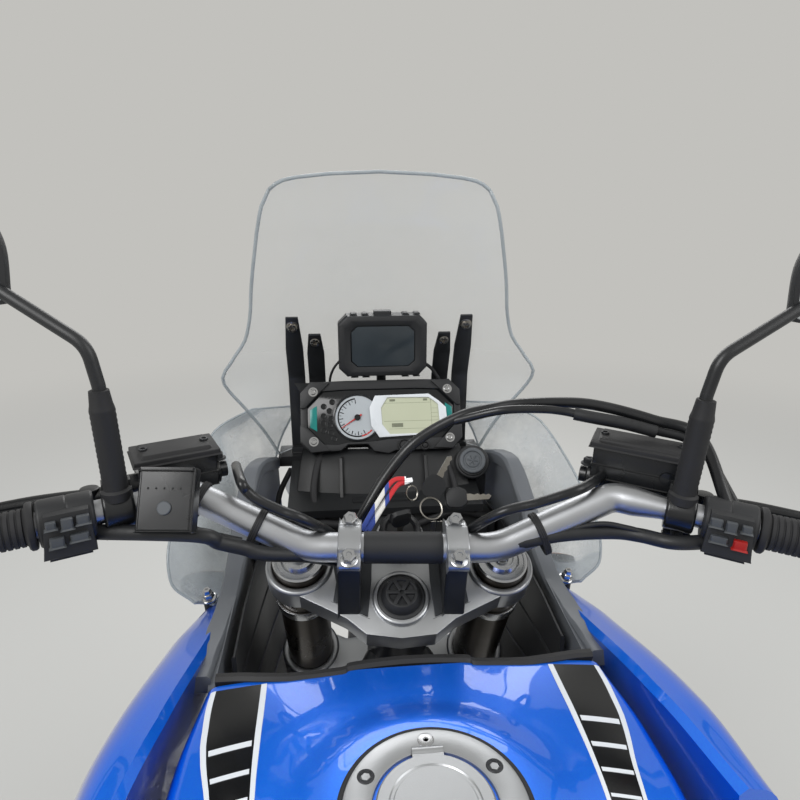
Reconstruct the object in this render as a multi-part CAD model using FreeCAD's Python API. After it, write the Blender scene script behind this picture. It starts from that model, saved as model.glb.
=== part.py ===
"""An adventure motorcycle on its centre stand: a parallel twin of about 1200 cc with shaft drive.

Millimetres. +X is the rider's right, +Y is forwards, +Z is up. The origin is on the floor, under the
middle of the machine. Everything that turns with the handlebar is built with the steering straight,
and is turned at the end by the few degrees that the bar stands to the right when parked.
"""

import FreeCAD
import Part

import math
import os

# Driving dimensions
WHEELBASE = 1540.0
FRONT_WIDTH = 112.0
FRONT_BEAD = 241.0
FRONT_SIDEWALL = 88.0
REAR_WIDTH = 152.0
REAR_BEAD = 216.0
REAR_SIDEWALL = 105.0
REAR_LIFT = 22.0
RAKE = 28.0
TRAIL = 126.0
AXIS_Y = 922.0
WHEEL_ROOM = 65.0
STEER_REST = -3.5
SLIP = 0.15
SEAT_GAP = 0.3

# Where the wheels stand, from the point where the steering axis meets the floor
FRONT_RADIUS = FRONT_BEAD + FRONT_SIDEWALL
REAR_RADIUS = REAR_BEAD + REAR_SIDEWALL
FRONT_Y = AXIS_Y - TRAIL
REAR_Y = FRONT_Y - WHEELBASE
FRONT_Z = FRONT_RADIUS
REAR_Z = REAR_RADIUS + REAR_LIFT
SKID_FRONT = FRONT_Y - FRONT_RADIUS - WHEEL_ROOM
TAIL_DROP = REAR_Y - REAR_RADIUS - 33.0

# Steering head and fork
HEAD_LOW = 990.0
HEAD_HIGH = 1154.0
HEAD_RADIUS = 33.0
HEAD_BORE = 20.0
TOP_CLAMP_LOW = 1159.0
TOP_CLAMP_HIGH = 1189.0
LOWER_CLAMP_LOW = 943.0
LOWER_CLAMP_HIGH = 983.0
FORK_SPACING = 210.0
FORK_AHEAD = 38.0
FORK_OUTER = 27.5
FORK_INNER = 21.5
FORK_SPLIT = 640.0
FORK_TOP = 1199.0
AXLE_RADIUS = 12.0

# Handlebar
BAR_THICK = 14.3
BAR_THIN = 11.1
BAR_Y = 363.0
BAR_Z = 1107.0
RISER_X = 51.5
RISER_WIDTH = 22.0
BAR_FLAT = 92.0
KNEE = (205.0, 374.0, 1158.0)
BAR_END = (435.0, 257.0, 1150.0)

# Brakes
FRONT_DISC = 155.0
REAR_DISC = 141.0
DISC_THICK = 5.0
FRONT_DISC_X = 62.0
REAR_DISC_X = -68.0
DISC_CLEAR = 5.0

# Chassis
CASE_HALF = 150.0
PIVOT_Y = -150.0
PIVOT_Z = 440.0
PIVOT_PLATE_X = 76.0
PIVOT_PLATE = 20.0
STAND_Y = -110.0
STAND_Z = 285.0
SIDE_STAND = (-218.0, 45.0, 306.0)
SIDE_PIN = 6.0
SIDE_BOSS = 10.0
HANGER_OUT = 150.0
FAIRING_X = 178.0
FAIRING_BEND_Y = 560.0
FAIRING_NOSE_X = 150.0

PARTS = {}


def vec(x, y, z):
    return FreeCAD.Vector(x, y, z)


X_AXIS = vec(1, 0, 0)
SIN = math.sin(math.radians(RAKE))
COS = math.cos(math.radians(RAKE))
STEER_FOOT = vec(0, AXIS_Y, 0)
STEER_AXIS = vec(0, -SIN, COS)
SIDE_AXIS = vec(0.942, 0, -0.335)


def on_axis(right, ahead, up):
    """A point given from the steering axis: to its right, ahead of it, and up along it."""
    return vec(right, AXIS_Y + ahead * COS - up * SIN, ahead * SIN + up * COS)


def lean(shape):
    """Tips a shape that is drawn round an upright steering axis back to the rake."""
    shape.rotate(vec(0, 0, 0), X_AXIS, RAKE)
    shape.translate(STEER_FOOT)
    return shape


def fuse(shapes):
    whole = shapes[0].multiFuse(shapes[1:]) if len(shapes) > 1 else shapes[0]
    return whole.removeSplitter()


def mirrored(shape):
    return shape.mirror(vec(0, 0, 0), X_AXIS)


def both(shape):
    """A shape and its mirror image, as one node of solids that stand apart."""
    return Part.makeCompound([shape, mirrored(shape)])


def box(x, y, z):
    """A block from three (low, high) pairs."""
    return Part.makeBox(x[1] - x[0], y[1] - y[0], z[1] - z[0], vec(x[0], y[0], z[0]))


def rod(start, end, radius, bore=0.0):
    """A round bar between two points, bored through where it is a tube."""
    along = end - start
    bar = Part.makeCylinder(radius, along.Length, start, along)
    if bore:
        bar = bar.cut(Part.makeCylinder(bore, along.Length, start, along))
    return bar


def cone(start, end, radius_1, radius_2):
    along = end - start
    return Part.makeCone(radius_1, radius_2, along.Length, start, along)


def rounded_wire(corners):
    """A closed wire through corners given as (point, radius), each corner rounded by its radius."""
    count = len(corners)
    edges = []
    starts = []
    ends = []
    middles = []
    for i, (point, radius) in enumerate(corners):
        before = corners[i - 1][0] - point
        after = corners[(i + 1) % count][0] - point
        half = before.getAngle(after) / 2
        reach = radius / math.tan(half) if radius else 0.0
        before.normalize()
        after.normalize()
        starts.append(point + before * reach)
        ends.append(point + after * reach)
        bisector = before + after
        if radius:
            bisector.normalize()
            middles.append(point + bisector * (radius / math.sin(half) - radius))
        else:
            middles.append(point)
    for i, (point, radius) in enumerate(corners):
        if radius:
            edges.append(Part.Arc(starts[i], middles[i], ends[i]).toShape())
        edges.append(Part.makeLine(ends[i], starts[(i + 1) % count]))
    return Part.Wire(edges)


def prism(corners, direction):
    """A profile of (point, radius) corners, pushed along a direction."""
    return Part.Face(rounded_wire(corners)).extrude(direction)


def side_profile(points, x, radius=0.0):
    """A block whose outline is drawn in the side view as (y, z), between two x values."""
    corners = [(vec(x[0], y, z), radius) for y, z in points]
    return prism(corners, vec(x[1] - x[0], 0, 0))


def plan_profile(points, z, radius=0.0):
    """A block whose outline is drawn from above as (x, y), between two heights."""
    corners = [(vec(px, py, z[0]), radius) for px, py in points]
    return prism(corners, vec(0, 0, z[1] - z[0]))


def loft(wires):
    return Part.makeLoft(wires, True, False)


def halves(half):
    """A right-hand half outline of (x, z, radius), closed with its mirror image."""
    other = [(-x, z, r) for x, z, r in reversed(half) if x > 0]
    return list(half) + other


def hull_section(y, half):
    """One closed cross section of a symmetrical body at a station y."""
    return rounded_wire([(vec(x, y, z), r) for x, z, r in halves(half)])


def bent(points, radius, bend):
    """A round bar along straight runs joined by tangent arcs."""
    edges = []
    last = points[0]
    for i in range(1, len(points) - 1):
        here = points[i]
        back = points[i - 1] - here
        on = points[i + 1] - here
        turn = math.pi - back.getAngle(on)
        reach = min(bend * math.tan(turn / 2), 0.45 * back.Length, 0.45 * on.Length)
        size = reach / math.tan(turn / 2)
        back.normalize()
        on.normalize()
        bisector = back + on
        bisector.normalize()
        start = here + back * reach
        end = here + on * reach
        middle = here + bisector * (size / math.cos(turn / 2) - size)
        edges.append(Part.makeLine(last, start))
        edges.append(Part.Arc(start, middle, end).toShape())
        last = end
    edges.append(Part.makeLine(last, points[-1]))
    path = Part.Wire(edges)
    ring = Part.Wire(Part.makeCircle(radius, points[0], points[1] - points[0]))
    return path.makePipeShell([ring], True, True)


def turned(profile, centre, angle=360.0, start=0.0):
    """A profile of (x, radius) points, turned about the wheel axis through centre."""
    points = [centre + vec(x, 0, r) for x, r in profile]
    face = Part.Face(Part.makePolygon(points + points[:1]))
    face.rotate(centre, X_AXIS, start)
    return face.revolve(centre, X_AXIS, angle)


def add(name, shape):
    PARTS[name] = shape


# Wheels: bias of plain tyre rings, wire-spoked rims on cast hubs, and wave-free brake discs
SPOKES = 32
SPOKE_RADIUS = 2.2


def tyre(centre, radius, width, bead, rim_width):
    """A tyre as a closed ring: beads between the rim's flanges, flat sides and a rounded tread."""
    half = width / 2
    depth = radius - bead
    foot = rim_width / 2 - SEAT_GAP
    outline = [
        (foot, bead),
        (foot, bead + 15),
        (0.93 * half, bead + 0.38 * depth),
        (half, bead + 0.58 * depth),
        (0.84 * half, bead + 0.82 * depth),
        (0.46 * half, bead + 0.96 * depth),
        (0.0, radius),
    ]
    mirror = [(-x, r) for x, r in reversed(outline[:-1])]
    return turned(outline + mirror, centre)


def rim(centre, width, bead, hub_half, hub_radius, flange_radius):
    """A wire wheel: a channel rim, a hub bored for its axle, and crossed spokes between them."""
    half = width / 2
    lip = bead + 12.0
    seat = bead - SEAT_GAP
    channel = [
        (half, seat),
        (half, lip),
        (half + 4, lip),
        (half + 6, seat - 12),
        (0.55 * half, seat - 26),
        (-0.55 * half, seat - 26),
        (-half - 6, seat - 12),
        (-half - 4, lip),
        (-half, lip),
        (-half, seat),
    ]
    hub = [
        (-hub_half, AXLE_RADIUS + SEAT_GAP),
        (hub_half, AXLE_RADIUS + SEAT_GAP),
        (hub_half, hub_radius),
        (hub_half - 6, hub_radius),
        (hub_half - 10, flange_radius),
        (hub_half - 18, flange_radius),
        (hub_half - 22, hub_radius - 8),
        (22 - hub_half, hub_radius - 8),
        (18 - hub_half, flange_radius),
        (10 - hub_half, flange_radius),
        (6 - hub_half, hub_radius),
        (-hub_half, hub_radius),
    ]
    pieces = [turned(channel, centre), turned(hub, centre)]
    for i in range(SPOKES):
        side = 1 if i % 2 else -1
        lead = 22.0 if (i // 2) % 2 else -22.0
        at_rim = math.radians(360.0 * i / SPOKES)
        at_hub = at_rim + math.radians(lead)
        inner = vec(side * (hub_half - 14), 0, 0)
        inner += vec(0, math.cos(at_hub), math.sin(at_hub)) * (flange_radius - 6)
        outer = vec(side * (half + 1), 0, 0)
        outer += vec(0, math.cos(at_rim), math.sin(at_rim)) * (seat - 16)
        pieces.append(rod(centre + inner, centre + outer, SPOKE_RADIUS))
    return fuse(pieces)


def disc(centre, x, radius, hub_face, hub_radius):
    """A brake disc: a slotted band on a five-armed carrier that bolts to the hub's face."""
    half = DISC_THICK / 2
    at = centre + vec(x - half, 0, 0)
    band = Part.makeCylinder(radius, DISC_THICK, at, X_AXIS)
    band = band.cut(Part.makeCylinder(radius - 38, DISC_THICK, at, X_AXIS))
    low, high = sorted((hub_face, x + (half if x > 0 else -half)))
    boss_at = centre + vec(low, 0, 0)
    boss = Part.makeCylinder(hub_radius, high - low, boss_at, X_AXIS)
    boss = boss.cut(Part.makeCylinder(hub_radius - 12, high - low, boss_at, X_AXIS))
    arms = []
    for i in range(5):
        arm = box((x - half, x + half), (-9, 9), (hub_radius - 10, radius - 33))
        arm.rotate(vec(0, 0, 0), X_AXIS, 72 * i)
        arm.translate(centre)
        arms.append(arm)
    return fuse([band, boss] + arms)


FRONT_CENTRE = vec(0, FRONT_Y, FRONT_Z)
REAR_CENTRE = vec(0, REAR_Y, REAR_Z)
FRONT_HUB = 56.0
REAR_HUB = 62.0
FRONT_RIM = 64.0
REAR_RIM = 102.0
add("front_tyre", tyre(FRONT_CENTRE, FRONT_RADIUS, FRONT_WIDTH, FRONT_BEAD, FRONT_RIM))
add("front_rim", rim(FRONT_CENTRE, FRONT_RIM, FRONT_BEAD, FRONT_HUB, 44.0, 60.0))
add("front_discs", Part.makeCompound([
    disc(FRONT_CENTRE, FRONT_DISC_X, FRONT_DISC, FRONT_HUB, 42.0),
    disc(FRONT_CENTRE, -FRONT_DISC_X, FRONT_DISC, -FRONT_HUB, 42.0),
]))
add("rear_tyre", tyre(REAR_CENTRE, REAR_RADIUS, REAR_WIDTH, REAR_BEAD, REAR_RIM))
add("rear_rim", rim(REAR_CENTRE, REAR_RIM, REAR_BEAD, REAR_HUB, 58.0, 74.0))
add("rear_disc", disc(REAR_CENTRE, REAR_DISC_X, REAR_DISC, -REAR_HUB, 56.0))


# Fork: cast clamps on a stem, dark outer tubes and bright lower legs that carry the axle
def fork_bore(radius):
    """The two fork tubes as cutters, over the whole height of the clamps."""
    return [
        rod(vec(side * FORK_SPACING / 2, FORK_AHEAD, 900),
            vec(side * FORK_SPACING / 2, FORK_AHEAD, 1230), radius)
        for side in (-1, 1)
    ]


def clamp_plate(outline, low, high, collar):
    """A fork clamp drawn round the upright axis: a web of (x, y) corners and two collars."""
    web = plan_profile(outline + [(-x, y) for x, y in reversed(outline)], (low, high), 6.0)
    collars = [
        Part.makeCylinder(collar, high - low, vec(side * FORK_SPACING / 2, FORK_AHEAD, low))
        for side in (-1, 1)
    ]
    return fuse([web] + collars)


def riser(side):
    """A handlebar riser cast on the top clamp, cut half round for the bar."""
    x = side * RISER_X
    ahead, up = bar_from_axis()
    outline = [
        (ahead - 42, TOP_CLAMP_HIGH - 4),
        (ahead + 30, TOP_CLAMP_HIGH - 4),
        (ahead + 25, up - 1),
        (ahead - 25, up - 1),
    ]
    half = RISER_WIDTH / 2
    corners = [(vec(x - half, y, z), 3.0) for y, z in outline]
    return prism(corners, vec(RISER_WIDTH, 0, 0))


def bar_from_axis():
    """How far the bar's middle stands ahead of the steering axis, and up along it."""
    y = BAR_Y - AXIS_Y
    return y * COS + BAR_Z * SIN, BAR_Z * COS - y * SIN


def top_clamp():
    outline = [(34, -36), (54, -20), (120, 14), (128, 38), (100, 68), (44, 58)]
    plate = clamp_plate(outline, TOP_CLAMP_LOW, TOP_CLAMP_HIGH, 35.0)
    ignition = Part.makeCylinder(24, 46, vec(0, 70, TOP_CLAMP_LOW - 6))
    lug = box((-24, 24), (40, 70), (TOP_CLAMP_LOW, TOP_CLAMP_HIGH))
    shape = fuse([plate, ignition, lug, riser(-1), riser(1)])
    for hole in fork_bore(FORK_OUTER + SLIP):
        shape = shape.cut(hole)
    ahead, up = bar_from_axis()
    seat = rod(vec(-90, ahead, up), vec(90, ahead, up), BAR_THICK + SLIP)
    stem = rod(vec(0, 0, TOP_CLAMP_LOW - 20), vec(0, 0, TOP_CLAMP_HIGH), 15 + SLIP)
    return lean(shape.cut(seat).cut(stem))


def bar_clamp(side):
    """The cap that holds the bar in its riser, with a flat pad and a bolt boss at each end."""
    ahead, up = bar_from_axis()
    x = side * RISER_X
    half = RISER_WIDTH / 2
    outline = [
        (ahead - 27, up + 1), (ahead + 27, up + 1), (ahead + 27, up + 9),
        (ahead + 13, up + 20), (ahead - 13, up + 20), (ahead - 27, up + 9),
    ]
    cap = prism([(vec(x - half, y, z), 3.0) for y, z in outline], vec(RISER_WIDTH, 0, 0))
    bolts = [
        Part.makeCylinder(6.5, 8, vec(x, ahead + across, up + 8))
        for across in (-20.5, 20.5)
    ]
    seat = rod(vec(-90, ahead, up), vec(90, ahead, up), BAR_THICK + SLIP)
    return fuse([cap] + bolts).cut(seat)


def lower_clamp():
    """The lower clamp with the stem that runs up through the head to a nut on the top clamp."""
    outline = [(30, -32), (60, -12), (118, 12), (126, 38), (100, 66), (30, 52)]
    plate = clamp_plate(outline, LOWER_CLAMP_LOW, LOWER_CLAMP_HIGH, 36.0)
    stem = rod(vec(0, 0, LOWER_CLAMP_LOW + 5), vec(0, 0, HEAD_HIGH + 3), HEAD_BORE - SEAT_GAP)
    neck = rod(vec(0, 0, HEAD_HIGH), vec(0, 0, TOP_CLAMP_HIGH + 2), 15)
    nut = rod(vec(0, 0, TOP_CLAMP_HIGH + SLIP), vec(0, 0, TOP_CLAMP_HIGH + 14), 20)
    shape = fuse([plate, stem, neck, nut])
    for hole in fork_bore(FORK_OUTER + SLIP):
        shape = shape.cut(hole)
    return lean(shape)


def fork_tube(side):
    """An outer fork tube, with the adjuster cap that stands above the top clamp."""
    x = side * FORK_SPACING / 2
    tube = rod(on_axis(x, FORK_AHEAD, FORK_SPLIT), on_axis(x, FORK_AHEAD, FORK_TOP), FORK_OUTER)
    cap = rod(on_axis(x, FORK_AHEAD, FORK_TOP), on_axis(x, FORK_AHEAD, FORK_TOP + 8), 17)
    collar = rod(on_axis(x, FORK_AHEAD, FORK_SPLIT), on_axis(x, FORK_AHEAD, FORK_SPLIT + 26), 31)
    return fuse([tube, cap, collar])


AXLE_AHEAD = (FRONT_Y - AXIS_Y) * COS + FRONT_Z * SIN
AXLE_UP = FRONT_Z * COS - (FRONT_Y - AXIS_Y) * SIN


def fork_legs():
    """Both lower legs, with their axle lugs and caliper lugs, held together by the axle."""
    pieces = [rod(vec(-128, FRONT_Y, FRONT_Z), vec(128, FRONT_Y, FRONT_Z), AXLE_RADIUS)]
    for side in (-1, 1):
        x = side * FORK_SPACING / 2
        top = on_axis(x, FORK_AHEAD, FORK_SPLIT)
        pieces.append(rod(on_axis(x, FORK_AHEAD, AXLE_UP + 40), top, FORK_INNER))
        foot = rod(on_axis(x, FORK_AHEAD, AXLE_UP - 6), on_axis(x, FORK_AHEAD, AXLE_UP + 60), 27)
        pieces.append(foot)
        pieces.append(rod(vec(side * 84, FRONT_Y, FRONT_Z), vec(side * 126, FRONT_Y, FRONT_Z), 29))
        lug = box(sorted((side * 88, side * 100)), (-46, 22), (AXLE_UP + 62, AXLE_UP + 128))
        pieces.append(lean(lug))
    return fuse(pieces)


def front_caliper(side):
    """A caliper behind the fork leg, slotted for the disc."""
    body = box((46, 87.8), (-92, -22), (AXLE_UP + 56, AXLE_UP + 134))
    body = body.makeFillet(8.0, [e for e in body.Edges if e.Length > 75])
    lean(body)
    low = FRONT_DISC_X - DISC_THICK / 2 - DISC_CLEAR
    slot = Part.makeCylinder(
        FRONT_DISC + DISC_CLEAR, DISC_THICK + 2 * DISC_CLEAR, vec(low, FRONT_Y, FRONT_Z), X_AXIS
    )
    body = body.cut(slot)
    return body if side > 0 else mirrored(body)


GUARD_INNER = FRONT_RADIUS + 24.0


def front_mudguard():
    """A mudguard arched over the tyre, with a stay down to each fork leg."""
    r = GUARD_INNER
    section = [
        (-70, r - 20), (-66, r + 2), (-36, r + 14), (36, r + 14), (66, r + 2), (70, r - 20),
        (66, r - 20), (62, r), (34, r + 10), (-34, r + 10), (-62, r), (-66, r - 20),
    ]
    arch = turned(section, FRONT_CENTRE, 118.0, -58.0)
    pieces = [arch]
    for side in (-1, 1):
        x = sorted((side * 66, side * (FORK_SPACING / 2 - FORK_INNER - SEAT_GAP)))
        stay = box(x, (FORK_AHEAD - 18, FORK_AHEAD + 18), (AXLE_UP + 236, AXLE_UP + 282))
        foot = box(sorted((side * 60, side * 67)), (FORK_AHEAD - 18, FORK_AHEAD + 18),
                   (AXLE_UP + 236, AXLE_UP + r + 2))
        pieces += [lean(stay), lean(foot)]
    return fuse(pieces)


add("top_clamp", top_clamp())
add("bar_clamps", Part.makeCompound([lean(bar_clamp(-1)), lean(bar_clamp(1))]))
add("lower_clamp", lower_clamp())
add("fork_tubes", Part.makeCompound([fork_tube(-1), fork_tube(1)]))
add("fork_legs", fork_legs())
add("front_calipers", Part.makeCompound([front_caliper(-1), front_caliper(1)]))
add("front_mudguard", front_mudguard())


# Handlebar and its controls
BAR_RUN = vec(*BAR_END) - vec(*KNEE)
BAR_LENGTH = BAR_RUN.Length
BAR_ALONG = BAR_RUN * (1 / BAR_LENGTH)
BAR_AHEAD = vec(-BAR_ALONG.y, BAR_ALONG.x, 0)
BAR_AHEAD.normalize()


def at_bar(along, ahead=0.0, up=0.0):
    """A point on the right-hand end of the bar: out from its knee, ahead of it and above it."""
    return vec(*KNEE) + BAR_ALONG * along + BAR_AHEAD * ahead + vec(0, 0, up)


def handlebar():
    """A tapered bar: thick between its knees, thin under the grips."""
    flat = vec(BAR_FLAT, BAR_Y, BAR_Z)
    knee = vec(*KNEE)
    left_flat, left_knee, left_end = (vec(-p.x, p.y, p.z) for p in (flat, knee, at_bar(20)))
    middle = bent([left_end, left_knee, left_flat, flat, knee, at_bar(20)], BAR_THICK, 70.0)
    taper = cone(at_bar(20), at_bar(45), BAR_THICK, BAR_THIN)
    end = rod(at_bar(45), at_bar(BAR_LENGTH), BAR_THIN)
    return fuse([middle, taper, end, mirrored(taper), mirrored(end)])


def grip():
    """A rubber grip with a raised collar, and the weight that closes the bar's end."""
    sleeve = rod(at_bar(132), at_bar(BAR_LENGTH), 16.5, BAR_THIN + SLIP)
    collar = rod(at_bar(126), at_bar(132), 21, BAR_THIN + SLIP)
    weight = rod(at_bar(BAR_LENGTH), at_bar(BAR_LENGTH + 16), 15)
    return fuse([sleeve, collar, weight])


def switch_pod():
    """A switch housing clamped round the bar."""
    barrel = rod(at_bar(80), at_bar(124), 21, BAR_THIN + SLIP)
    block = rod(at_bar(84, -6, -8), at_bar(118, -6, -8), 19)
    hole = rod(at_bar(70), at_bar(130), BAR_THIN + SLIP)
    return fuse([barrel, block]).cut(hole)


def heater_switch():
    """The flat control box of the heated grips, tied to the left knee of the bar."""
    face = box((-232, -184), (-10, 10), (-28, 28))
    face = face.makeFillet(3.0, [e for e in face.Edges if e.Length > 30])
    face.rotate(vec(-208, 0, 0), X_AXIS, -28)
    face.translate(vec(0, 338, 1182))
    tie = rod(vec(-208, 345, 1180), vec(-205, 374, 1158), 6)
    return fuse([face, tie]).cut(PARTS["handlebar"])


def master_cylinder(inboard):
    """A hydraulic cylinder ahead of the bar, with a flat reservoir cast on it and its clamp."""
    clamp = rod(at_bar(48), at_bar(74), 19, BAR_THIN + SLIP)
    body = rod(at_bar(inboard - 4, 42, 0), at_bar(78, 42, 0), 13)
    arm = rod(at_bar(61, 10, 0), at_bar(61, 42, 0), 11)
    near, far = inboard, inboard + 84
    tank = prism([(at_bar(s, n, 6), 6.0) for s, n in ((near, 24), (far, 24), (far, 68), (near, 68))],
                 vec(0, 0, 34))
    lid = prism([(at_bar(s, n, 40), 8.0)
                 for s, n in ((near - 3, 21), (far + 3, 21), (far + 3, 71), (near - 3, 71))],
                vec(0, 0, 7))
    hole = rod(at_bar(30), at_bar(90), BAR_THIN + SLIP)
    return fuse([clamp, body, arm, tank, lid]).cut(hole).cut(PARTS["handlebar"])


def hand_lever():
    """A lever that runs out ahead of the grip to a ball end."""
    blade = bent([at_bar(74, 41, -2), at_bar(120, 54, -3), at_bar(170, 62, -4),
                  at_bar(232, 66, -4)], 6.0, 120.0)
    ball = Part.makeSphere(9, at_bar(236, 66, -4))
    return fuse([blade, ball])


def mirror():
    """A mirror head on a stalk that screws up from the cylinder clamp."""
    base = at_bar(61, -4, 24)
    elbow = base + vec(4, -2, 92)
    neck = base + vec(78, 14, 168)
    boot = rod(base - vec(0, 0, 12), elbow, 11.5)
    stalk = bent([elbow - vec(0, 0, 8), elbow + vec(6, 0, 34), neck], 6.0, 30.0)
    outline = [(-74, -34), (60, -44), (74, -10), (64, 42), (-58, 44), (-76, 12)]
    centre = neck + vec(74, 4, 22)
    head = prism([(centre + vec(x, 0, z), 14.0) for x, z in outline], vec(0, 26, 0))
    return fuse([boot, stalk, head])


add("handlebar", handlebar())
add("grips", both(grip()))
add("switchgear", Part.makeCompound([switch_pod(), mirrored(switch_pod()), heater_switch()]))
add("master_cylinders", Part.makeCompound([master_cylinder(-8), mirrored(master_cylinder(-52))]))
add("hand_levers", both(hand_lever()).cut(PARTS["master_cylinders"]))
add("mirrors", both(mirror()).cut(PARTS["master_cylinders"]))


# Frame: steel tubes from the steering head down to the pivot plates, and rails under the seats
TUBE = 15.0
RAIL = [on_axis(22, -18, 1086), on_axis(84, -124, 1092), vec(112, 120, 864), vec(104, -60, 806),
        vec(86, PIVOT_Y + 14, 620), vec(86, PIVOT_Y + 2, 500)]
DOWN_TUBE = [on_axis(20, -8, 1027), on_axis(62, -142, 960), vec(96, 330, 640), vec(96, 300, 560)]
SEAT_RAIL = [RAIL[3], vec(126, -340, 822), vec(112, -690, 868), vec(70, -800, 872)]
SEAT_STAY = [vec(86, PIVOT_Y + 4, 540), vec(120, -420, 784), vec(122, -450, 836)]
CROSS_TUBES = [RAIL[3], vec(126, -330, 822), SEAT_RAIL[2], RAIL[1]]


def frame():
    head = rod(on_axis(0, 0, HEAD_LOW), on_axis(0, 0, HEAD_HIGH), HEAD_RADIUS)
    pieces = [head]
    for path in (RAIL, DOWN_TUBE, SEAT_RAIL, SEAT_STAY):
        tube = bent(path, TUBE, 60.0)
        pieces += [tube, mirrored(tube)]
    for end in CROSS_TUBES:
        pieces.append(rod(vec(-end.x, end.y, end.z), end, TUBE - 2))
    plate = [(-182, 250), (-92, 250), (-88, 330), (-116, 470), (-120, 600), (-166, 600), (-190, 440)]
    low = PIVOT_PLATE_X
    side = side_profile(plate, (low, low + PIVOT_PLATE), 12.0)
    lug = side_profile([(280, 535), (322, 535), (322, 585), (280, 585)], (88, 104), 6.0)
    bracket = side_profile([(24, 290), (66, 290), (66, 318), (24, 318)],
                           (-198, -CASE_HALF - 2), 5.0)
    arm = side_profile([(-114, 296), (66, 296), (66, 318), (-114, 318)], 
                       (-CASE_HALF - 11, -CASE_HALF - SEAT_GAP), 5.0)
    tie = side_profile([(-114, 296), (-92, 296), (-92, 318), (-114, 318)], (-CASE_HALF - 11, -80), 4.0)
    hinge = vec(*SIDE_STAND)
    pin = rod(hinge - SIDE_AXIS * 12, hinge + SIDE_AXIS * 34, SIDE_PIN)
    head = rod(hinge - SIDE_AXIS * 17, hinge - SIDE_AXIS * (SIDE_BOSS + SEAT_GAP), SIDE_PIN + 2)
    pieces += [side, mirrored(side), lug, mirrored(lug), bracket, arm, tie, pin, head]
    whole = fuse(pieces)
    whole = whole.cut(rod(on_axis(0, 0, HEAD_LOW), on_axis(0, 0, HEAD_HIGH), HEAD_BORE))
    whole = whole.cut(rod(vec(-120, PIVOT_Y, PIVOT_Z), vec(120, PIVOT_Y, PIVOT_Z), 12 + SLIP))
    whole = whole.cut(rod(vec(-120, STAND_Y - 25, STAND_Z), vec(120, STAND_Y - 25, STAND_Z), 9 + SLIP))
    return whole


# Engine: crankcase, inclined cylinder block and head, all one casting here, with bolted covers
CASE = [(-80, 300), (196, 300), (232, 350), (240, 470), (214, 524), (-50, 540), (-80, 500)]
BLOCK = [(34, 500), (222, 500), (292, 722), (254, 782), (92, 782), (56, 740)]
BLOCK_HALF = 122.0


def engine():
    case = side_profile(CASE, (-CASE_HALF, CASE_HALF), 22.0)
    block = side_profile(BLOCK, (-BLOCK_HALF, BLOCK_HALF), 14.0)
    lug = side_profile([(216, 540), (318, 540), (318, 580), (232, 580)], (-80.6, 80.6), 6.0)
    return fuse([case, block, lug])


def engine_covers():
    """Round covers on both sides: clutch on the right, alternator on the left."""
    pieces = []
    for side, y, z, radius, deep in ((1, 20, 420, 96, 36), (-1, 60, 410, 88, 32)):
        inner = side * (CASE_HALF + SEAT_GAP)
        outer = side * (CASE_HALF + deep)
        pieces.append(cone(vec(inner, y, z), vec(outer, y, z), radius, radius - 16))
    return Part.makeCompound(pieces)


def header(x):
    front = SKID_FRONT - 40
    return bent([vec(x, 262, 640), vec(x, front - 10, 610), vec(x * 0.9, front, 430),
                 vec(x * 0.6, front - 46, 262), vec(x * 0.5, 150, 256)], 20.0, 70.0)


def exhaust():
    """Two header pipes into a box under the engine, and a link pipe up to the silencer."""
    tray = box((-72, 72), (-58, 170), (228, 288))
    tray = tray.makeFillet(14.0, [e for e in tray.Edges if e.Length > 100])
    link = bent([vec(-60, -20, 258), vec(-180, -24, 262), vec(-184, -150, 296),
                 vec(-186, -300, 430), vec(-196, -380, 500)], 21.0, 60.0)
    return fuse([header(-52), header(52), tray, link]).cut(PARTS["engine"])


def oval(centre, along, wide, tall):
    """An oval section square to a direction, with its long way upright."""
    along = vec(along.x, along.y, along.z)
    along.normalize()
    across = along.cross(vec(0, 0, 1))
    across.normalize()
    up = across.cross(along)
    return Part.Ellipse(centre + up * tall, centre + across * wide, centre).toShape()


def silencer():
    """A long oval can on the left that rises to the rear, with a cone at its front and a short outlet."""
    start = vec(-196, -376, 496)
    run = vec(-16, -424, 150)
    can = loft([
        Part.Wire(oval(start + run * at, run, wide, tall))
        for at, wide, tall in ((0.12, 46, 62), (0.92, 46, 62))
    ])
    front = loft([
        Part.Wire(oval(start + run * at, run, wide, tall))
        for at, wide, tall in ((0.0, 27, 29), (0.12, 46, 62))
    ])
    rear = loft([
        Part.Wire(oval(start + run * at, run, wide, tall))
        for at, wide, tall in ((0.92, 46, 62), (1.0, 34, 48))
    ])
    outlet = rod(start + run * 0.97, start + run * 1.05, 22)
    pad = rod(vec(-HANGER_OUT - SLIP, -358, 640), vec(-160, -358, 640), 11)
    hanger = rod(vec(-158, -358, 640), vec(-190, -436, 560), 7)
    whole = fuse([can, front, rear, outlet, pad, hanger])
    return whole.cut(rod(start + run * 1.0, start + run * 1.06, 18)).cut(PARTS["exhaust"])


def radiator():
    """An upright core on the left of the engine, between two side tanks, with its filler."""
    core = box((-184, -152), (146, 330), (600, 830))
    top = rod(vec(-168, 240, 830), vec(-168, 240, 848), 15)
    stays = [
        rod(vec(-100, 322, 650), vec(-154, 322, 650), 7),
        rod(vec(-108, 162, 868), vec(-160, 162, 827), 6),
    ]
    return fuse([core, top] + stays).cut(PARTS["frame"])


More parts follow.
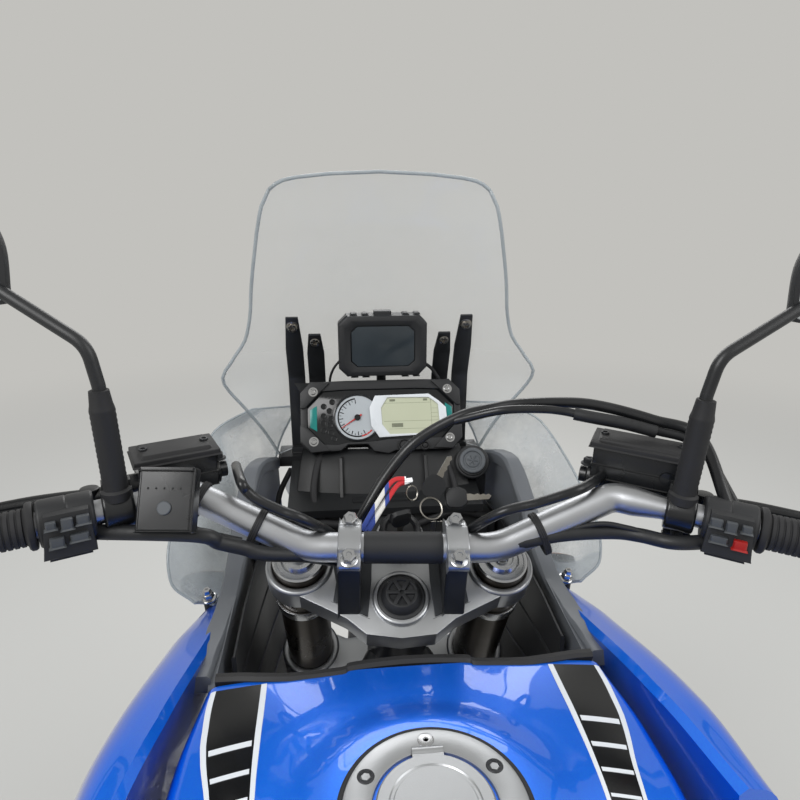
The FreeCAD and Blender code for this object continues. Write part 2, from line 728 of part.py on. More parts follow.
def skid_plate():
    """A bent plate below the engine that turns up ahead of the header pipes."""
    front = SKID_FRONT
    outer = [(-80, 209), (front - 84, 209), (front - 4, 330), (front, 452), (front - 6, 452),
             (front - 10, 332), (front - 88, 215), (-80, 215)]
    pieces = [side_profile(outer, (-118, 118))]
    for x in ((-100, -84), (84, 100)):
        for y in ((20, 44), (172, 190)):
            pieces.append(box(x, y, (214, 299.7)))
    return fuse(pieces)


add("frame", frame())
add("engine", engine())
add("engine_covers", engine_covers())
add("exhaust", exhaust())
add("silencer", silencer())
add("radiator", radiator())
add("skid_plate", skid_plate())
add("airbox", box((-98, 98), (-40, 90), (790, 862)).cut(PARTS["frame"]))


# Rear suspension: one swingarm with the shaft in its right arm, shock, hugger and rear brake
def swingarm():
    pivot = rod(vec(-72, PIVOT_Y, PIVOT_Z), vec(72, PIVOT_Y, PIVOT_Z), 28)
    right = bent([vec(46, PIVOT_Y, PIVOT_Z), vec(46, PIVOT_Y - 65, PIVOT_Z - 7),
                  vec(112, PIVOT_Y - 190, PIVOT_Z - 22), vec(112, REAR_Y + 110, REAR_Z + 20)],
                 26.0, 60.0)
    left = bent([vec(-46, PIVOT_Y, PIVOT_Z), vec(-46, PIVOT_Y - 65, PIVOT_Z - 7),
                 vec(-112, PIVOT_Y - 190, PIVOT_Z - 22), vec(-112, REAR_Y + 40, REAR_Z + 8),
                 vec(-112, REAR_Y - 30, REAR_Z - 2)], 22.0, 60.0)
    bridge = rod(vec(-70, PIVOT_Y - 110, PIVOT_Z - 11), vec(70, PIVOT_Y - 110, PIVOT_Z - 11), 18)
    shape = fuse([pivot, right, left, bridge])
    shape = shape.cut(rod(vec(-80, PIVOT_Y, PIVOT_Z), vec(80, PIVOT_Y, PIVOT_Z), 12 + SLIP))
    return shape.cut(rod(vec(-140, REAR_Y, REAR_Z), vec(-60, REAR_Y, REAR_Z), AXLE_RADIUS + SLIP))


def final_drive():
    """The bevel-gear case at the end of the shaft."""
    case = rod(vec(80, REAR_Y, REAR_Z), vec(146, REAR_Y, REAR_Z), 78)
    case = case.makeFillet(10.0, [e for e in case.Edges if e.Length > 400])
    nose = rod(vec(112, REAR_Y + 40, REAR_Z + 6), vec(112, REAR_Y + 128, REAR_Z + 23), 38)
    shape = fuse([case, nose]).cut(PARTS["swingarm"])
    return shape.cut(rod(vec(60, REAR_Y, REAR_Z), vec(150, REAR_Y, REAR_Z), AXLE_RADIUS + SLIP))


def axles():
    """The rear axle and the swingarm's pivot bolt, each with its nuts."""
    rear = rod(vec(-150, REAR_Y, REAR_Z), vec(154, REAR_Y, REAR_Z), AXLE_RADIUS)
    ends = [
        rod(vec(-150, REAR_Y, REAR_Z), vec(-135, REAR_Y, REAR_Z), 17),
        rod(vec(146.4, REAR_Y, REAR_Z), vec(156, REAR_Y, REAR_Z), 17),
    ]
    pivot = rod(vec(-108, PIVOT_Y, PIVOT_Z), vec(108, PIVOT_Y, PIVOT_Z), 12)
    nuts = [
        rod(vec(side * 96.4, PIVOT_Y, PIVOT_Z), vec(side * 108, PIVOT_Y, PIVOT_Z), 18)
        for side in (-1, 1)
    ]
    return Part.makeCompound([fuse([rear] + ends), fuse([pivot] + nuts)])


def rear_shock():
    """A coil-over damper from the frame's cross tube down to the swingarm's bridge."""
    top = vec(0, -112, 770)
    foot = vec(0, -262, 447)
    along = foot - top
    body = rod(top, foot, 20)
    coil = rod(top + along * 0.14, top + along * 0.82, 34)
    eyes = [rod(vec(-18, p.y, p.z), vec(18, p.y, p.z), 20) for p in (top, foot)]
    return fuse([body, coil] + eyes).cut(PARTS["swingarm"]).cut(PARTS["frame"])


def rear_caliper():
    body = box((-110, -52), (REAR_Y + 62, REAR_Y + 132), (REAR_Z + 62, REAR_Z + 124))
    slot = Part.makeCylinder(REAR_DISC + 5, DISC_THICK + 10,
                             vec(REAR_DISC_X - DISC_THICK / 2 - 5, REAR_Y, REAR_Z), X_AXIS)
    wheel = Part.makeCylinder(REAR_BEAD + 20, 40, vec(-62, REAR_Y, REAR_Z), X_AXIS)
    carrier = box((-118, -98), (REAR_Y + 84, REAR_Y + 112), (REAR_Z + 14, REAR_Z + 66))
    return fuse([body.cut(slot).cut(wheel), carrier]).cut(PARTS["swingarm"])


HUGGER_INNER = REAR_RADIUS + 16.0


def rear_guard():
    """The inner mudguard over the rear tyre, run on to the bracket of a blank number plate."""
    r = HUGGER_INNER
    section = [(-82, r - 16), (-82, r + 4), (82, r + 4), (82, r - 16), (78, r - 16), (78, r),
               (-78, r), (-78, r - 16)]
    pieces = [turned(section, REAR_CENTRE, 56.0, -38.0)]
    lift = math.radians(61.0)
    y, z = REAR_Y + (r - 6) * math.cos(lift), REAR_Z + (r - 6) * math.sin(lift)
    for side in (-1, 1):
        pieces.append(bent([vec(side * 80, y, z), vec(side * 106, y, z - 12),
                            vec(side * 110, y - 10, REAR_Z + 30)], 5.0, 20.0))
    return fuse(pieces).cut(PARTS["swingarm"])


def tail_bracket():
    """The arm behind the seat that carries the plate, its lamp and the reflector."""
    y = TAIL_DROP
    arm = side_profile([(-850, 846), (y + 168, 846), (y + 13, 690), (y, 560), (y + 12, 560),
                        (y + 26, 684), (y + 176, 830), (-850, 830)], (-72, 72))
    lamp = side_profile([(y + 68, 712), (y - 24, 698), (y - 27, 712), (y + 58, 742)], (-40, 40))
    plate = side_profile([(y - 0.3, 548), (y - 3.3, 548), (y + 6, 690), (y + 9, 690)], (-105, 105))
    return fuse([arm, lamp]), plate.cut(fuse([arm, lamp]))


add("swingarm", swingarm())
add("final_drive", final_drive())
add("axles", axles())
add("rear_shock", rear_shock())
add("rear_caliper", rear_caliper())
add("rear_guard", rear_guard())
BRACKET, PLATE = tail_bracket()
add("tail_bracket", BRACKET)
add("number_plate", PLATE)


# Tank, seats and body panels
CAP_Y = 133.0
CAP_Z = 1058.0
RING = 61.0
TANK_FRONT = 286.0
TANK = [
    (TANK_FRONT, 1034, 166, 1026, 184, 985, 150, 892),
    (210, 1048, 174, 1026, 193, 975, 150, 886),
    (120, 1053, 166, 1022, 189, 965, 148, 882),
    (0, 1026, 122, 990, 150, 930, 128, 876),
    (-124, 948, 96, 914, 122, 890, 116, 852),
]


def tank_body():
    sections = [
        hull_section(y, [(0, top, 0), (edge, shoulder, 22), (side, middle, 16), (foot, low, 12),
                         (0, low, 0)])
        for y, top, edge, shoulder, side, middle, foot, low in TANK
    ]
    return loft(sections)


def fuel_tank():
    tank = tank_body()
    ring = rod(vec(0, CAP_Y, CAP_Z - 16), vec(0, CAP_Y, CAP_Z + 40), RING + SEAT_GAP)
    neck = rod(vec(0, CAP_Y, CAP_Z - 40), vec(0, CAP_Y, CAP_Z), 34)
    forks = lean(box((58, 152), (-72, 200), (900, 1300)))
    tank = tank.cut(ring).cut(neck).cut(forks).cut(mirrored(forks))
    return tank.cut(PARTS["frame"]).cut(PARTS["airbox"])


def filler_ring():
    """The bright ring round the filler, with a countersunk seat for the lid."""
    outer = rod(vec(0, CAP_Y, CAP_Z - 15.7), vec(0, CAP_Y, CAP_Z), RING)
    seat = rod(vec(0, CAP_Y, CAP_Z - 8), vec(0, CAP_Y, CAP_Z), 40)
    hole = rod(vec(0, CAP_Y, CAP_Z - 16), vec(0, CAP_Y, CAP_Z), 32)
    gap = box((-13, 13), (CAP_Y + 30, CAP_Y + 48), (CAP_Z - 9, CAP_Z))
    return outer.cut(seat).cut(hole).cut(gap)


def fuel_lid():
    """The lid, with its neck plug below and the knuckle of its hinge at the front."""
    top = rod(vec(0, CAP_Y, CAP_Z - 7), vec(0, CAP_Y, CAP_Z + 1), 39)
    plug = rod(vec(0, CAP_Y, CAP_Z - 15), vec(0, CAP_Y, CAP_Z - 7), 26)
    knuckle = rod(vec(-11, CAP_Y + 42, CAP_Z - 2), vec(11, CAP_Y + 42, CAP_Z - 2), 4)
    arm = box((-11, 11), (CAP_Y + 30, CAP_Y + 42), (CAP_Z - 6, CAP_Z + 1))
    return fuse([top, plug, knuckle, arm])


def edge_strip():
    """The ribbed rubber strip along the front edge of the tank."""
    back = TANK_FRONT + SEAT_GAP
    top = TANK[0][1]
    profile = [(back, top - 34), (back + 16, top - 34), (back + 14, top - 2), (back, top + 2)]
    strip = side_profile(profile, (-170, 170))
    forks = lean(box((58, 152), (-72, 200), (900, 1300)))
    return strip.cut(forks).cut(mirrored(forks)).cut(PARTS["fuel_tank"])


PANEL = [
    (140, 218, 1040, 240, 1030, 268, 930, 216, 790, 208, 790, 212, 1034),
    (240, 206, 1036, 240, 1026, 286, 920, 236, 700, 228, 700, 200, 1030),
    (400, 194, 1004, 230, 992, 284, 890, 232, 690, 224, 690, 188, 998),
    (512, 198, 966, 214, 962, 246, 890, 206, 760, 200, 760, 192, 960),
]


def side_panel():
    """A bulging outer panel beside the tank, from the knee to the fork."""
    wires = []
    for row in PANEL:
        y = row[0]
        pairs = list(zip(row[1::2], row[2::2]))
        wires.append(Part.makePolygon([vec(x, y, z) for x, z in pairs + pairs[:1]]))
    shell = Part.makeLoft(wires, True, True)
    bosses = [
        rod(vec(180, 214, 948), vec(216, 214, 948), 9).cut(tank_body()),
        rod(vec(184.2, 440, 920), vec(208, 440, 920), 8),
    ]
    return fuse([shell] + bosses)


def inner_fairing():
    """A dark panel from the tank's corner past the fork, that turns in towards the lamps."""
    outline = [(310, 1000), (330, 880), (470, 850), (640, 880), (700, 930), (690, 1070), (600, 1092),
               (470, 1010)]
    back, far, nose_x = FAIRING_X, FAIRING_X + 6, FAIRING_NOSE_X
    plan = [(back, 300), (far, 300), (far, FAIRING_BEND_Y + 2), (nose_x + 6, 704), (nose_x, 702),
            (back, FAIRING_BEND_Y)]
    return plan_profile(plan, (840, 1100)).common(side_profile(outline, (0, 300), 10.0))


def headlamps():
    """Twin lamps side by side in the nose."""
    outline = [(8, 968), (118, 952), (146, 1020), (128, 1064), (20, 1050)]
    corners = [(vec(x, 700, z), 14.0) for x, z in outline]
    lamp = prism(corners, vec(0, 96, 0))
    slope = box((-10, 160), (0, 200), (0, 300))
    slope.rotate(vec(0, 0, 0), X_AXIS, 22)
    slope.translate(vec(0, 800, 940))
    return lamp.cut(slope)


def nose():
    """The beak below and between the lamps, over the front wheel."""
    sections = [
        (640, 160, 960, 926),
        (775, 136, 958, 912),
        (880, 70, 914, 884),
        (962, 20, 868, 850),
    ]
    wires = []
    for y, half, high, low in sections:
        corners = [(-half, low), (half, low), (half * 0.9, high), (-half * 0.9, high)]
        wires.append(rounded_wire([(vec(x, y, z), 4.0) for x, z in corners]))
    return Part.makeLoft(wires, True, True).cut(both(headlamps()))


def arc_band(z, half, middle, edge, thick):
    """A curved strip seen from above: its middle at y = middle and both ends at y = edge."""
    outer = Part.Arc(vec(-half, edge, z), vec(0, middle, z), vec(half, edge, z)).toShape()
    inner = Part.Arc(vec(half, edge - thick, z), vec(0, middle - thick, z),
                     vec(-half, edge - thick, z)).toShape()
    right = Part.makeLine(vec(half, edge, z), vec(half, edge - thick, z))
    left = Part.makeLine(vec(-half, edge - thick, z), vec(-half, edge, z))
    return Part.Wire([outer, right, inner, left])


SCREEN = [
    (1080, 150, 780, 690),
    (1200, 212, 742, 650),
    (1336, 163, 690, 634),
    (1440, 140, 648, 618),
    (1468, 118, 637, 612),
]


def windscreen():
    return Part.makeLoft([arc_band(*row, 5.0) for row in SCREEN], True, True)


SCREEN_ARMS = (
    ((88, 94), [(690, 1080), (716, 1080), (716, 1192), (684, 1262), (664, 1262), (698, 1188),
                (708, 1176), (708, 1120)]),
    ((116, 122), [(676, 1080), (704, 1080), (704, 1192), (668, 1286), (650, 1286), (682, 1192),
                  (682, 1100)]),
)


def screen_arms():
    """Two dark uprights on each side that hold the screen behind the cluster."""
    pieces = [side_profile(outline, x, 2.0) for x, outline in SCREEN_ARMS]
    foot = box((84, 126), (676, 716), (1079.8, 1090))
    return both(fuse(pieces + [foot]))


# The side deflector from its top to its foot: a point on its inner edge and one on its outer edge
DEFLECTOR = [
    ((124, 738, 1138), (212, 676, 1152)),
    ((154, 728, 1080), (240, 640, 1120)),
    ((165, 694, 1022), (256, 580, 1085)),
    ((181, 630, 984), (264, 510, 1045)),
    ((202, 524, 974), (258, 476, 1012)),
    ((210, 470, 980), (236, 454, 996)),
]
DEFLECTOR_SHEET = 3.5


def wind_deflector():
    """A clear shield that flares out beside the fairing, on a post at its top and one at its foot."""
    wires = []
    for number, (inner, outer) in enumerate(DEFLECTOR):
        above = DEFLECTOR[max(number - 1, 0)]
        below = DEFLECTOR[min(number + 1, len(DEFLECTOR) - 1)]
        down = vec(*below[0]) + vec(*below[1]) - vec(*above[0]) - vec(*above[1])
        through = (vec(*outer) - vec(*inner)).cross(down)
        through = through / through.Length * DEFLECTOR_SHEET
        corners = [vec(*inner), vec(*outer), vec(*outer) + through, vec(*inner) + through, vec(*inner)]
        wires.append(Part.makePolygon(corners))
    post = rod(vec(161, 671, 1035), vec(186, 671, 1037), 6).cut(inner_fairing())
    foot = rod(vec(216, 476, 950), vec(216, 476, 988), 6).cut(side_panel())
    foot = max(foot.Solids, key=lambda solid: solid.CenterOfMass.z)
    return fuse([Part.makeLoft(wires, True, True), post, foot])


def in_face(x, along, out, origin=(0, 650, 1148)):
    """A point on the tilted face of the instruments: across, up along it and out of it."""
    return vec(x, origin[1] + along * SIN - out * COS, origin[2] + along * COS + out * SIN)


def cluster():
    """The instrument housing, with chamfered corners and a rim round its face."""
    outline = [(-113, -36), (-99, -50), (99, -50), (113, -36), (113, 36), (99, 50), (-99, 50),
               (-113, 36)]
    depth = in_face(0, 0, 0) - in_face(0, 0, 32)
    corners = [(in_face(x, s, 0), 4.0) for x, s in outline]
    return prism(corners, depth)


def gps():
    """A navigator on a ball mount above the instruments."""
    case = box((-58, 66), (668, 694), (1199, 1286))
    case = case.makeFillet(8.0, [e for e in case.Edges if abs(e.Length - 26) < 1])
    stalk = rod(vec(4, 690, 1226), vec(4, 708, 1216), 8)
    post = rod(vec(4, 712, 1216), vec(4, 712, 1079.8), 7)
    ball = Part.makeSphere(12, vec(4, 708, 1216))
    return fuse([case, stalk, post, ball])


def cockpit():
    """The stay from the steering head, and the bracket and shelf that carry the instruments."""
    half = FAIRING_NOSE_X - SEAT_GAP
    bridge = box((-half, half), (676, 722), (1064.5, 1079.5))
    shelf = side_profile([(566, 1036), (680, 1064.5), (680, 1074), (566, 1046)], (-130, 130))
    stay = [(22, 1018), (168, 1012), (252, 964), (278, 1006), (262, 1068), (180, 1078), (22, 1092)]
    spine = lean(prism([(vec(-24, ahead, up), 4.0) for ahead, up in stay], vec(48, 0, 0)))
    wide = FAIRING_X - SEAT_GAP
    tray = plan_profile([(-wide, FAIRING_BEND_Y), (wide, FAIRING_BEND_Y), (half + 2, 690),
                         (-half - 2, 690)], (986, 990))
    pieces = [bridge, shelf, spine, tray]
    for x in (-60, 60):
        pieces.append(box((x - 6, x + 6), (660, 700), (1072, 1118)).cut(cluster()))
    for x in (-104, 104):
        pieces.append(box((x - 9, x + 9), (702, 720), (1048, 1066)).cut(both(headlamps())))
    return fuse(pieces).cut(PARTS["frame"])


def seat_block(rows):
    sections = [
        hull_section(y, [(0, top, 0), (edge, shoulder, 20), (side, low + 16, 12), (foot, low, 6),
                         (0, low, 0)])
        for y, top, edge, shoulder, side, foot, low in rows
    ]
    return loft(sections)


RIDER_SEAT = [
    (TANK[-1][0] - SEAT_GAP, 924, 78, 908, 100, 96, 862),
    (-220, 884, 104, 874, 124, 118, 852),
    (-330, 876, 136, 868, 154, 146, 852),
    (-432, 900, 140, 888, 158, 150, 854),
]
PILLION_SEAT = [
    (RIDER_SEAT[-1][0] - SEAT_GAP, 938, 118, 926, 146, 140, 900),
    (-560, 944, 122, 932, 150, 144, 902),
    (-752, 952, 98, 942, 124, 118, 906),
]


def side_cover():
    """A flat cover under the front of the seat, on two bosses that reach the seat rail."""
    outline = [(-150, 838), (-96, 700), (-130, 640), (-300, 740), (-420, 836)]
    bosses = [rod(vec(112, -176, 811), vec(148, -176, 811), 8),
              rod(vec(123, -300, 820), vec(148, -300, 820), 8)]
    return fuse([side_profile(outline, (146, 151), 10.0)] + bosses).cut(PARTS["frame"])


def tail_cowl():
    """The side cowls under the pillion seat, joined across the back."""
    rows = [
        (-440, 150, 896, 158, 870, 130, 824),
        (-700, 128, 900, 136, 872, 110, 836),
        (-880, 74, 902, 80, 880, 66, 848),
    ]
    wires = []
    for y, top, high, side, middle, foot, low in rows:
        wires.append(rounded_wire([(vec(x, y, z), r) for x, z, r in halves([
            (top, high, 6), (side, middle, 10), (foot, low, 6)])]))
    body = Part.makeLoft(wires, True, True)
    inner = box((-92, 92), (-860, -430), (800, 896))
    return body.cut(inner).cut(PARTS["frame"])


def rack():
    """A flat rack behind the pillion, and the grab rails that run forward from it."""
    rail = bent([vec(160, -530, 884), vec(184, -570, 950), vec(184, -740, 962),
                 vec(104, -810, 962), vec(92, -905, 962), vec(0, -912, 962)], 10.0, 34.0)
    plate = plan_profile([(-98, -776), (98, -776), (88, -904), (-88, -904)], (958, 966), 14.0)
    slot = plan_profile([(-40, -806), (40, -806), (34, -872), (-34, -872)], (950, 970), 8.0)
    feet = [rod(vec(side * 60, -792, 899), vec(side * 60, -792, 960), 9) for side in (-1, 1)]
    shape = fuse([rail, mirrored(rail), plate] + feet).cut(slot)
    for x in (-60, 60):
        for y in (-788, -888):
            shape = shape.cut(rod(vec(x, y, 940), vec(x, y, 990), 3.3))
    return shape.cut(PARTS["frame"]).cut(PARTS["tail_cowl"]).cut(PARTS["pillion_seat"])


def tail_lamp():
    lamp = side_profile([(-880.2, 850), (-910, 854), (-914, 892), (-880.2, 900)], (-62, 62), 5.0)
    return lamp


def indicators():
    """Four amber lamps on short stalks, two at the nose and two at the tail."""
    pieces = []
    for side in (-1, 1):
        for root, x, y, z in ((165, 215, 640, 900), (72.2, 103, -960, 806)):
            start = vec(side * root, y, z)
            stalk = rod(start, vec(side * (x + 20), y, z), 7)
            lamp = cone(vec(side * (x + 20), y, z), vec(side * (x + 78), y, z), 25, 18)
            pieces.append(fuse([stalk, lamp]))
    return Part.makeCompound(pieces).cut(PARTS["tail_bracket"]).cut(PARTS["inner_fairing"])


def footpegs():
    """Cleated pegs on cast hangers for rider and passenger."""
    pieces = []
    for side in (-1, 1):
        peg = box(sorted((side * 206, side * 288)), (-112, -82), (336, 352))
        arm = box(sorted((side * 96.4, side * 210)), (-118, -100), (332, 356))
        hanger = side_profile([(-326, 560), (-352, 560), (-400, 742), (-362, 752)],
                              sorted((side * (HANGER_OUT - 12), side * HANGER_OUT)), 4.0)
        bolt = rod(vec(side * 114, -378, 742), vec(side * 150, -378, 742), 9)
        rear = box(sorted((side * 149, side * 236)), (-352, -326), (556, 570))
        pieces += [fuse([peg, arm]), fuse([hanger, rear, bolt]).cut(PARTS["frame"])]
    return Part.makeCompound(pieces)


def pedals():
    """The gear lever on the left and the brake pedal on the right."""
    near = CASE_HALF + SEAT_GAP
    far = CASE_HALF + 58
    shift = fuse([rod(vec(-near, -50, 344), vec(-far, -50, 344), 7),
                  rod(vec(-far, -50, 344), vec(-far, 90, 346), 6),
                  rod(vec(4 - far, 90, 346), vec(-far - 38, 90, 346), 9)])
    brake = fuse([rod(vec(near, -64, 330), vec(far, -64, 330), 8),
                  rod(vec(far, -64, 330), vec(far, 96, 318), 7),
                  box((far - 10, far + 32), (84, 112), (314, 324))])
    return Part.makeCompound([shift, brake])


add("rider_seat", seat_block(RIDER_SEAT))
add("pillion_seat", seat_block(PILLION_SEAT))
add("tail_cowl", Part.makeCompound([tail_cowl(), side_cover(), mirrored(side_cover())]))
add("fuel_tank", fuel_tank().cut(PARTS["rider_seat"]))
add("filler_ring", filler_ring())
add("fuel_lid", fuel_lid())
add("edge_strip", edge_strip())
add("side_panels", both(side_panel()))
add("inner_fairing", both(inner_fairing()))
add("headlamps", both(headlamps()))
add("nose", nose())
add("windscreen", windscreen())
add("screen_arms", screen_arms())
add("wind_deflectors", both(wind_deflector()))
add("cluster", cluster())
add("gps", gps())
add("cockpit", cockpit())
add("rack", rack())
add("tail_lamp", tail_lamp())
add("indicators", indicators())
add("footpegs", footpegs())
add("pedals", pedals())


# Stands
def centre_stand():
    """Two splayed legs on a cross tube, with a tie bar, a tread pad and a foot plate each."""
    y, z = STAND_Y - 25, STAND_Z
    pieces = [rod(vec(-112, y, z), vec(112, y, z), 9)]
    for side in (-1, 1):
        boss = rod(vec(side * 97, y, z), vec(side * 126, y, z), 17)
        leg = rod(vec(side * 112, y, z), vec(side * 128, y + 24, 4), 13)
        foot = box(sorted((side * 110, side * 150)), (y - 8, y + 56), (0, 9))
        pieces += [boss, leg, foot]
    pieces.append(rod(vec(-118, y + 12, 140), vec(118, y + 12, 140), 9))
    pieces.append(rod(vec(-124, y + 18, 70), vec(-190, y + 4, 82), 8))
    return fuse(pieces)


SIDE_FOLDED = vec(-0.03, -1.0, 0.0)


def side_stand():
    """A leg folded back along the left side, on a tilted hinge pin, with a flat foot."""
    pivot = vec(*SIDE_STAND)
    end = pivot + SIDE_FOLDED * 292
    leg = rod(pivot + SIDE_FOLDED * 10, end, 11)
    boss = rod(pivot - SIDE_AXIS * SIDE_BOSS, pivot + SIDE_AXIS * SIDE_BOSS, 20)
    bore = rod(pivot - SIDE_AXIS * 14, pivot + SIDE_AXIS * 14, SIDE_PIN + SEAT_GAP)
    foot = box((end.x - 30, end.x + 30), (end.y - 6, end.y + 5), (end.z - 26, end.z + 24))
    return fuse([leg, boss, foot]).cut(bore)


add("centre_stand", centre_stand())
add("side_stand", side_stand())

# The parts that steer are turned to where the parked bar stands, and every node is written out
STEERED = (
    "front_tyre", "front_rim", "front_discs", "top_clamp", "bar_clamps", "lower_clamp",
    "fork_tubes", "fork_legs", "front_calipers", "front_mudguard", "handlebar", "grips",
    "switchgear", "master_cylinders", "hand_levers", "mirrors",
)

os.makedirs("parts", exist_ok=True)
for name, shape in PARTS.items():
    if name in STEERED:
        shape.rotate(STEER_FOOT, STEER_AXIS, STEER_REST)
    shape.exportStep("parts/" + name + ".step")
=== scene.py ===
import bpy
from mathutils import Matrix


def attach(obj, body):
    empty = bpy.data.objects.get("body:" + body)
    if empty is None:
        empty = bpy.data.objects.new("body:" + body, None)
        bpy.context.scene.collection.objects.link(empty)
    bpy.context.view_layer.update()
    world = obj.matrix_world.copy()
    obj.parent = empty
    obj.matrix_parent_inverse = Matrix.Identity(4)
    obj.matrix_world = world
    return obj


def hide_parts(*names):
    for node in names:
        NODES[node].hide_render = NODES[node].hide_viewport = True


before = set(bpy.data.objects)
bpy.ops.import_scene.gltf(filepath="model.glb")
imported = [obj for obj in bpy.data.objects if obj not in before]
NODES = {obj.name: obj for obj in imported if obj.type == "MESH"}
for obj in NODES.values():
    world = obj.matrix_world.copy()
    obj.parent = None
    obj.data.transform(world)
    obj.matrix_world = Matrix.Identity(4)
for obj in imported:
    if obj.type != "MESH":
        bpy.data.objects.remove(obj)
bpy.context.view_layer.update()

import math

import bmesh
import bpy
from mathutils import Matrix, Vector


def linear(colour):
    """An sRGB hex colour as the linear RGBA that a shader takes."""
    parts = [int(colour[i:i + 2], 16) / 255 for i in (1, 3, 5)]
    return [p / 12.92 if p <= 0.04045 else ((p + 0.055) / 1.055) ** 2.4 for p in parts] + [1.0]


def node(tree, kind, values=None, **settings):
    """Adds a node. Settings are its own; values fill its inputs, each with a number or a socket."""
    made = tree.nodes.new(kind)
    for key, value in settings.items():
        setattr(made, key, value)
    for key, value in (values or {}).items():
        if isinstance(value, bpy.types.NodeSocket):
            tree.links.new(value, made.inputs[key])
        else:
            made.inputs[key].default_value = value
    return made


def plain(name, colour, values):
    """A new material with its colour and its shader's own values: material, tree, shader, place."""
    made = bpy.data.materials.new(name)
    made.use_nodes = True
    tree = made.node_tree
    shader = tree.nodes["Principled BSDF"]
    shader.inputs["Base Color"].default_value = linear(colour)
    for key, value in values.items():
        shader.inputs[key].default_value = value
    return made, tree, shader, node(tree, "ShaderNodeTexCoord").outputs["Object"]


def surface(name, light, dark, patch, grain, depth, rough, metal=0.0, alpha=1.0):
    """A finish that drifts from dark to light in patches and has a grained skin.

    patch and grain are sizes, depth is the grain's, rough the lowest and highest roughness.
    """
    made, tree, shader, place = plain(name, light, {"Metallic": metal, "Alpha": alpha})
    drift = node(tree, "ShaderNodeTexNoise",
                 {"Vector": place, "Scale": 1000 / patch, "Detail": 5.0})
    tone = node(tree, "ShaderNodeMix", {0: drift.outputs[0], 6: linear(dark), 7: linear(light)},
                data_type="RGBA")
    gloss = node(tree, "ShaderNodeMapRange", {0: drift.outputs[0], 1: 0.3, 2: 0.7, 3: rough[0],
                                              4: rough[1]})
    skin = node(tree, "ShaderNodeTexNoise", {"Vector": place, "Scale": 1000 / grain, "Detail": 3.0})
    bump = node(tree, "ShaderNodeBump", {"Height": skin.outputs[0], "Strength": 0.6,
                                         "Distance": depth / 1000})
    tree.links.new(tone.outputs[2], shader.inputs["Base Color"])
    tree.links.new(gloss.outputs[0], shader.inputs["Roughness"])
    tree.links.new(bump.outputs[0], shader.inputs["Normal"])
    return made


def dress(made, *names):
    """Gives carried-over nodes their finish."""
    for name in names:
        slots = NODES[name].material_slots
        for place in slots:
            place.material = made
        if not slots:
            NODES[name].data.materials.append(made)


powder_coat = surface("powder_coat_black", "#232426", "#151617", 90, 1.6, 0.05, (0.32, 0.5))
dress(powder_coat, "frame", "centre_stand", "side_stand")
steel = surface("stainless_steel_brushed", "#a9a6a0", "#827d75", 45, 0.8, 0.03, (0.22, 0.36),
                metal=1.0)
dress(steel, "axles")

# Engine: a water-cooled parallel twin, sand-cast aluminium painted dark silver, with machined
# edges. The cylinder block's ribs, the head cover with its screws, and the filter stand on the
# casting.
MM = Matrix.Scale(0.001, 4)
UP = Vector((0, 0, 1))
zinc = surface("zinc_plated_steel", "#9a9b9c", "#7f8082", 20, 0.8, 0.03, (0.26, 0.42), metal=1.0)
rubber = surface("moulded_rubber_black", "#232325", "#171718", 60, 1.0, 0.1, (0.6, 0.75))


def vec(x, y, z):
    """A point or a direction."""
    return Vector((x, y, z))


def loops(bm, rings, caps=True):
    """Joins closed loops of vertices into a skin and closes both ends."""
    count = len(rings[0])
    for low, high in zip(rings, rings[1:]):
        for i in range(count):
            j = (i + 1) % count
            bm.faces.new((low[i], low[j], high[j], high[i]))
    if caps:
        bm.faces.new(rings[0])
        bm.faces.new(rings[-1])


def slab(bm, outline, push):
    """A flat outline pushed along a vector."""
    low = [bm.verts.new(p) for p in outline]
    high = [bm.verts.new(p + push) for p in outline]
    loops(bm, [low, high])


def block(bm, x, y, z, move=None):
    """A block from three (low, high) pairs, moved into place by a matrix."""
    move = move or Matrix.Identity(4)
    outline = [move @ vec(px, py, z[0]) for px, py in
               ((x[0], y[0]), (x[1], y[0]), (x[1], y[1]), (x[0], y[1]))]
    slab(bm, outline, move.to_3x3() @ vec(0, 0, z[1] - z[0]))


def lathe(bm, profile, start, axis, steps=40):
    """Turns (along, radius) points round an axis; a radius of 0 closes the end to a point."""
    axis = Vector(axis).normalized()
    side = axis.orthogonal().normalized()
    other = axis.cross(side)
    rings = []
    for along, radius in profile:
        middle = start + axis * along
        if radius < 1e-6:
            rings.append([bm.verts.new(middle)] * steps)
            continue
        rings.append([
            bm.verts.new(middle + (side * math.cos(a) + other * math.sin(a)) * radius)
            for a in (2 * math.pi * i / steps for i in range(steps))
        ])
    for low, high in zip(rings, rings[1:]):
        for i in range(steps):
            j = (i + 1) % steps
            corners = []
            for corner in (low[i], low[j], high[j], high[i]):
                if corner not in corners:
                    corners.append(corner)
            if len(corners) > 2:
                bm.faces.new(corners)


def tube(bm, path, radius, sides=14, flat=1.0):
    """A round bar along a path, closed at both ends. radius is one value or one for each point."""
    radii = radius if isinstance(radius, (list, tuple)) else [radius] * len(path)
    side = None
    rings = []
    for i, point in enumerate(path):
        along = (path[min(i + 1, len(path) - 1)] - path[max(i - 1, 0)]).normalized()
        side = side - along * side.dot(along) if side else along.orthogonal()
        side.normalize()
        other = along.cross(side)
        rings.append([
            bm.verts.new(point + (side * math.cos(a) + other * math.sin(a) * flat) * radii[i])
            for a in (2 * math.pi * k / sides for k in range(sides))
        ])
    loops(bm, rings)


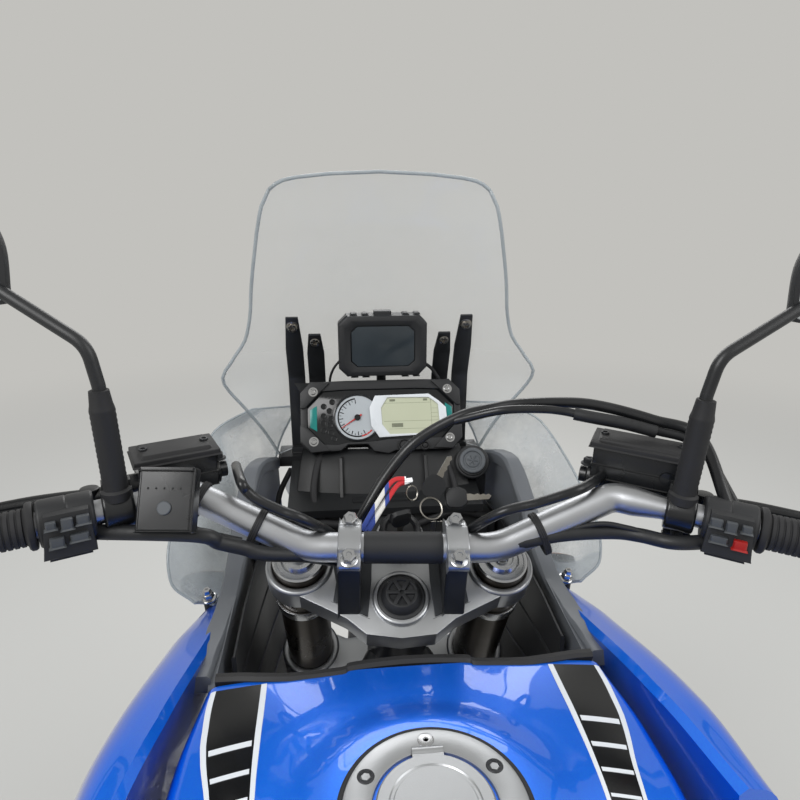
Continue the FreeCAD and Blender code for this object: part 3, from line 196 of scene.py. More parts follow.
def flowing(points, steps=8):
    """A smooth path through points, as a cable lies through its guides."""
    ends = [points[0] * 2 - points[1]] + list(points) + [points[-1] * 2 - points[-2]]
    path = []
    for a, b, c, d in zip(ends, ends[1:], ends[2:], ends[3:]):
        for i in range(steps):
            t = i / steps
            path.append(0.5 * (2 * b + (c - a) * t + (2 * a - 5 * b + 4 * c - d) * t * t
                               + (3 * b - a - 3 * c + d) * t ** 3))
    return path + [points[-1]]


def hex_bolt(bm, at, axis, flange, across, height):
    """A flanged hexagon screw head, chamfered, with a dimple in its top."""
    lathe(bm, [(0, 0), (0, flange), (1.2, flange), (2.0, flange * 0.86), (2.0, 0)], at, axis, 24)
    lathe(bm, [(1.6, 0), (1.6, across / 1.73), (height - 1, across / 1.73), (height, across / 2.05),
               (height, across / 4), (height - 1, across / 5), (height - 1, 0)], at, axis, 6)


def settle(made_piece, body, stands_for):
    """Hangs a finished piece on its body and hides the nodes that it stands for."""
    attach(made_piece, body)
    if stands_for:
        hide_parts(*stands_for)
    return made_piece


def piece(name, bm, made, body, *stands_for, slot=None, bevel=0.0, smooth=35.0, mirror=False,
          segments=2):
    """Makes a piece from its mesh: edges rounded, normals outwards, hung on its body."""
    bmesh.ops.remove_doubles(bm, verts=bm.verts, dist=0.005)
    if bevel:
        edges = [e for e in bm.edges if len(e.link_faces) == 2 and e.calc_face_angle(0.0) > 0.5]
        bmesh.ops.bevel(bm, geom=edges, offset=bevel, segments=segments, profile=0.6,
                        affect="EDGES", clamp_overlap=True)
    if mirror:
        both = bm.copy()
        both.transform(Matrix.Scale(-1, 4, (1, 0, 0)))
        spare = bpy.data.meshes.new("spare")
        both.to_mesh(spare)
        both.free()
        bm.from_mesh(spare)
        bpy.data.meshes.remove(spare)
    bmesh.ops.recalc_face_normals(bm, faces=bm.faces)
    if body in ("steering", "front_wheel"):
        bm.transform(TURN)
    bm.transform(MM)
    mesh = bpy.data.meshes.new(name)
    bm.to_mesh(mesh)
    bm.free()
    mesh.shade_smooth()
    mesh.set_sharp_from_angle(angle=math.radians(smooth))
    mesh.materials.append(made)
    made_piece = bpy.data.objects.new(name, mesh)
    bpy.context.collection.objects.link(made_piece)
    return settle(made_piece, body, stands_for)


def growing(name, *sizes):
    """Opens a geometry tree with its named sizes: the tree, and the sockets that bring them in."""
    tree = bpy.data.node_groups.new(name, "GeometryNodeTree")
    tree.is_modifier = True
    for label, kind in (("Shape", "Geometry"),) + sizes + (("Finish", "Material"),):
        tree.interface.new_socket(label, in_out="INPUT", socket_type="NodeSocket" + kind)
    tree.interface.new_socket("Made", in_out="OUTPUT", socket_type="NodeSocketGeometry")
    return tree, tree.nodes.new("NodeGroupInput").outputs


def grown(tree, spread, given):
    """Closes a geometry tree: its instances made real and given their finish."""
    real = node(tree, "GeometryNodeRealizeInstances", {0: spread})
    done = node(tree, "GeometryNodeSetMaterial", {0: real.outputs[0], "Material": given["Finish"]})
    tree.links.new(done.outputs[0], tree.nodes.new("NodeGroupOutput").inputs[0])


def repeat(shape, tree, made, into=None, at=None, **sizes):
    """Runs a geometry tree on a small shape, and gives or adds its whole result as a mesh."""
    bmesh.ops.recalc_face_normals(shape, faces=shape.faces)
    small = bpy.data.meshes.new("shape")
    shape.to_mesh(small)
    shape.free()
    holder = bpy.data.objects.new("shape", small)
    bpy.context.collection.objects.link(holder)
    live = holder.modifiers.new("pattern", "NODES")
    live.node_group = tree
    for item in tree.interface.items_tree:
        if item.in_out == "INPUT" and item.name in sizes:
            live[item.identifier] = sizes[item.name]
        elif item.name == "Finish":
            live[item.identifier] = made
    whole = bpy.data.meshes.new_from_object(
        holder.evaluated_get(bpy.context.evaluated_depsgraph_get()))
    holder.modifiers.clear()
    whole.transform(Matrix.Translation(at or (0, 0, 0)))
    into = into or bmesh.new()
    into.from_mesh(whole)
    bpy.data.objects.remove(holder)
    bpy.data.meshes.remove(whole)
    return into


# A row: a shape repeated by equal steps
row_of, given = growing("row_of", ("Count", "Int"), ("Step", "Vector"))
line = node(row_of, "GeometryNodeMeshLine", {"Count": given["Count"], "Offset": given["Step"]})
spread = node(row_of, "GeometryNodeInstanceOnPoints", {
    "Points": line.outputs[0], "Instance": given["Shape"]})
grown(row_of, spread.outputs[0], given)

cast_grey = surface("cast_aluminium_grey", "#7d7f82", "#5f6164", 60, 1.4, 0.18, (0.38, 0.55),
                    metal=0.85)
cast_dark = surface("cast_aluminium_dark", "#3c3d40", "#2a2b2d", 60, 1.4, 0.18, (0.4, 0.58),
                    metal=0.6)
dress(cast_grey, "engine")
BLOCK = Matrix.Translation((0, 150, 520)) @ Matrix.Rotation(math.radians(-17.5), 4, "X")
RIB_STEP = BLOCK.to_3x3() @ vec(0, 0, 17)
bm = bmesh.new()
for side in (-1, 1):
    rib = bmesh.new()
    block(rib, (side * 121 - 4, side * 121 + 4), (-88, 72), (8, 13), BLOCK)
    repeat(rib, row_of, cast_grey, bm, Count=7, Step=RIB_STEP)
rib = bmesh.new()
block(rib, (-112, 112), (74, 88), (20, 24), BLOCK)
repeat(rib, row_of, cast_grey, bm, Count=6, Step=RIB_STEP)
piece("cylinder_ribs", bm, cast_grey, "chassis", bevel=1.2, slot="engine_grey")
bm = bmesh.new()
for x, y, z in (((-104, 104), (98, 248), (780, 804)), ((-88, 88), (112, 234), (802, 820)),
                ((-30, 30), (136, 206), (818, 828))):
    block(bm, x, y, z)
for x in (-64, 64):
    tube(bm, [vec(x, 172, 816), vec(x, 172, 834)], 16, 28)
piece("head_cover", bm, cast_dark, "chassis", bevel=5.0, segments=3, slot="dark_cast")
bm = bmesh.new()
for x in (-97, -32, 32, 97):
    for y in (105, 241):
        hex_bolt(bm, vec(x, y, 803), UP, 7, 9, 7)
piece("head_cover_screws", bm, zinc, "chassis", slot="steel")
bm = bmesh.new()
lathe(bm, [(0, 0), (0, 38), (4, 41), (60, 41), (74, 36), (78, 30), (78, 0)], vec(-30, 238, 372),
      vec(0, 1, -0.08), 40)
tube(bm, flowing([vec(-104, 222, 560), vec(-134, 232, 572), vec(-158, 232, 586),
                  vec(-168, 226, 606)]),
     17, 20)
tube(bm, flowing([vec(-96, 250, 742), vec(-122, 262, 786), vec(-142, 250, 832), vec(-166, 226, 836),
                  vec(-170, 214, 822)]), 15, 20)
piece("oil_filter_and_hoses", bm, rubber, "chassis", slot="rubber")

# Engine covers: pressure-cast lids for the clutch and the alternator, with a raised rim, cooling
# ribs and a ring of screws, painted dark


def socket_screw(bm, at, axis, radius, height):
    """A cap screw with a hexagon socket."""
    lathe(bm, [(0, 0), (0, radius), (height - 0.6, radius), (height, radius * 0.88),
               (height, radius * 0.62)], at, axis, 24)
    lathe(bm, [(height, radius * 0.62), (height - 0.2, radius * 0.56),
               (height * 0.35, radius * 0.56), (height * 0.35, 0)], at, axis, 6)


# A ring: a shape repeated evenly round the wheel axis
ring_of, given = growing("ring_of", ("Count", "Int"))
line = node(ring_of, "GeometryNodeMeshLine", {"Count": given["Count"], "Offset": (0, 0, 0)})
number = node(ring_of, "GeometryNodeInputIndex")
share = node(ring_of, "ShaderNodeMath", {0: number.outputs[0], 1: given["Count"]},
             operation="DIVIDE")
angle = node(ring_of, "ShaderNodeMath", {0: share.outputs[0], 1: 2 * math.pi}, operation="MULTIPLY")
turn = node(ring_of, "ShaderNodeCombineXYZ", {0: angle.outputs[0]})
spread = node(ring_of, "GeometryNodeInstanceOnPoints", {
    "Points": line.outputs[0], "Instance": given["Shape"], "Rotation": turn.outputs[0]})
grown(ring_of, spread.outputs[0], given)

CASE_SIDE = 150.3  # from the middle to the covers' feet, just off the case
bm, bolts = bmesh.new(), bmesh.new()
for side, y, z, radius, deep in ((1, 20, 420, 96, 36), (-1, 60, 410, 88, 32)):
    at, out = vec(side * CASE_SIDE, y, z), vec(side, 0, 0)
    lathe(bm, [(0, 0), (0, radius), (8, radius), (10, radius - 2), (10, radius - 11),
               (14, radius - 14), (deep - 8, radius - 20), (deep - 2, radius - 27),
               (deep, radius - 36), (deep, radius - 48), (deep - 3, radius - 52), (deep - 3, 0)],
          at, out, 72)
    rib = bmesh.new()
    block(rib, sorted((side * 12, side * (deep - 3))), (-1.8, 1.8), (radius - 46, radius - 17))
    repeat(rib, ring_of, cast_dark, bm, at, Count=18)
    ear = bmesh.new()
    lathe(ear, [(0, 0), (0, 8.5), (10.5, 8), (11, 7), (11, 0)], vec(0, 0, radius - 4), out, 20)
    repeat(ear, ring_of, cast_dark, bm, at, Count=10)
    head = bmesh.new()
    socket_screw(head, vec(side * 11, 0, radius - 4), out, 5.6, 4.5)
    repeat(head, ring_of, zinc, bolts, at, Count=10)
    hex_bolt(bolts, at + out * (deep - 3.4), out, 15, 22, 5)
piece("engine_cover_castings", bm, cast_dark, "chassis", "engine_covers", slot="dark_cast",
      smooth=40)
piece("engine_cover_screws", bolts, zinc, "chassis", slot="steel")

# Exhaust: stainless steel pipes, blue, violet and then pale from heat towards the ports, and an
# oval titanium can in black end caps, with a rivet band at each end, a strap and a hanger
hot, tree, shader, place = plain("heated_stainless_steel", "#9b948a", {"Metallic": 1.0})
height = node(tree, "ShaderNodeSeparateXYZ", {0: place})
streak = node(tree, "ShaderNodeTexNoise", {"Vector": place, "Scale": 30.0, "Detail": 4.0})
warm = node(tree, "ShaderNodeMath", {0: streak.outputs[0], 1: 0.12}, operation="MULTIPLY")
warm = node(tree, "ShaderNodeMath", {0: height.outputs[2], 1: warm.outputs[0]}, operation="ADD")
tint = node(tree, "ShaderNodeMapRange", {0: warm.outputs[0], 1: 0.25, 2: 0.72})
colours = node(tree, "ShaderNodeValToRGB", {0: tint.outputs[0]})
stops = colours.color_ramp.elements
stops[0].color = linear("#8f8c88")
for at, colour in ((0.45, "#4c566e"), (0.7, "#6d5260")):
    stops.new(at).color = linear(colour)
matt = node(tree, "ShaderNodeMapRange", {0: streak.outputs[0], 1: 0.3, 2: 0.7, 3: 0.22, 4: 0.4})
tree.links.new(colours.outputs[0], shader.inputs["Base Color"])
tree.links.new(matt.outputs[0], shader.inputs["Roughness"])
dress(hot, "exhaust")


def rounded(points, bend, steps=6):
    """A path whose corners are rounded by arcs of about this radius."""
    path = [points[0]]
    for before, here, after in zip(points, points[1:], points[2:]):
        back = before - here
        on = after - here
        turn = math.pi - back.angle(on)
        reach = min(bend * math.tan(turn / 2), 0.45 * back.length, 0.45 * on.length)
        start = here + back.normalized() * reach
        end = here + on.normalized() * reach
        for i in range(steps + 1):
            t = i / steps
            path.append(start * (1 - t) ** 2 + here * 2 * t * (1 - t) + end * t ** 2)
    return path + [points[-1]]


CAN_START, CAN_RUN = vec(-196, -376, 496), vec(-16, -424, 150)
CAN_ALONG = CAN_RUN.normalized()
CAN_ACROSS = CAN_ALONG.cross(UP).normalized()
CAN_UP = CAN_ACROSS.cross(CAN_ALONG)


def can_ring(bm, share, wide, tall, steps=48):
    """An oval ring of the silencer at a share of its length, with its two half widths."""
    middle = CAN_START + CAN_RUN * share
    return [bm.verts.new(middle + CAN_ACROSS * wide * math.cos(a) + CAN_UP * tall * math.sin(a))
            for a in (2 * math.pi * i / steps for i in range(steps))]


titanium = surface("brushed_titanium", "#8b8782", "#76726d", 45, 0.9, 0.03, (0.28, 0.4), metal=1.0)
bm = bmesh.new()
loops(bm, [can_ring(bm, *row) for row in ((0.13, 44, 60), (0.132, 45.5, 61.5), (0.905, 45.5, 61.5),
                                          (0.907, 44, 60))])
piece("silencer_can", bm, titanium, "chassis", "silencer", slot="steel", smooth=50)
bm = bmesh.new()
loops(bm, [can_ring(bm, *row) for row in
           ((-0.02, 24, 25), (0.0, 26, 28), (0.03, 30, 34), (0.09, 42, 56),
            (0.12, 46, 62), (0.155, 46.6, 62.6), (0.157, 45, 61))])
loops(bm, [can_ring(bm, *row) for row in ((0.885, 45, 61), (0.887, 46.6, 62.6), (0.93, 46, 62),
                                          (0.975, 40, 55), (1.0, 33, 47), (1.0, 27, 40),
                                          (0.985, 25, 37), (0.985, 23.5, 23.5))])
tube(bm, [vec(-150.2, -358, 640), vec(-160, -358, 640)], 11, 20)
tube(bm, rounded([vec(-156, -358, 640), vec(-164, -376, 622), vec(-192, -440, 566)], 12), 7, 16)
piece("silencer_caps", bm, cast_dark, "chassis", slot="black_frame", smooth=45)
bm = bmesh.new()
lathe(bm, [(0, 18), (0, 21.5), (44, 21.5), (46, 20), (46, 18), (0, 18)], CAN_START + CAN_RUN * 0.96,
      CAN_ALONG, 40)
rings = [can_ring(bm, *row) for row in ((0.36, 46, 62), (0.36, 47.6, 63.6), (0.39, 47.6, 63.6),
                                        (0.39, 46, 62))]
loops(bm, rings + rings[:1], caps=False)
for share in (0.142, 0.9):
    for i in range(14):
        a = 2 * math.pi * (i + 0.5) / 14
        out = CAN_ACROSS * math.cos(a) * 1.3 + CAN_UP * math.sin(a)
        at = CAN_START + CAN_RUN * share + CAN_ACROSS * 46 * math.cos(a) + CAN_UP * 62 * math.sin(a)
        lathe(bm, [(0, 0), (0, 3), (1.2, 2.4), (1.8, 0)], at, out, 10)
piece("silencer_bands", bm, steel, "chassis", slot="steel", smooth=45)

# Radiator: brazed aluminium, a finned core between two tanks, with a filler cap and two rubber
# hoses
bm = bmesh.new()
for y0, y1 in ((146, 164), (312, 330)):
    block(bm, (-184, -152), (y0, y1), (600, 830))
for z0, z1 in ((600, 606), (824, 830)):
    block(bm, (-182, -154), (160, 316), (z0, z1))
lathe(bm, [(0, 0), (0, 13), (10, 13), (10, 17), (16, 17), (18, 15), (18, 0)], vec(-168, 240, 829),
      UP, 24)
tube(bm, [vec(-100, 322, 650), vec(-154, 322, 650)], 7, 16)
tube(bm, [vec(-108, 162, 868), vec(-160, 162, 827)], 6, 16)
piece("radiator_tanks", bm, cast_dark, "chassis", "radiator", bevel=2.0, slot="dark_cast")
bm = bmesh.new()
fin = bmesh.new()
block(fin, (-178, -158), (164, 312), (609, 610.2))
repeat(fin, row_of, steel, bm, Count=54, Step=(0, 0, 4.0))
pipe = bmesh.new()
block(pipe, (-172, -164), (170, 173), (606, 824))
repeat(pipe, row_of, steel, bm, Count=13, Step=(0, 11.0, 0))
fin_grey = surface("brazed_fins_black", "#2f3133", "#222426", 30, 1.0, 0.05, (0.4, 0.55), metal=0.7)
piece("radiator_fins", bm, fin_grey, "chassis", slot="dark_cast")

# Shock: a coil spring in satin red round a cast damper, with a rubber-bushed eye at each end. It
# leans from the frame's cross tube down to the swingarm.
TOP, TAIL_END = vec(0, -112, 770), vec(0, -262, 447)
STRUT = (TAIL_END - TOP).normalized()
STRUT_SIDE = vec(1, 0, 0)
STRUT_FORE = STRUT.cross(STRUT_SIDE)
TURNS, ROUND = 8, 24  # the coil's turns, and its points to a turn
spring_red = surface("spring_powder_coat_red", "#a01d1c", "#7f1615", 40, 1.2, 0.05, (0.3, 0.45))
bm = bmesh.new()
coil = []
for i in range(TURNS * ROUND + 1):
    a = 2 * math.pi * i / ROUND
    at = TOP + STRUT * (64 + 214 * i / (TURNS * ROUND))
    coil.append(at + (STRUT_SIDE * math.cos(a) + STRUT_FORE * math.sin(a)) * 28)
tube(bm, coil, 5.6, 12)
piece("shock_spring", bm, spring_red, "chassis", slot="red_lens", smooth=60)
bm = bmesh.new()
lathe(bm, [(-4, 0), (-4, 18), (20, 18), (22, 22), (50, 22), (52, 34), (60, 34), (62, 17), (150, 17),
           (152, 9), (280, 9), (282, 33), (290, 33), (292, 20), (338, 18), (356, 16), (356, 0)],
      TOP, STRUT, 36)
for at in (TOP, TAIL_END):
    tube(bm, [at - vec(18, 0, 0), at + vec(18, 0, 0)], 20, 28)
    tube(bm, [at - vec(22, 0, 0), at + vec(22, 0, 0)], 9, 20)
piece("shock_body", bm, cast_grey, "chassis", "rear_shock", slot="engine_grey")

# Airbox, rear guard, plate arm and tail cowls: thin polypropylene, injection moulded with a fine
# grain, held by the frame's brackets
moulding = surface("moulded_polypropylene_black", "#242527", "#17181a", 120, 1.1, 0.12,
                   (0.46, 0.62))
dress(moulding, "airbox", "rear_guard", "tail_bracket", "tail_cowl")

# Wheels: wire-spoked, with black anodised aluminium rims, stainless spokes laid crossed from a cast
# hub, road tyres with a blocked tread for gravel, and ground steel discs drilled for cooling. What
# steers is modelled straight, then turned by the 3.5 degrees that it stands to the right.
RAKE = math.radians(28.0)
FOOT = Vector((0, 922, 0))
TURN_AXIS = Vector((0, -math.sin(RAKE), math.cos(RAKE)))
TURN = (Matrix.Translation(FOOT) @ Matrix.Rotation(math.radians(-3.5), 4, TURN_AXIS)
        @ Matrix.Translation(-FOOT))
tyre_rubber = surface("tyre_rubber", "#26262a", "#19191b", 70, 1.2, 0.1, (0.62, 0.8))
anodised = surface("black_anodised_aluminium", "#222325", "#191a1b", 60, 0.6, 0.02, (0.25, 0.36),
                   metal=0.8)
disc_steel = surface("disc_steel_ground", "#8f9092", "#77787a", 30, 0.8, 0.03, (0.25, 0.4),
                     metal=1.0)
FRONT_WHEEL, REAR_WHEEL = vec(0, 796, 329), vec(0, -744, 343)
FRONT_HUB = {"hub_half": 56, "hub": 44, "flange": 60}
REAR_HUB = {"hub_half": 62, "hub": 58, "flange": 74}
OUT = vec(1, 0, 0)


def ringed(bm, profile, start, axis, steps=64):
    """Turns a closed ring profile of (along, radius) points round an axis."""
    lathe(bm, list(profile) + [profile[0]], start, axis, steps)


def on_wheel(x, arc, radius):
    """A point on a wheel at the origin, an arc ahead of its top."""
    return vec(x, radius * math.sin(arc), radius * math.cos(arc))


def tyre(name, body, node_name, centre, half, bead, radius, foot, pitches, blocks):
    """A tyre: its carcass with moulded lines on the walls, and the tread blocks round its crown."""
    deep, carcass = radius - bead, 8  # the wall's height, and the carcass's depth under the tread

    def crown(x):
        """The tread's radius at a distance from the middle."""
        share = abs(x) / half
        return radius - deep * (0.18 * share ** 2 + 0.15 * share ** 6)

    wall = [(foot, bead), (foot, bead + 13), (foot + 2, bead + 15), (foot + 3, bead + 20),
            (0.8 * half, bead + 0.24 * deep), (0.83 * half, bead + 0.26 * deep),
            (0.92 * half, bead + 0.36 * deep), (0.96 * half, bead + 0.46 * deep),
            (0.985 * half, bead + 0.56 * deep), (0.97 * half, bead + 0.64 * deep)]
    wall += [(half * share, crown(half * share) - carcass) for share in (0.93, 0.8, 0.62, 0.4, 0.2)]
    bm = bmesh.new()
    ringed(bm, wall + [(0, crown(0) - carcass)] + [(-x, r) for x, r in reversed(wall)], centre, OUT,
           120)
    shape = bmesh.new()
    for x0, x1, arc0, arc1, skew in blocks:
        for side in (-1, 1):
            rings = []
            for share in (0, 0.5, 1):
                x = x0 + (x1 - x0) * share
                shift = skew * share + (0 if side > 0 else 0.5) * 2 * math.pi / pitches
                rings.append([shape.verts.new(on_wheel(side * x, arc + shift, crown(x) - sunk))
                              for arc, sunk in ((arc0 - 0.005, 9), (arc0, 0.4), (arc1, 0.4),
                                                (arc1 + 0.005, 9))])
            loops(shape, rings)
    repeat(shape, ring_of, tyre_rubber, bm, centre, Count=pitches)
    piece(name, bm, tyre_rubber, body, node_name, slot="tyre", smooth=50)


tyre("front_tyre_tread", "front_wheel", "front_tyre", FRONT_WHEEL,
     56, 241, 329, 31.7, 46,  # half the width, bead, radius, foot of the wall, number of blocks
     ((1.5, 21, 0.0, 0.088, 0.05), (25, 45, 0.06, 0.15, 0.035), (46.5, 53, 0.11, 0.16, 0.01)))
tyre("rear_tyre_tread", "rear_wheel", "rear_tyre", REAR_WHEEL,
     76, 216, 321, 50.7, 42,
     ((1.5, 25, 0.0, 0.1, 0.05), (29, 54, 0.06, 0.165, 0.035), (57, 71, 0.11, 0.175, 0.01)))


def wire_wheel(name, body, node_name, centre, width, bead, hub_half, hub, flange):
    """A rim with flanges and a sunk well, a waisted hub with two flanges, and 32 crossed spokes."""
    half, seat = width / 2, bead - 0.3
    bm = bmesh.new()
    channel = [(half, seat), (half, bead + 11), (half + 1.5, bead + 13), (half + 4, bead + 12.4),
               (half + 5, bead + 9), (half + 4, bead), (half + 6, seat - 12), (half + 3, seat - 18),
               (0.58 * half, seat - 27), (0.5 * half, seat - 28.5)]
    ringed(bm, channel + [(-x, r) for x, r in reversed(channel)]
           + [(-half + 8, seat - 3), (-0.62 * half, seat - 12), (0.62 * half, seat - 12),
              (half - 8, seat - 3)], centre, OUT, 120)
    piece(name + "_rim", bm, anodised, body, node_name, slot="dark_cast", smooth=40)
    bm = bmesh.new()
    side_of_hub = [(hub_half, 12.3), (hub_half, 24), (hub_half - 1.5, 25),
                   (hub_half - 1.5, hub - 8), (hub_half, hub - 7), (hub_half, hub - 1.5),
                   (hub_half - 1.5, hub), (hub_half - 6, hub), (hub_half - 9, flange - 1.5),
                   (hub_half - 10.5, flange), (hub_half - 17, flange),
                   (hub_half - 18.5, flange - 1.5), (hub_half - 24, hub - 8),
                   (hub_half - 34, hub - 14)]
    ringed(bm, side_of_hub + [(-x, r) for x, r in reversed(side_of_hub)], centre, OUT, 72)
    piece(name + "_hub", bm, cast_dark, body, slot="dark_cast", smooth=40)
    shape = bmesh.new()
    for i in range(4):
        side = 1 if i % 2 else -1
        at_rim = 2 * math.pi * i / 32
        at_hub = at_rim + math.radians(22 if i // 2 else -22)
        low = vec(side * (hub_half - 14 + (3.6 if i // 2 else -3.6)),
                  (flange - 6) * math.cos(at_hub), (flange - 6) * math.sin(at_hub))
        high = vec(side * (half + 1), (seat - 14) * math.cos(at_rim),
                   (seat - 14) * math.sin(at_rim))
        along = (high - low).normalized()
        tube(shape, [low, low.lerp(high, 0.5), high], 2.0, 8)
        lathe(shape, [(-3, 0), (-3, 3.4), (12, 3.4), (14, 2.4), (14, 0)], high - along * 13, along,
              6)
        head = vec(side if i // 2 else -side, 0, 0)
        lathe(shape, [(-4, 0), (-4, 2.2), (1.2, 4), (2.6, 2.6), (2.6, 0)], low, head, 8)
    bm = repeat(shape, ring_of, steel, None, centre, Count=8)
    piece(name + "_spokes", bm, steel, body, slot="steel", smooth=50)


wire_wheel("front_wheel", "front_wheel", "front_rim", FRONT_WHEEL, width=64, bead=241,
           **FRONT_HUB)
wire_wheel("rear_wheel", "rear_wheel", "rear_rim", REAR_WHEEL, width=102, bead=216,
           **REAR_HUB)


def brake_disc(name, body, centre, places, radius, hub):
    """Drilled discs: a wave-free friction band, riveted to a black five-armed carrier."""
    bm, carrier, rivets = bmesh.new(), bmesh.new(), bmesh.new()
    faces = (-2.5, 2.5)  # half of the band's 5 mm to each side
    for x, face in places:
        side = 1 if x > 0 else -1
        rows = [radius - 38, radius - 35.6, radius - 31, radius - 26.4, radius - 22, radius - 17.4,
                radius - 13, radius - 8.4, radius - 2, radius]
        shape = bmesh.new()
        share = 2 * math.pi / 40
        # One fortieth of the band, with its three drilled holes left open through it
        grid = {}
        columns = [share * k / 12 for k in range(13)]
        for level in faces:
            for i, r in enumerate(rows):
                for k, arc in enumerate(columns):
                    grid[level, i, k] = shape.verts.new(on_wheel(x + level, arc, r))
        open_cells = {(2, 2), (2, 3), (4, 6), (4, 5), (6, 8), (6, 9)}
        for i in range(len(rows) - 1):
            for k in range(12):
                cell = (i, k), (i + 1, k), (i + 1, k + 1), (i, k + 1)
                if (i, k) in open_cells:
                    continue
                for level in faces:
                    shape.faces.new([grid[(level,) + c] for c in cell])
                for (a, b), (di, dk) in (((cell[0], cell[3]), (-1, 0)),
                                         ((cell[1], cell[2]), (1, 0)),
                                         ((cell[0], cell[1]), (0, -1)),
                                         ((cell[3], cell[2]), (0, 1))):
                    there = (i + di, k + dk)
                    if there in open_cells or there[0] in (-1, len(rows) - 1):
                        low, high = [[grid[(level,) + c] for c in (a, b)] for level in faces]
                        shape.faces.new(low + high[::-1])
        repeat(shape, ring_of, disc_steel, bm, centre, Count=40)
        low, high = sorted((face, x - side * 2.0))
        inner = hub - 12
        ringed(carrier, [(low, inner), (low, hub), (high, hub), (high, inner)], centre, OUT, 60)
        arm = bmesh.new()
        slab(arm, [vec(x - 1.8, y, z) for y, z in ((-15, hub - 6), (15, hub - 6), (8, radius - 44),
                                                   (9, radius - 32), (-9, radius - 32),
                                                   (-8, radius - 44))], vec(3.6, 0, 0))
        repeat(arm, ring_of, anodised, carrier, centre, Count=5)
        for around, far, size in ((5, radius - 35, 6.5), (5, hub - 6, 5.5)):
            head = bmesh.new()
            lathe(head, [(-4, 0), (-4, size), (4, size), (5, size - 1.2), (5, 0)],
                  vec(x, 0, far), vec(side, 0, 0), 16)
            repeat(head, ring_of, steel, rivets, centre, Count=around)
    piece(name + "_bands", bm, disc_steel, body, name, slot="steel", smooth=30)
    piece(name + "_carriers", carrier, anodised, body, slot="dark_cast", smooth=30)
    piece(name + "_rivets", rivets, steel, body, slot="steel", smooth=30)


brake_disc("front_discs", "front_wheel", FRONT_WHEEL, ((-62, -56.3), (62, 56.3)),
           radius=155, hub=FRONT_HUB["hub"] - 2)
brake_disc("rear_disc", "rear_wheel", REAR_WHEEL, ((-68, -62.3),), radius=141,
           hub=REAR_HUB["hub"] - 2)

# Rear suspension and brake: a cast swingarm that encloses the shaft, a bevel-gear case with its
# ribs and filler plug, a two-piston caliper, and zinc-plated nuts on the axle and the pivot
dress(cast_dark, "swingarm", "final_drive")
bm, bolts = bmesh.new(), bmesh.new()
lathe(bm, [(0, 0), (0, 70), (3, 68), (5, 62), (5, 50), (9, 46), (9, 0)],
      REAR_WHEEL + vec(145.5, 0, 0), OUT, 60)
rib = bmesh.new()
block(rib, (146, 156), (-2, 2), (22, 64))
repeat(rib, ring_of, cast_dark, bm, REAR_WHEEL, Count=12)
for i in range(8):
    turn = Matrix.Rotation(2 * math.pi * i / 8 + 0.2, 3, "X")
    hex_bolt(bolts, REAR_WHEEL + turn @ vec(150.6, 0, 57), OUT, 6.5, 8, 5)
lathe(bolts, [(0, 0), (0, 11), (5, 11), (6, 10), (6, 0)], REAR_WHEEL + vec(112, 70, 47),
      vec(0, 0.3, 1), 24)
for side, x in ((-1, -154), (1, 153)):
    at_axle = REAR_WHEEL + vec(x, 0, 0)
    lathe(bolts, [(0, 0), (0, 19), (2, 19), (2, 0)], at_axle, OUT, 32)
    for at in (at_axle, vec(side * 106, -150, 440)):
        lathe(bolts, [(0, 0), (0, 15), (9, 15), (10, 13.6), (10, 8), (5, 6), (5, 0)], at,
              vec(side, 0, 0), 6)
piece("final_drive_lid", bm, cast_dark, "chassis", slot="dark_cast", smooth=40)
piece("rear_fasteners", bolts, zinc, "chassis", slot="steel")

caliper_grey = surface("caliper_anodised_grey", "#55575a", "#434548", 30, 0.9, 0.05, (0.3, 0.42),
                       metal=0.8)
bm, bolts = bmesh.new(), bmesh.new()
outline = [(-678, 408), (-616, 408), (-612, 440), (-622, 466), (-664, 466), (-682, 440)]
for x0, x1 in ((-110, -75), (-61, -55)):
    slab(bm, [vec(x0, y, z) for y, z in outline], vec(x1 - x0, 0, 0))
slab(bm, [vec(-110, y, z) for y, z in ((-664, 464), (-622, 464), (-628, 466), (-660, 467))],
     vec(52, 0, 0))
block(bm, (-108, -56), (-662, -624), (458, 467))
block(bm, (-118, -98), (-658, -634), (357, 420))
for y in (-664, -632):
    lathe(bm, [(0, 0), (0, 15), (5, 15), (6, 13), (6, 0)], vec(-109, y, 436), vec(-1, 0, 0), 28)
    socket_screw(bolts, vec(-112, y + 16, 420), vec(-1, 0, 0), 5, 6)
tube(bolts, rounded([vec(-96, -648, 463), vec(-96, -640, 490), vec(-118, -560, 470),
                     vec(-124, -420, 440), vec(-100, -240, 452)], 30), 4, 12)
piece("rear_caliper_body", bm, caliper_grey, "chassis", "rear_caliper", slot="dark_cast", bevel=1.5)
piece("rear_caliper_fittings", bolts, zinc, "chassis", slot="steel")

# Skid plate: bent aluminium sheet under the engine, brushed and clear anodised, with pressed ribs
# on its front, held by four flange screws
bm, bolts = bmesh.new(), bmesh.new()
plate_alloy = surface("brushed_aluminium_plate", "#a3a5a8", "#8b8d90", 60, 0.8, 0.03, (0.3, 0.42),
                      metal=1.0)
dress(plate_alloy, "skid_plate")
for x in (-92, 92):
    for y in (32, 181):
        hex_bolt(bolts, vec(x, y, 209), vec(0, 0, -1), 8, 10, 5)
piece("skid_plate_screws", bolts, zinc, "chassis", slot="steel")
for i in range(5):
    z = 340 + 20 * i
    y = 399.5 + 0.033 * (z - 330)
    for x0 in (-90, 16):
        tube(bm, [vec(x0, y, z), vec(x0 + 74, y, z)], 3.4, 12)
piece("skid_plate_ribs", bm, plate_alloy, "chassis", slot="steel", smooth=60)

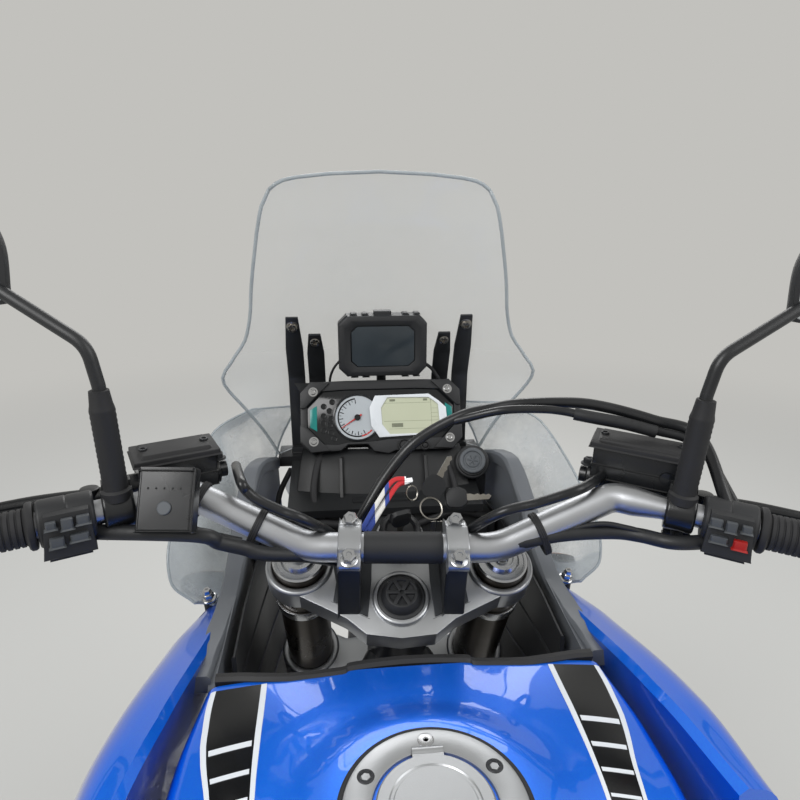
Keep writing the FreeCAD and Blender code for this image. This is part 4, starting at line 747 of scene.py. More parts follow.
# Fork: dark hard-anodised tubes held by two cast clamps on the steering stem, with turned caps and
# hard-chromed legs. Its places are given from the steering axis.
FORK_X, FORK_AHEAD = 105.0, 38.0
FORK_TUBE, FORK_BORE = 27.5, 27.7  # half the outer tube's width, and that of what holds it
LEAN = Matrix.Translation(FOOT) @ Matrix.Rotation(RAKE, 4, "X")


def on_axis(right, ahead, up):
    """A point given from the steering axis: to its right, ahead of it, and up along it."""
    return LEAN @ vec(right, ahead, up)


silver_cast = surface("cast_aluminium_lacquered", "#b9bbbd", "#a4a6a9", 50, 1.0, 0.1, (0.3, 0.44),
                      metal=0.9)
bronze = surface("hard_anodised_bronze", "#3d352c", "#2d2822", 40, 0.7, 0.03, (0.25, 0.38),
                 metal=0.9)
bright = surface("turned_aluminium", "#c4c5c7", "#aeb0b3", 30, 0.6, 0.03, (0.2, 0.32), metal=1.0)
chrome = surface("hard_chrome", "#c9c9ca", "#bcbdbe", 80, 0.8, 0.01, (0.08, 0.14), metal=1.0)
dress(chrome, "fork_legs")

bm = bmesh.new()
for side in (-1, 1):
    foot = on_axis(side * FORK_X, FORK_AHEAD, 640)
    lathe(bm, [(0, 0), (0, 29), (2, 31), (24, 31), (26, 29), (27, FORK_TUBE), (559, FORK_TUBE),
               (559, 0)],
          foot, TURN_AXIS, 48)
piece("fork_outer_tubes", bm, bronze, "steering", "fork_tubes", slot="fork_bronze")

bm = bmesh.new()
for side in (-1, 1):
    top = on_axis(side * FORK_X, FORK_AHEAD, 1199)
    lathe(bm, [(-12, 0), (-12, 27), (0, 27.2), (1.5, 25.5), (1.5, 23.5), (0.3, 22.8), (0.3, 18.6),
               (3, 17), (5, 15.6), (5, 12), (2.6, 11), (2.6, 7.4), (7.4, 6.8), (7.8, 5.6),
               (7.8, 0)],
          top, TURN_AXIS, 48)
piece("fork_caps", bm, bright, "steering", slot="silver_cast")

bm = bmesh.new()
for side in (-1, 1):
    for low, high in ((1120, 1134), (930, 938)):
        ringed(bm, [(0, FORK_BORE), (0, 30.5), (high - low, 30.5), (high - low, FORK_BORE)],
               on_axis(side * FORK_X, FORK_AHEAD, low), TURN_AXIS, 48)
piece("fork_rings", bm, bright, "steering", bevel=0.8, slot="silver_cast")

# Fork clamps: gravity-cast aluminium, lacquered silver, split at the tubes and pinched by screws.
# The top one has sunk black flanks, the risers for the bar and the seat of the ignition switch.
CLAMP_WEB = [(0, -40), (34, -36), (54, -20), (112, 8), (133, 20), (138, 44), (122, 68), (96, 68),
             (60, 54), (44, 60), (24, 62), (0, 62)]


def mirrored_outline(half, z):
    """A flat outline at a height, from its right half."""
    points = [vec(x, y, z) for x, y in half]
    return points + [vec(-p.x, p.y, p.z) for p in reversed(points) if p.x > 0.01]


bm = bmesh.new()
slab(bm, mirrored_outline(CLAMP_WEB, 1161), vec(0, 0, 25))
bmesh.ops.recalc_face_normals(bm, faces=bm.faces)
bm.transform(LEAN)
for side in (-1, 1):
    middle = on_axis(side * FORK_X, FORK_AHEAD, 1159)
    ringed(bm, [(0, FORK_BORE), (0, 33), (2, 35), (28, 35), (30, 33), (30, 29), (28.6, FORK_BORE)],
           middle, TURN_AXIS, 56)
lathe(bm, [(0, 24.5), (0, 27), (6, 29), (30, 29), (31.5, 27), (31.5, 24.5)], on_axis(0, 0, 1160),
      TURN_AXIS, 48)
piece("top_clamp_casting", bm, silver_cast, "steering", "top_clamp", slot="silver_cast", bevel=1.6)

clamp_grey = surface("cast_aluminium_charcoal", "#3f4144", "#313336", 50, 1.2, 0.12, (0.38, 0.5),
                     metal=0.7)
bm = bmesh.new()
for side in (-1, 1):
    flank = [(68, -3), (33, -19), (30, 20), (30, 43), (64, 50), (70, 36), (66, 18)]
    slab(bm, [on_axis(side * x, y, 1184) for x, y in flank], TURN_AXIS * 3.4)
    slab(bm, [on_axis(side * x, y, z) for x, y, z in
              ((72, -1.5, 1162), (30, -22.5, 1162), (32, -20.6, 1186), (69, -3.4, 1186))],
         vec(0, 2.5, 0))
piece("top_clamp_flanks", bm, clamp_grey, "steering", bevel=1.0, slot="black_plastic")

BAR_AHEAD, BAR_UP = 26.1, 1239.8
RISER_X = 51.5
bm = bmesh.new()
for side in (-1, 1):
    x = side * RISER_X
    riser = [(-17, 1184), (56, 1184), (52, 1216), (49, 1232), (46, 1238.6), (6, 1238.6), (3, 1232),
             (-2, 1216)]
    slab(bm, [on_axis(x - 11, y, z) for y, z in riser], vec(22, 0, 0))
piece("bar_risers", bm, clamp_grey, "steering", bevel=2.4, slot="silver_cast", segments=3)

bm = bmesh.new()
for side in (-1, 1):
    x = side * RISER_X
    cap = [(-27, 1.2), (-27, 7.5), (-21, 12.5), (-16, 14.5), (-13, 18.5), (-6, 20.5), (6, 20.5),
           (13, 18.5), (16, 14.5), (21, 12.5), (27, 7.5), (27, 1.2)]
    slab(bm, [on_axis(x - 11, BAR_AHEAD + y, BAR_UP + z) for y, z in cap], vec(22, 0, 0))
piece("bar_caps", bm, silver_cast, "steering", "bar_clamps", bevel=1.8, slot="silver_cast",
      segments=3)

bm = bmesh.new()
for side in (-1, 1):
    for across in (-20.5, 20.5):
        at = on_axis(side * RISER_X, BAR_AHEAD + across, BAR_UP + 12)
        hex_bolt(bm, at, TURN_AXIS, 8.6, 12, 10)
piece("bar_cap_screws", bm, bright, "steering", slot="silver_cast")

bm = bmesh.new()
top = on_axis(0, 0, 1189)
lathe(bm, [(-4, 0), (-4, 24), (2, 24), (3, 22), (3, 20.4), (7, 19.6), (9, 18), (12, 16), (12, 13.4),
           (9.5, 12.4), (9.5, 0)], top, TURN_AXIS, 40)
for i in range(6):
    turn = Matrix.Rotation(math.radians(60 * i + 30), 4, "Z")
    block(bm, (-1.9, 1.9), (2, 15.5), (9, 12.4),
          Matrix.Translation(top) @ Matrix.Rotation(RAKE, 4, "X")
          @ turn)
piece("stem_cover", bm, moulding, "steering", bevel=0.5, slot="black_plastic")

bm = bmesh.new()
slab(bm, mirrored_outline([(0, -34), (30, -32), (60, -14), (112, 4), (134, 18), (138, 40),
                           (124, 64), (96, 64), (60, 50), (30, 54), (0, 54)], 945), vec(0, 0, 36))
bm.transform(LEAN)
for side in (-1, 1):
    ringed(bm, [(0, FORK_BORE), (0, 34), (2, 36), (38, 36), (40, 34), (40, FORK_BORE)],
           on_axis(side * FORK_X, FORK_AHEAD, 943), TURN_AXIS, 56)
lathe(bm, [(0, 0), (0, 19.4), (213, 19.4), (213, 0)], on_axis(0, 0, 945), TURN_AXIS, 40)
piece("lower_clamp_casting", bm, silver_cast, "steering", "lower_clamp", slot="silver_cast",
      bevel=1.8)

# Front brake and mudguard: four-piston calipers behind the legs, each screwed to two cast lugs, and
# a moulded guard whose stays are screwed to the legs
bm, bolts = bmesh.new(), bmesh.new()
AXLE_UP = 349.7
for side in (-1, 1):
    outline = [(-88, 58), (-30, 58), (-24, 70), (-24, 122), (-32, 132), (-84, 132), (-92, 122),
               (-92, 68)]
    for x0, x1 in ((47, 55), (69.5, 87.5)):
        slab(bm, [on_axis(side * x0, y, AXLE_UP + z) for y, z in outline],
             vec(side * (x1 - x0), 0, 0))
    slab(bm, [on_axis(side * 48, y, AXLE_UP + z) for y, z in
              ((-92, 74), (-84, 74), (-84, 116), (-92, 116))],
         vec(side * 39, 0, 0))
    for z in (76, 114):
        for y in (-72, -44):
            lathe(bm, [(0, 0), (0, 14), (4, 14), (5, 12.6), (5, 0)],
                  on_axis(side * 87, y, AXLE_UP + z), vec(side, 0, 0), 28)
    for z in (74, 116):
        hex_bolt(bolts, on_axis(side * 100.5, -34, AXLE_UP + z), vec(side, 0, 0), 9, 12, 7)
    lathe(bolts, [(0, 0), (0, 22), (3, 22), (4, 20), (4, 15), (1, 14), (1, 0)],
          FRONT_WHEEL + vec(side * 126.2, 0, 0), vec(side, 0, 0), 36)
    for z in (16, -24):
        socket_screw(bolts, on_axis(side * FORK_X, FORK_AHEAD - 34, AXLE_UP + z), vec(0, -1, 0), 5,
                     6)
piece("front_caliper_bodies", bm, caliper_grey, "steering", "front_calipers", slot="dark_cast",
      bevel=1.5)
piece("front_brake_fasteners", bolts, zinc, "steering", slot="steel")

bm, bolts = bmesh.new(), bmesh.new()
rings = []
for i in range(41):
    arc = math.radians(-58 + 118 * i / 40)
    near = 1 - abs(i - 20) / 20
    drop = 1.0 - 0.25 * max(0.0, 0.12 - near) / 0.12  # narrower at its two ends
    r = 353
    section = [(-70, r - 20), (-69, r - 8), (-66, r + 2), (-54, r + 9.5), (-36, r + 14),
               (-12, r + 16), (0, r + 17.5), (12, r + 16), (36, r + 14), (54, r + 9.5), (66, r + 2),
               (69, r - 8), (70, r - 20), (66, r - 20), (65, r - 8), (62, r), (34, r + 10),
               (0, r + 13), (-34, r + 10), (-62, r), (-65, r - 8), (-66, r - 20)]
    rings.append([bm.verts.new(vec(x * drop, FRONT_WHEEL.y - q * math.sin(arc),
                                   FRONT_WHEEL.z + q * math.cos(arc))) for x, q in section])
loops(bm, rings)
for side in (-1, 1):
    for near, far, top in ((66, 83.2, 632), (60, 67, AXLE_UP + 355)):
        block(bm, sorted((side * near, side * far)), (20, 56), (586, top), LEAN)
    for up in (598, 620):
        socket_screw(bolts, on_axis(side * 70, 57, up), TURN_AXIS.cross(OUT) * -1, 4, 4)
piece("front_guard_shell", bm, moulding, "steering", "front_mudguard", slot="black_plastic",
      smooth=50)
piece("front_guard_screws", bolts, zinc, "steering", slot="steel")

# Handlebar: a tapered aluminium tube, thick between its bends and thin under the grips, blasted and
# anodised silver, with a black sleeve at its middle.
KNEE = vec(205, 374, 1158)
BAR_END = vec(435, 257, 1150)
BAR_ALONG = (BAR_END - KNEE).normalized()
BAR_FORE = vec(-BAR_ALONG.y, BAR_ALONG.x, 0).normalized()
BAR_LENGTH = (BAR_END - KNEE).length
BAR_BORE = 11.4  # half the bore of what is pushed on the bar's ends
BAR_LEFT, BAR_RIGHT = vec(-92, 363, 1107), vec(92, 363, 1107)  # the bends beside the clamps


def at_bar(along, ahead=0.0, up=0.0, side=1):
    """A point on one end of the bar: out from its knee, ahead of it and above it."""
    p = KNEE + BAR_ALONG * along + BAR_FORE * ahead + vec(0, 0, up)
    return vec(p.x * side, p.y, p.z)


bar_silver = surface("anodised_aluminium_satin", "#c3c5c8", "#b1b3b7", 60, 0.7, 0.03, (0.36, 0.46),
                     metal=1.0)
bm = bmesh.new()
path = [at_bar(20, side=-1), at_bar(0, side=-1), BAR_LEFT, BAR_RIGHT, at_bar(0), at_bar(20)]
path = ([at_bar(s, side=-1) for s in (BAR_LENGTH, 45)] + rounded(path, 70, 12)
        + [at_bar(s) for s in (45, BAR_LENGTH)])
tube(bm, path, [11.1, 11.1] + [14.3] * (len(path) - 4) + [11.1, 11.1], 32)
piece("handlebar_tube", bm, bar_silver, "steering", "handlebar", slot="silver_bar")

bm = bmesh.new()
tube(bm, [vec(-38, 363, 1107), vec(38, 363, 1107)], 15.4, 32)
piece("bar_sleeve", bm, moulding, "steering", bevel=0.8, slot="rubber")

bm = bmesh.new()
for side in (-1, 1):
    profile = [(126, BAR_BORE), (126, 20), (127.5, 21), (130.5, 21), (132, 19.5), (132.5, 17)]
    s = 134.0
    while s < BAR_LENGTH - 4:
        profile += [(s, 15.4), (s + 0.6, 16.5), (s + 3.4, 16.5), (s + 4.0, 15.4)]
        s += 5.0
    profile += [(BAR_LENGTH, 16.5), (BAR_LENGTH, BAR_BORE)]
    lathe(bm, profile + [profile[0]], at_bar(0, side=side),
          at_bar(1, side=side) - at_bar(0, side=side), 32)
piece("hand_grips", bm, rubber, "steering", "grips", slot="rubber")

bm = bmesh.new()
for side in (-1, 1):
    lathe(bm, [(0.2, 0), (0.2, 15), (12, 15), (15, 13.5), (16, 11), (16, 5), (13, 4), (13, 0)],
          at_bar(BAR_LENGTH, side=side), at_bar(1, side=side) - at_bar(0, side=side), 32)
piece("bar_end_weights", bm, bright, "steering", slot="silver_bar")

# Fuel tank: pressed steel, spray painted in metallic blue under clear lacquer. It narrows to the
# seat and swells at the shoulders, where a black band with white edges runs back on each side.
TANK = [
    (286, 1034, 166, 1026, 184, 985, 150, 892),
    (210, 1048, 174, 1026, 193, 975, 150, 886),
    (120, 1053, 166, 1022, 189, 965, 148, 882),
    (0, 1026, 122, 990, 150, 930, 128, 876),
    (-124, 948, 96, 914, 122, 890, 116, 852),
]
CAP = vec(0, 133, 1058)


def between(rows, at):
    """The row of values at a station, smoothly between the rows of a table (first column falls)."""
    rows = sorted(rows, reverse=True)
    keys = [row[0] for row in rows]
    i = max(k for k in range(len(rows) - 1) if keys[k] >= at - 1e-9 or k == 0)
    t = (keys[i] - at) / (keys[i] - keys[i + 1])
    values = []
    for column in range(1, len(rows[0])):
        b, c = rows[i][column], rows[i + 1][column]
        a = rows[i - 1][column] if i > 0 else 2 * b - c
        d = rows[i + 2][column] if i + 2 < len(rows) else 2 * c - b
        values.append(0.5 * (2 * b + (c - a) * t + (2 * a - 5 * b + 4 * c - d) * t * t
                             + (3 * b - a - 3 * c + d) * t ** 3))
    return values


def tank_top(x, y):
    """The height of the tank's upper face, raised to a flat round the filler."""
    top, edge, shoulder, side, middle, foot, low = between(TANK, y)
    z = top - (top - shoulder) * min(1.0, abs(x) / edge) ** 2.3
    if abs(x) > edge:
        t = min(1.0, (abs(x) - edge) / (side - edge))
        z = middle + (shoulder - middle) * math.sqrt(max(0.0, 1 - t * t))
    reach = (vec(x, y, 0) - vec(CAP.x, CAP.y, 0)).length
    near = min(1.0, max(0.0, (104 - reach) / 40))
    near = near * near * (3 - 2 * near)
    return z * (1 - near) + (CAP.z - 2.5) * near


paint, tree, shader, place = plain("metallic_paint_blue", "#0a4fd0", {
    "Metallic": 0.4, "Roughness": 0.32, "Coat Weight": 1.0, "Coat Roughness": 0.03})
# Metallic lacquer: aluminium flakes about 0.1 mm wide, drawn at 1.2 mm so that they show, and a
# deeper blue where the surface turns away
flakes = node(tree, "ShaderNodeTexVoronoi", {"Vector": place, "Scale": 850.0})
lean_away = node(tree, "ShaderNodeLayerWeight", {"Blend": 0.35})
tone = node(tree, "ShaderNodeMix", {0: lean_away.outputs["Facing"], 6: linear("#0078f8"),
                                    7: linear("#0338b0")}, data_type="RGBA")
spark = node(tree, "ShaderNodeMix", {0: 0.08, 6: tone.outputs[2], 7: flakes.outputs["Color"]},
             data_type="RGBA", blend_type="SOFT_LIGHT")
tree.links.new(spark.outputs[2], shader.inputs["Base Color"])

bm = bmesh.new()
rings = []
for k in range(49):
    y = 286 - 410 * k / 48
    top, edge, shoulder, side, middle, foot, low = between(TANK, y)
    half = []
    for i in range(17):
        half.append((edge * i / 16, tank_top(edge * i / 16, y)))
    for i in range(1, 9):
        a = math.radians(90 * i / 8)
        x = edge + (side - edge) * math.sin(a)
        half.append((x, middle + (shoulder - middle) * math.cos(a)))
    for i in range(1, 6):
        t = i / 5
        half.append((side + (foot - side) * t ** 1.4, middle + (low + 10 - middle) * t))
    half += [(foot - 12, low), (0, low)]
    loop = [vec(x, y, z) for x, z in half] + [vec(-x, y, z) for x, z in reversed(half[1:-1])]
    rings.append([bm.verts.new(p) for p in loop])
loops(bm, rings)
piece("tank_shell", bm, paint, "chassis", "fuel_tank", slot="blue_paint", smooth=40)

band_black = surface("vinyl_black", "#101113", "#0b0c0d", 90, 3.0, 0.02, (0.16, 0.24))
band_white = surface("vinyl_white", "#dcdfe2", "#cfd3d7", 90, 3.0, 0.02, (0.2, 0.28))
BAND = [  # y, inner x, outer x
    (280, 124, 172), (262, 123, 172), (240, 122, 170), (213, 121, 166), (172, 119, 154),
    (120, 114, 142), (60, 104, 126), (0, 92, 112), (-60, 80, 98),
]


def sheet(bm, rows):
    """An open skin over rows of points."""
    grid = [[bm.verts.new(p) for p in row] for row in rows]
    for low, high in zip(grid, grid[1:]):
        for i in range(len(low) - 1):
            bm.faces.new((low[i], low[i + 1], high[i + 1], high[i]))


def thicken(bm, thickness, upwards=False):
    """Gives an open skin its thickness; with upwards, the outer face is the upper one."""
    bmesh.ops.recalc_face_normals(bm, faces=bm.faces)
    for face in bm.faces:
        if upwards and face.normal.z < 0:
            face.normal_flip()
    bmesh.ops.solidify(bm, geom=bm.faces, thickness=thickness)


def band_strip(start, end):
    """A film on the tank between two shares of the band's width, standing off by its thickness."""
    mesh = bmesh.new()
    for side in (-1, 1):
        rows = []
        for k in range(41):
            y = 280 - 340 * k / 40
            inner, outer = between(BAND, y)
            row = []
            for i in range(9):
                x = inner + (outer - inner) * (start + (end - start) * i / 8)
                row.append(vec(side * x, y, tank_top(x, y) + 0.5))
            rows.append(row)
        sheet(mesh, rows)
    thicken(mesh, 0.4, upwards=True)
    return mesh


piece("tank_band_black", band_strip(0.1, 0.9), band_black, "chassis", slot="blue_paint")
piece("tank_band_inner_line", band_strip(0.0, 0.1), band_white, "chassis", slot="blue_paint")
piece("tank_band_outer_line", band_strip(0.9, 1.0), band_white, "chassis", slot="blue_paint")
bm = bmesh.new()
for side in (-1, 1):
    for step, y in enumerate((212, 186, 163, 143, 126)):
        rows = []
        for dy in (-2.6 + step * 0.45, 2.6 - step * 0.45):
            inner, outer = between(BAND, y + dy)
            rows.append([vec(side * x, y + dy, tank_top(x, y + dy) + 1.0)
                         for x in
                         (inner + (outer - inner) * (0.14 + 0.72 * i / 8) for i in range(9))])
        sheet(bm, rows)
thicken(bm, 0.3, upwards=True)
piece("tank_band_bars", bm, band_white, "chassis", slot="blue_paint")

# Filler: a turned and lacquered aluminium ring on six screws, with a lid that hinges at its front.
# A soft seal shows as a dark line round it.
bm = bmesh.new()
ringed(bm, [(-15, 32.2), (-15, 60.6), (-1.6, 60.6), (-0.4, 60), (0, 58.6), (0, 42.6), (-0.6, 41.4),
            (-7.6, 40), (-7.8, 33), (-8.4, 32.2)], CAP, UP, 96)
piece("filler_ring_casting", bm, silver_cast, "chassis", "filler_ring", slot="silver_cast")
bm = bmesh.new()
ringed(bm, [(-6, 60.8), (-6, 64), (-2.2, 64), (-1.4, 62.6), (-1.6, 60.8)], CAP, UP, 96)
piece("filler_seal", bm, rubber, "chassis", slot="rubber")
bm = bmesh.new()
lathe(bm, [(-15, 0), (-15, 26), (-7, 26), (-7, 38.6), (0, 38.8), (1.0, 37.6), (1.0, 30.5),
           (0.1, 29.6), (0.1, 27.6), (0.8, 27), (0.8, 0)], CAP, UP, 96)
block(bm, (-11, 11), (30, 44), (-6, 0.6), Matrix.Translation(CAP))
tube(bm, [CAP + vec(-11, 42, -2), CAP + vec(11, 42, -2)], 4, 20)
piece("filler_lid", bm, silver_cast, "fuel_lid", "fuel_lid", slot="silver_cast")
bm, front = bmesh.new(), bmesh.new()
for k in range(6):
    a = math.radians(60 * k + 90)
    at = CAP + vec(50.5 * math.cos(a), 50.5 * math.sin(a), -1.0)
    if k:
        socket_screw(bm, at, UP, 6.0, 1.6)
    else:
        lathe(front, [(0, 0), (0, 6), (1.4, 6), (1.8, 5), (1.8, 2), (1.0, 1.6), (1.0, 0)], at,
              UP, 28)
piece("filler_screws", bm, cast_dark, "chassis", slot="steel")
piece("filler_front_screw", front, bright, "chassis", slot="steel")

# Edge strip: a soft rubber moulding, extruded with a lip and pushed on the front edge of the tank,
# which it follows round the cables' hollow
bm = bmesh.new()
line = [(-170, 300), (-150, 298), (-125, 293.6), (-100, 290.6), (-60, 292), (-50, 297), (0, 300),
        (50, 297), (60, 292), (100, 290.6), (125, 293.6), (150, 298), (170, 300)]
path = flowing([vec(x, y - 5.5, 1031 - 6 * (abs(x) / 170) ** 2) for x, y in line], 6)
rows = []
for p in path:
    rows.append([bm.verts.new(p + vec(0, dy, dz)) for dy, dz in
                 ((-1, -22), (4.5, -20), (6, -8), (5.5, 2), (2, 5.6), (-3, 6), (-6, 3.4),
                  (-4, -4))])
loops(bm, rows)
piece("edge_strip_moulding", bm, rubber, "chassis", "edge_strip", slot="rubber")

# Outer panels: injection-moulded shells in the tank's blue, clear coated, that bulge beside the
# tank
PANEL = [
    (512, 198, 966, 214, 962, 246, 890, 206, 760, 200, 760, 192, 960),
    (400, 194, 1004, 230, 992, 284, 890, 232, 690, 224, 690, 188, 998),
    (240, 206, 1036, 240, 1026, 286, 920, 236, 700, 228, 700, 200, 1030),
    (140, 218, 1040, 240, 1030, 268, 930, 216, 790, 208, 790, 212, 1034),
]
bm = bmesh.new()
rings = []
for k in range(33):
    y = 512 - 372 * k / 32
    v = between(PANEL, y)
    a, b, c, d, e, f = [vec(v[i], y, v[i + 1]) for i in range(0, 12, 2)]
    outer = flowing([a, b, b.lerp(c, 0.5) + vec(7, 0, 2), c, c.lerp(d, 0.5) + vec(5, 0, 0), d], 5)
    inner = [e, e.lerp(f, 0.5) + vec(10, 0, 0), f]
    rings.append([bm.verts.new(p) for p in outer + inner])
loops(bm, rings)
piece("side_panel_shells", bm, paint, "chassis", "side_panels", slot="blue_panel", mirror=True,
      smooth=42)

# Windscreen: 4 mm clear polycarbonate, thermoformed to a curve, with a polished edge that catches
# the light; that light is a painted highlight, a whitish strip laid along the edge. It stands on
# four black arms.
clear, tree, shader, place = plain("polycarbonate_clear", "#dfe6ea", {
    "Roughness": 0.04, "IOR": 1.58, "Specular IOR Level": 0.6})
rim_glow = node(tree, "ShaderNodeLayerWeight", {"Blend": 0.25})
haze = node(tree, "ShaderNodeTexNoise", {"Vector": place, "Scale": 9.0, "Detail": 6.0})
base = node(tree, "ShaderNodeMapRange", {0: haze.outputs[0], 1: 0.35, 2: 0.75, 3: 0.05, 4: 0.11})
alpha = node(tree, "ShaderNodeMix", {0: rim_glow.outputs["Fresnel"], 2: base.outputs[0], 3: 0.75},
             data_type="FLOAT")
tree.links.new(alpha.outputs[0], shader.inputs["Alpha"])
# Painted highlight for the polished edges: a whitish, partly clear finish that stands for the light
# they catch
painted_edge_highlight = surface("polycarbonate_edge_painted_highlight", "#b9c0c3", "#8f979b", 30, 5.0, 0.05, (0.1, 0.2),
                     alpha=0.7)
SCREEN = [  # z, half width, the width that sets the curve, y at the middle, y at that width
    (1080, 150, 150, 780, 690), (1120, 168, 171, 767, 677), (1160, 190, 191, 754, 664),
    (1197, 211, 211, 743, 651), (1211, 212, 208, 738, 649), (1228, 201, 202, 731, 647),
    (1257, 181, 191, 720, 643), (1290, 171, 179, 707, 639), (1336, 164, 163, 690, 634),
    (1394, 153, 150, 666, 625), (1425, 145, 143, 654, 620), (1446, 134, 138, 646, 617),
]
TOP_EDGE = [(0, 1468), (62, 1465), (104, 1460), (122, 1455), (134, 1446)]


SHOULDER = 1446.0  # the height where the sheet's sides end and its top edge starts
RISING = [(-row[0],) + row[1:] for row in SCREEN]


def screen_point(x, z):
    """A point on the sheet's inner face, where it leans back above its shoulder."""
    half, curve, middle, edge = between(RISING, -min(z, SHOULDER))
    drop = max(0.0, z - SHOULDER) * 0.4
    return vec(x, middle - drop - (middle - edge) * (x / curve) ** 2, z)


bm = bmesh.new()
rows = []
for k in range(38):
    z = 1080 + 366 * k / 37
    half = between(RISING, -z)[0]
    rows.append([screen_point(half * i / 16, z) for i in range(-16, 17)])
for k in range(1, 6):
    row = []
    for i in range(-16, 17):
        x = 134 * i / 16
        top = between([(-p[0], p[1]) for p in TOP_EDGE], -abs(x))[0]
        row.append(screen_point(x, SHOULDER + (top - SHOULDER) * k / 5))
    rows.append(row)
edge_path = [row[0] for row in rows[:-1]] + rows[-1] + [row[-1] for row in reversed(rows[:-1])]
sheet(bm, rows)
thicken(bm, 4.0)
piece("windscreen_sheet", bm, clear, "chassis", "windscreen", slot="clear_screen", smooth=60)
# Painted highlight: a whitish strip along the screen's edge
bm = bmesh.new()
tube(bm, [p + vec(0, -2, 0) for p in edge_path], 2.3, 8)
piece("windscreen_edge_painted_highlight", bm, painted_edge_highlight, "chassis", slot="clear_screen", smooth=60)

# Side deflectors: 3 mm clear sheets that flare out beside the fairing, each on a rubber-footed post
# inside and a screw with two nuts at its foot. The cut edge is polished and catches the light,
# which is a painted highlight: a whitish strip laid along the edge.
DEFLECTOR = [  # from the top to the foot: a point on the inner edge and one on the outer edge
    (124, 738, 1138, 212, 676, 1152), (154, 728, 1080, 240, 640, 1120),
    (165, 694, 1022, 256, 580, 1085), (181, 630, 984, 264, 510, 1045),
    (202, 524, 974, 258, 476, 1012), (210, 470, 980, 236, 454, 996),
]
# Wet and lightly scuffed: beads of water about 2 mm wide and a greyish film
wet_clear, tree, shader, place = plain("polycarbonate_scuffed", "#d3d8da", {
    "IOR": 1.58, "Specular IOR Level": 0.6})
film = node(tree, "ShaderNodeTexNoise", {"Vector": place, "Scale": 26.0, "Detail": 8.0,
                                         "Roughness": 0.7})
beads = node(tree, "ShaderNodeTexVoronoi", {"Vector": place, "Scale": 330.0})
bead_edge = node(tree, "ShaderNodeMapRange",
                 {0: beads.outputs["Distance"], 1: 0.12, 2: 0.3, 3: 1.0, 4: 0.0})
veil = node(tree, "ShaderNodeMapRange", {0: film.outputs[0], 1: 0.35, 2: 0.72, 3: 0.12, 4: 0.42})
edge_on = node(tree, "ShaderNodeLayerWeight", {"Blend": 0.3})
veil = node(tree, "ShaderNodeMix", {0: edge_on.outputs["Fresnel"], 2: veil.outputs[0], 3: 0.85},
            data_type="FLOAT")
bead_bump = node(tree, "ShaderNodeBump", {"Height": bead_edge.outputs[0], "Strength": 0.7,
                                          "Distance": 0.0006})
tree.links.new(veil.outputs[0], shader.inputs["Alpha"])
tree.links.new(bead_bump.outputs[0], shader.inputs["Normal"])
shine = node(tree, "ShaderNodeMapRange", {0: film.outputs[0], 1: 0.3, 2: 0.7, 3: 0.08, 4: 0.3})
tree.links.new(shine.outputs[0], shader.inputs["Roughness"])
bm = bmesh.new()
rows = []
for k in range(31):
    station = 5 * k / 30
    v = between([(-i,) + row for i, row in enumerate(DEFLECTOR)], -station)
    inner, outer = vec(*v[:3]), vec(*v[3:])
    round_off = 0.3 * max(0.0, 1 - station / 0.7) ** 2 + 0.3 * max(0.0, (station - 4.2) / 0.8) ** 2
    outer = outer.lerp(inner, round_off)
    bulge = (outer - inner).cross(vec(0, -0.4, -1)).normalized()
    rows.append([inner.lerp(outer, i / 12) + bulge * 7 * math.sin(math.pi * i / 12)
                 for i in range(13)])
sheet(bm, rows)
thicken(bm, 3.0)
piece("deflector_sheets", bm, wet_clear, "chassis", "wind_deflectors", slot="clear_screen",
      mirror=True, smooth=60)
# Painted highlight: a whitish strip along each deflector's cut edge
bm = bmesh.new()
rim_path = ([row[0] for row in reversed(rows)] + rows[0] + [row[-1] for row in rows]
            + list(reversed(rows[-1])))
tube(bm, rim_path, 1.7, 6)
piece("deflector_edge_painted_highlights", bm, painted_edge_highlight, "chassis", slot="clear_screen", mirror=True, smooth=60)
bm = bmesh.new()
lathe(bm, [(0, 0), (0, 7), (3, 6.4), (6, 7), (24, 7), (24, 0)], vec(160, 671, 1034),
      vec(1, 0, 0.06), 24)
lathe(bm, [(0, 0), (0, 7.5), (12, 6), (26, 7), (33, 7), (33, 0)], vec(216, 476, 952), UP, 24)
piece("deflector_posts", bm, rubber, "chassis", slot="rubber", mirror=True, bevel=0.6)
bm = bmesh.new()
hex_bolt(bm, vec(216, 475, 986), vec(0.05, -0.25, 1), 9, 11, 8)
hex_bolt(bm, vec(217, 473, 993), vec(0.05, -0.25, 1), 6, 8.5, 7)
hex_bolt(bm, vec(188, 671, 1036), vec(1, -0.1, 0.1), 8, 10, 6)
piece("deflector_screws", bm, chrome, "chassis", slot="steel", mirror=True)

# The arms that hold the screen: two laser-cut steel uprights on each side that face the rider,
# painted black, each with two drilled holes and a dished screw through a rubber bush at its top
bm = bmesh.new()
for low, high, run in ((107, 131,
                        [(704, 1082), (704, 1150), (702, 1194), (684, 1240), (662, 1287)]),
                       (78, 102,
                        [(712, 1082), (712, 1150), (708, 1190), (690, 1230), (670, 1262)])):
    path = rounded([vec(0, y, z) for y, z in run], 40, 4)
    rings = []
    for i, p in enumerate(path):
        along = (path[min(i + 1, len(path) - 1)] - path[max(i - 1, 0)]).normalized()
        face = vec(0, -along.z, along.y)
        near = 0.75 if i == len(path) - 1 else 0.0
        low_x, high_x = low + 5 * near, high - 5 * near
        rings.append([bm.verts.new(p + vec(low_x, 0, 0)),
                      bm.verts.new(p + vec(low_x, 0, 0) + face * 4),
                      bm.verts.new(p + vec(high_x, 0, 0) + face * 4),
                      bm.verts.new(p + vec(high_x, 0, 0))])
    loops(bm, rings)
block(bm, (78, 131), (690, 718), (1079.8, 1088))
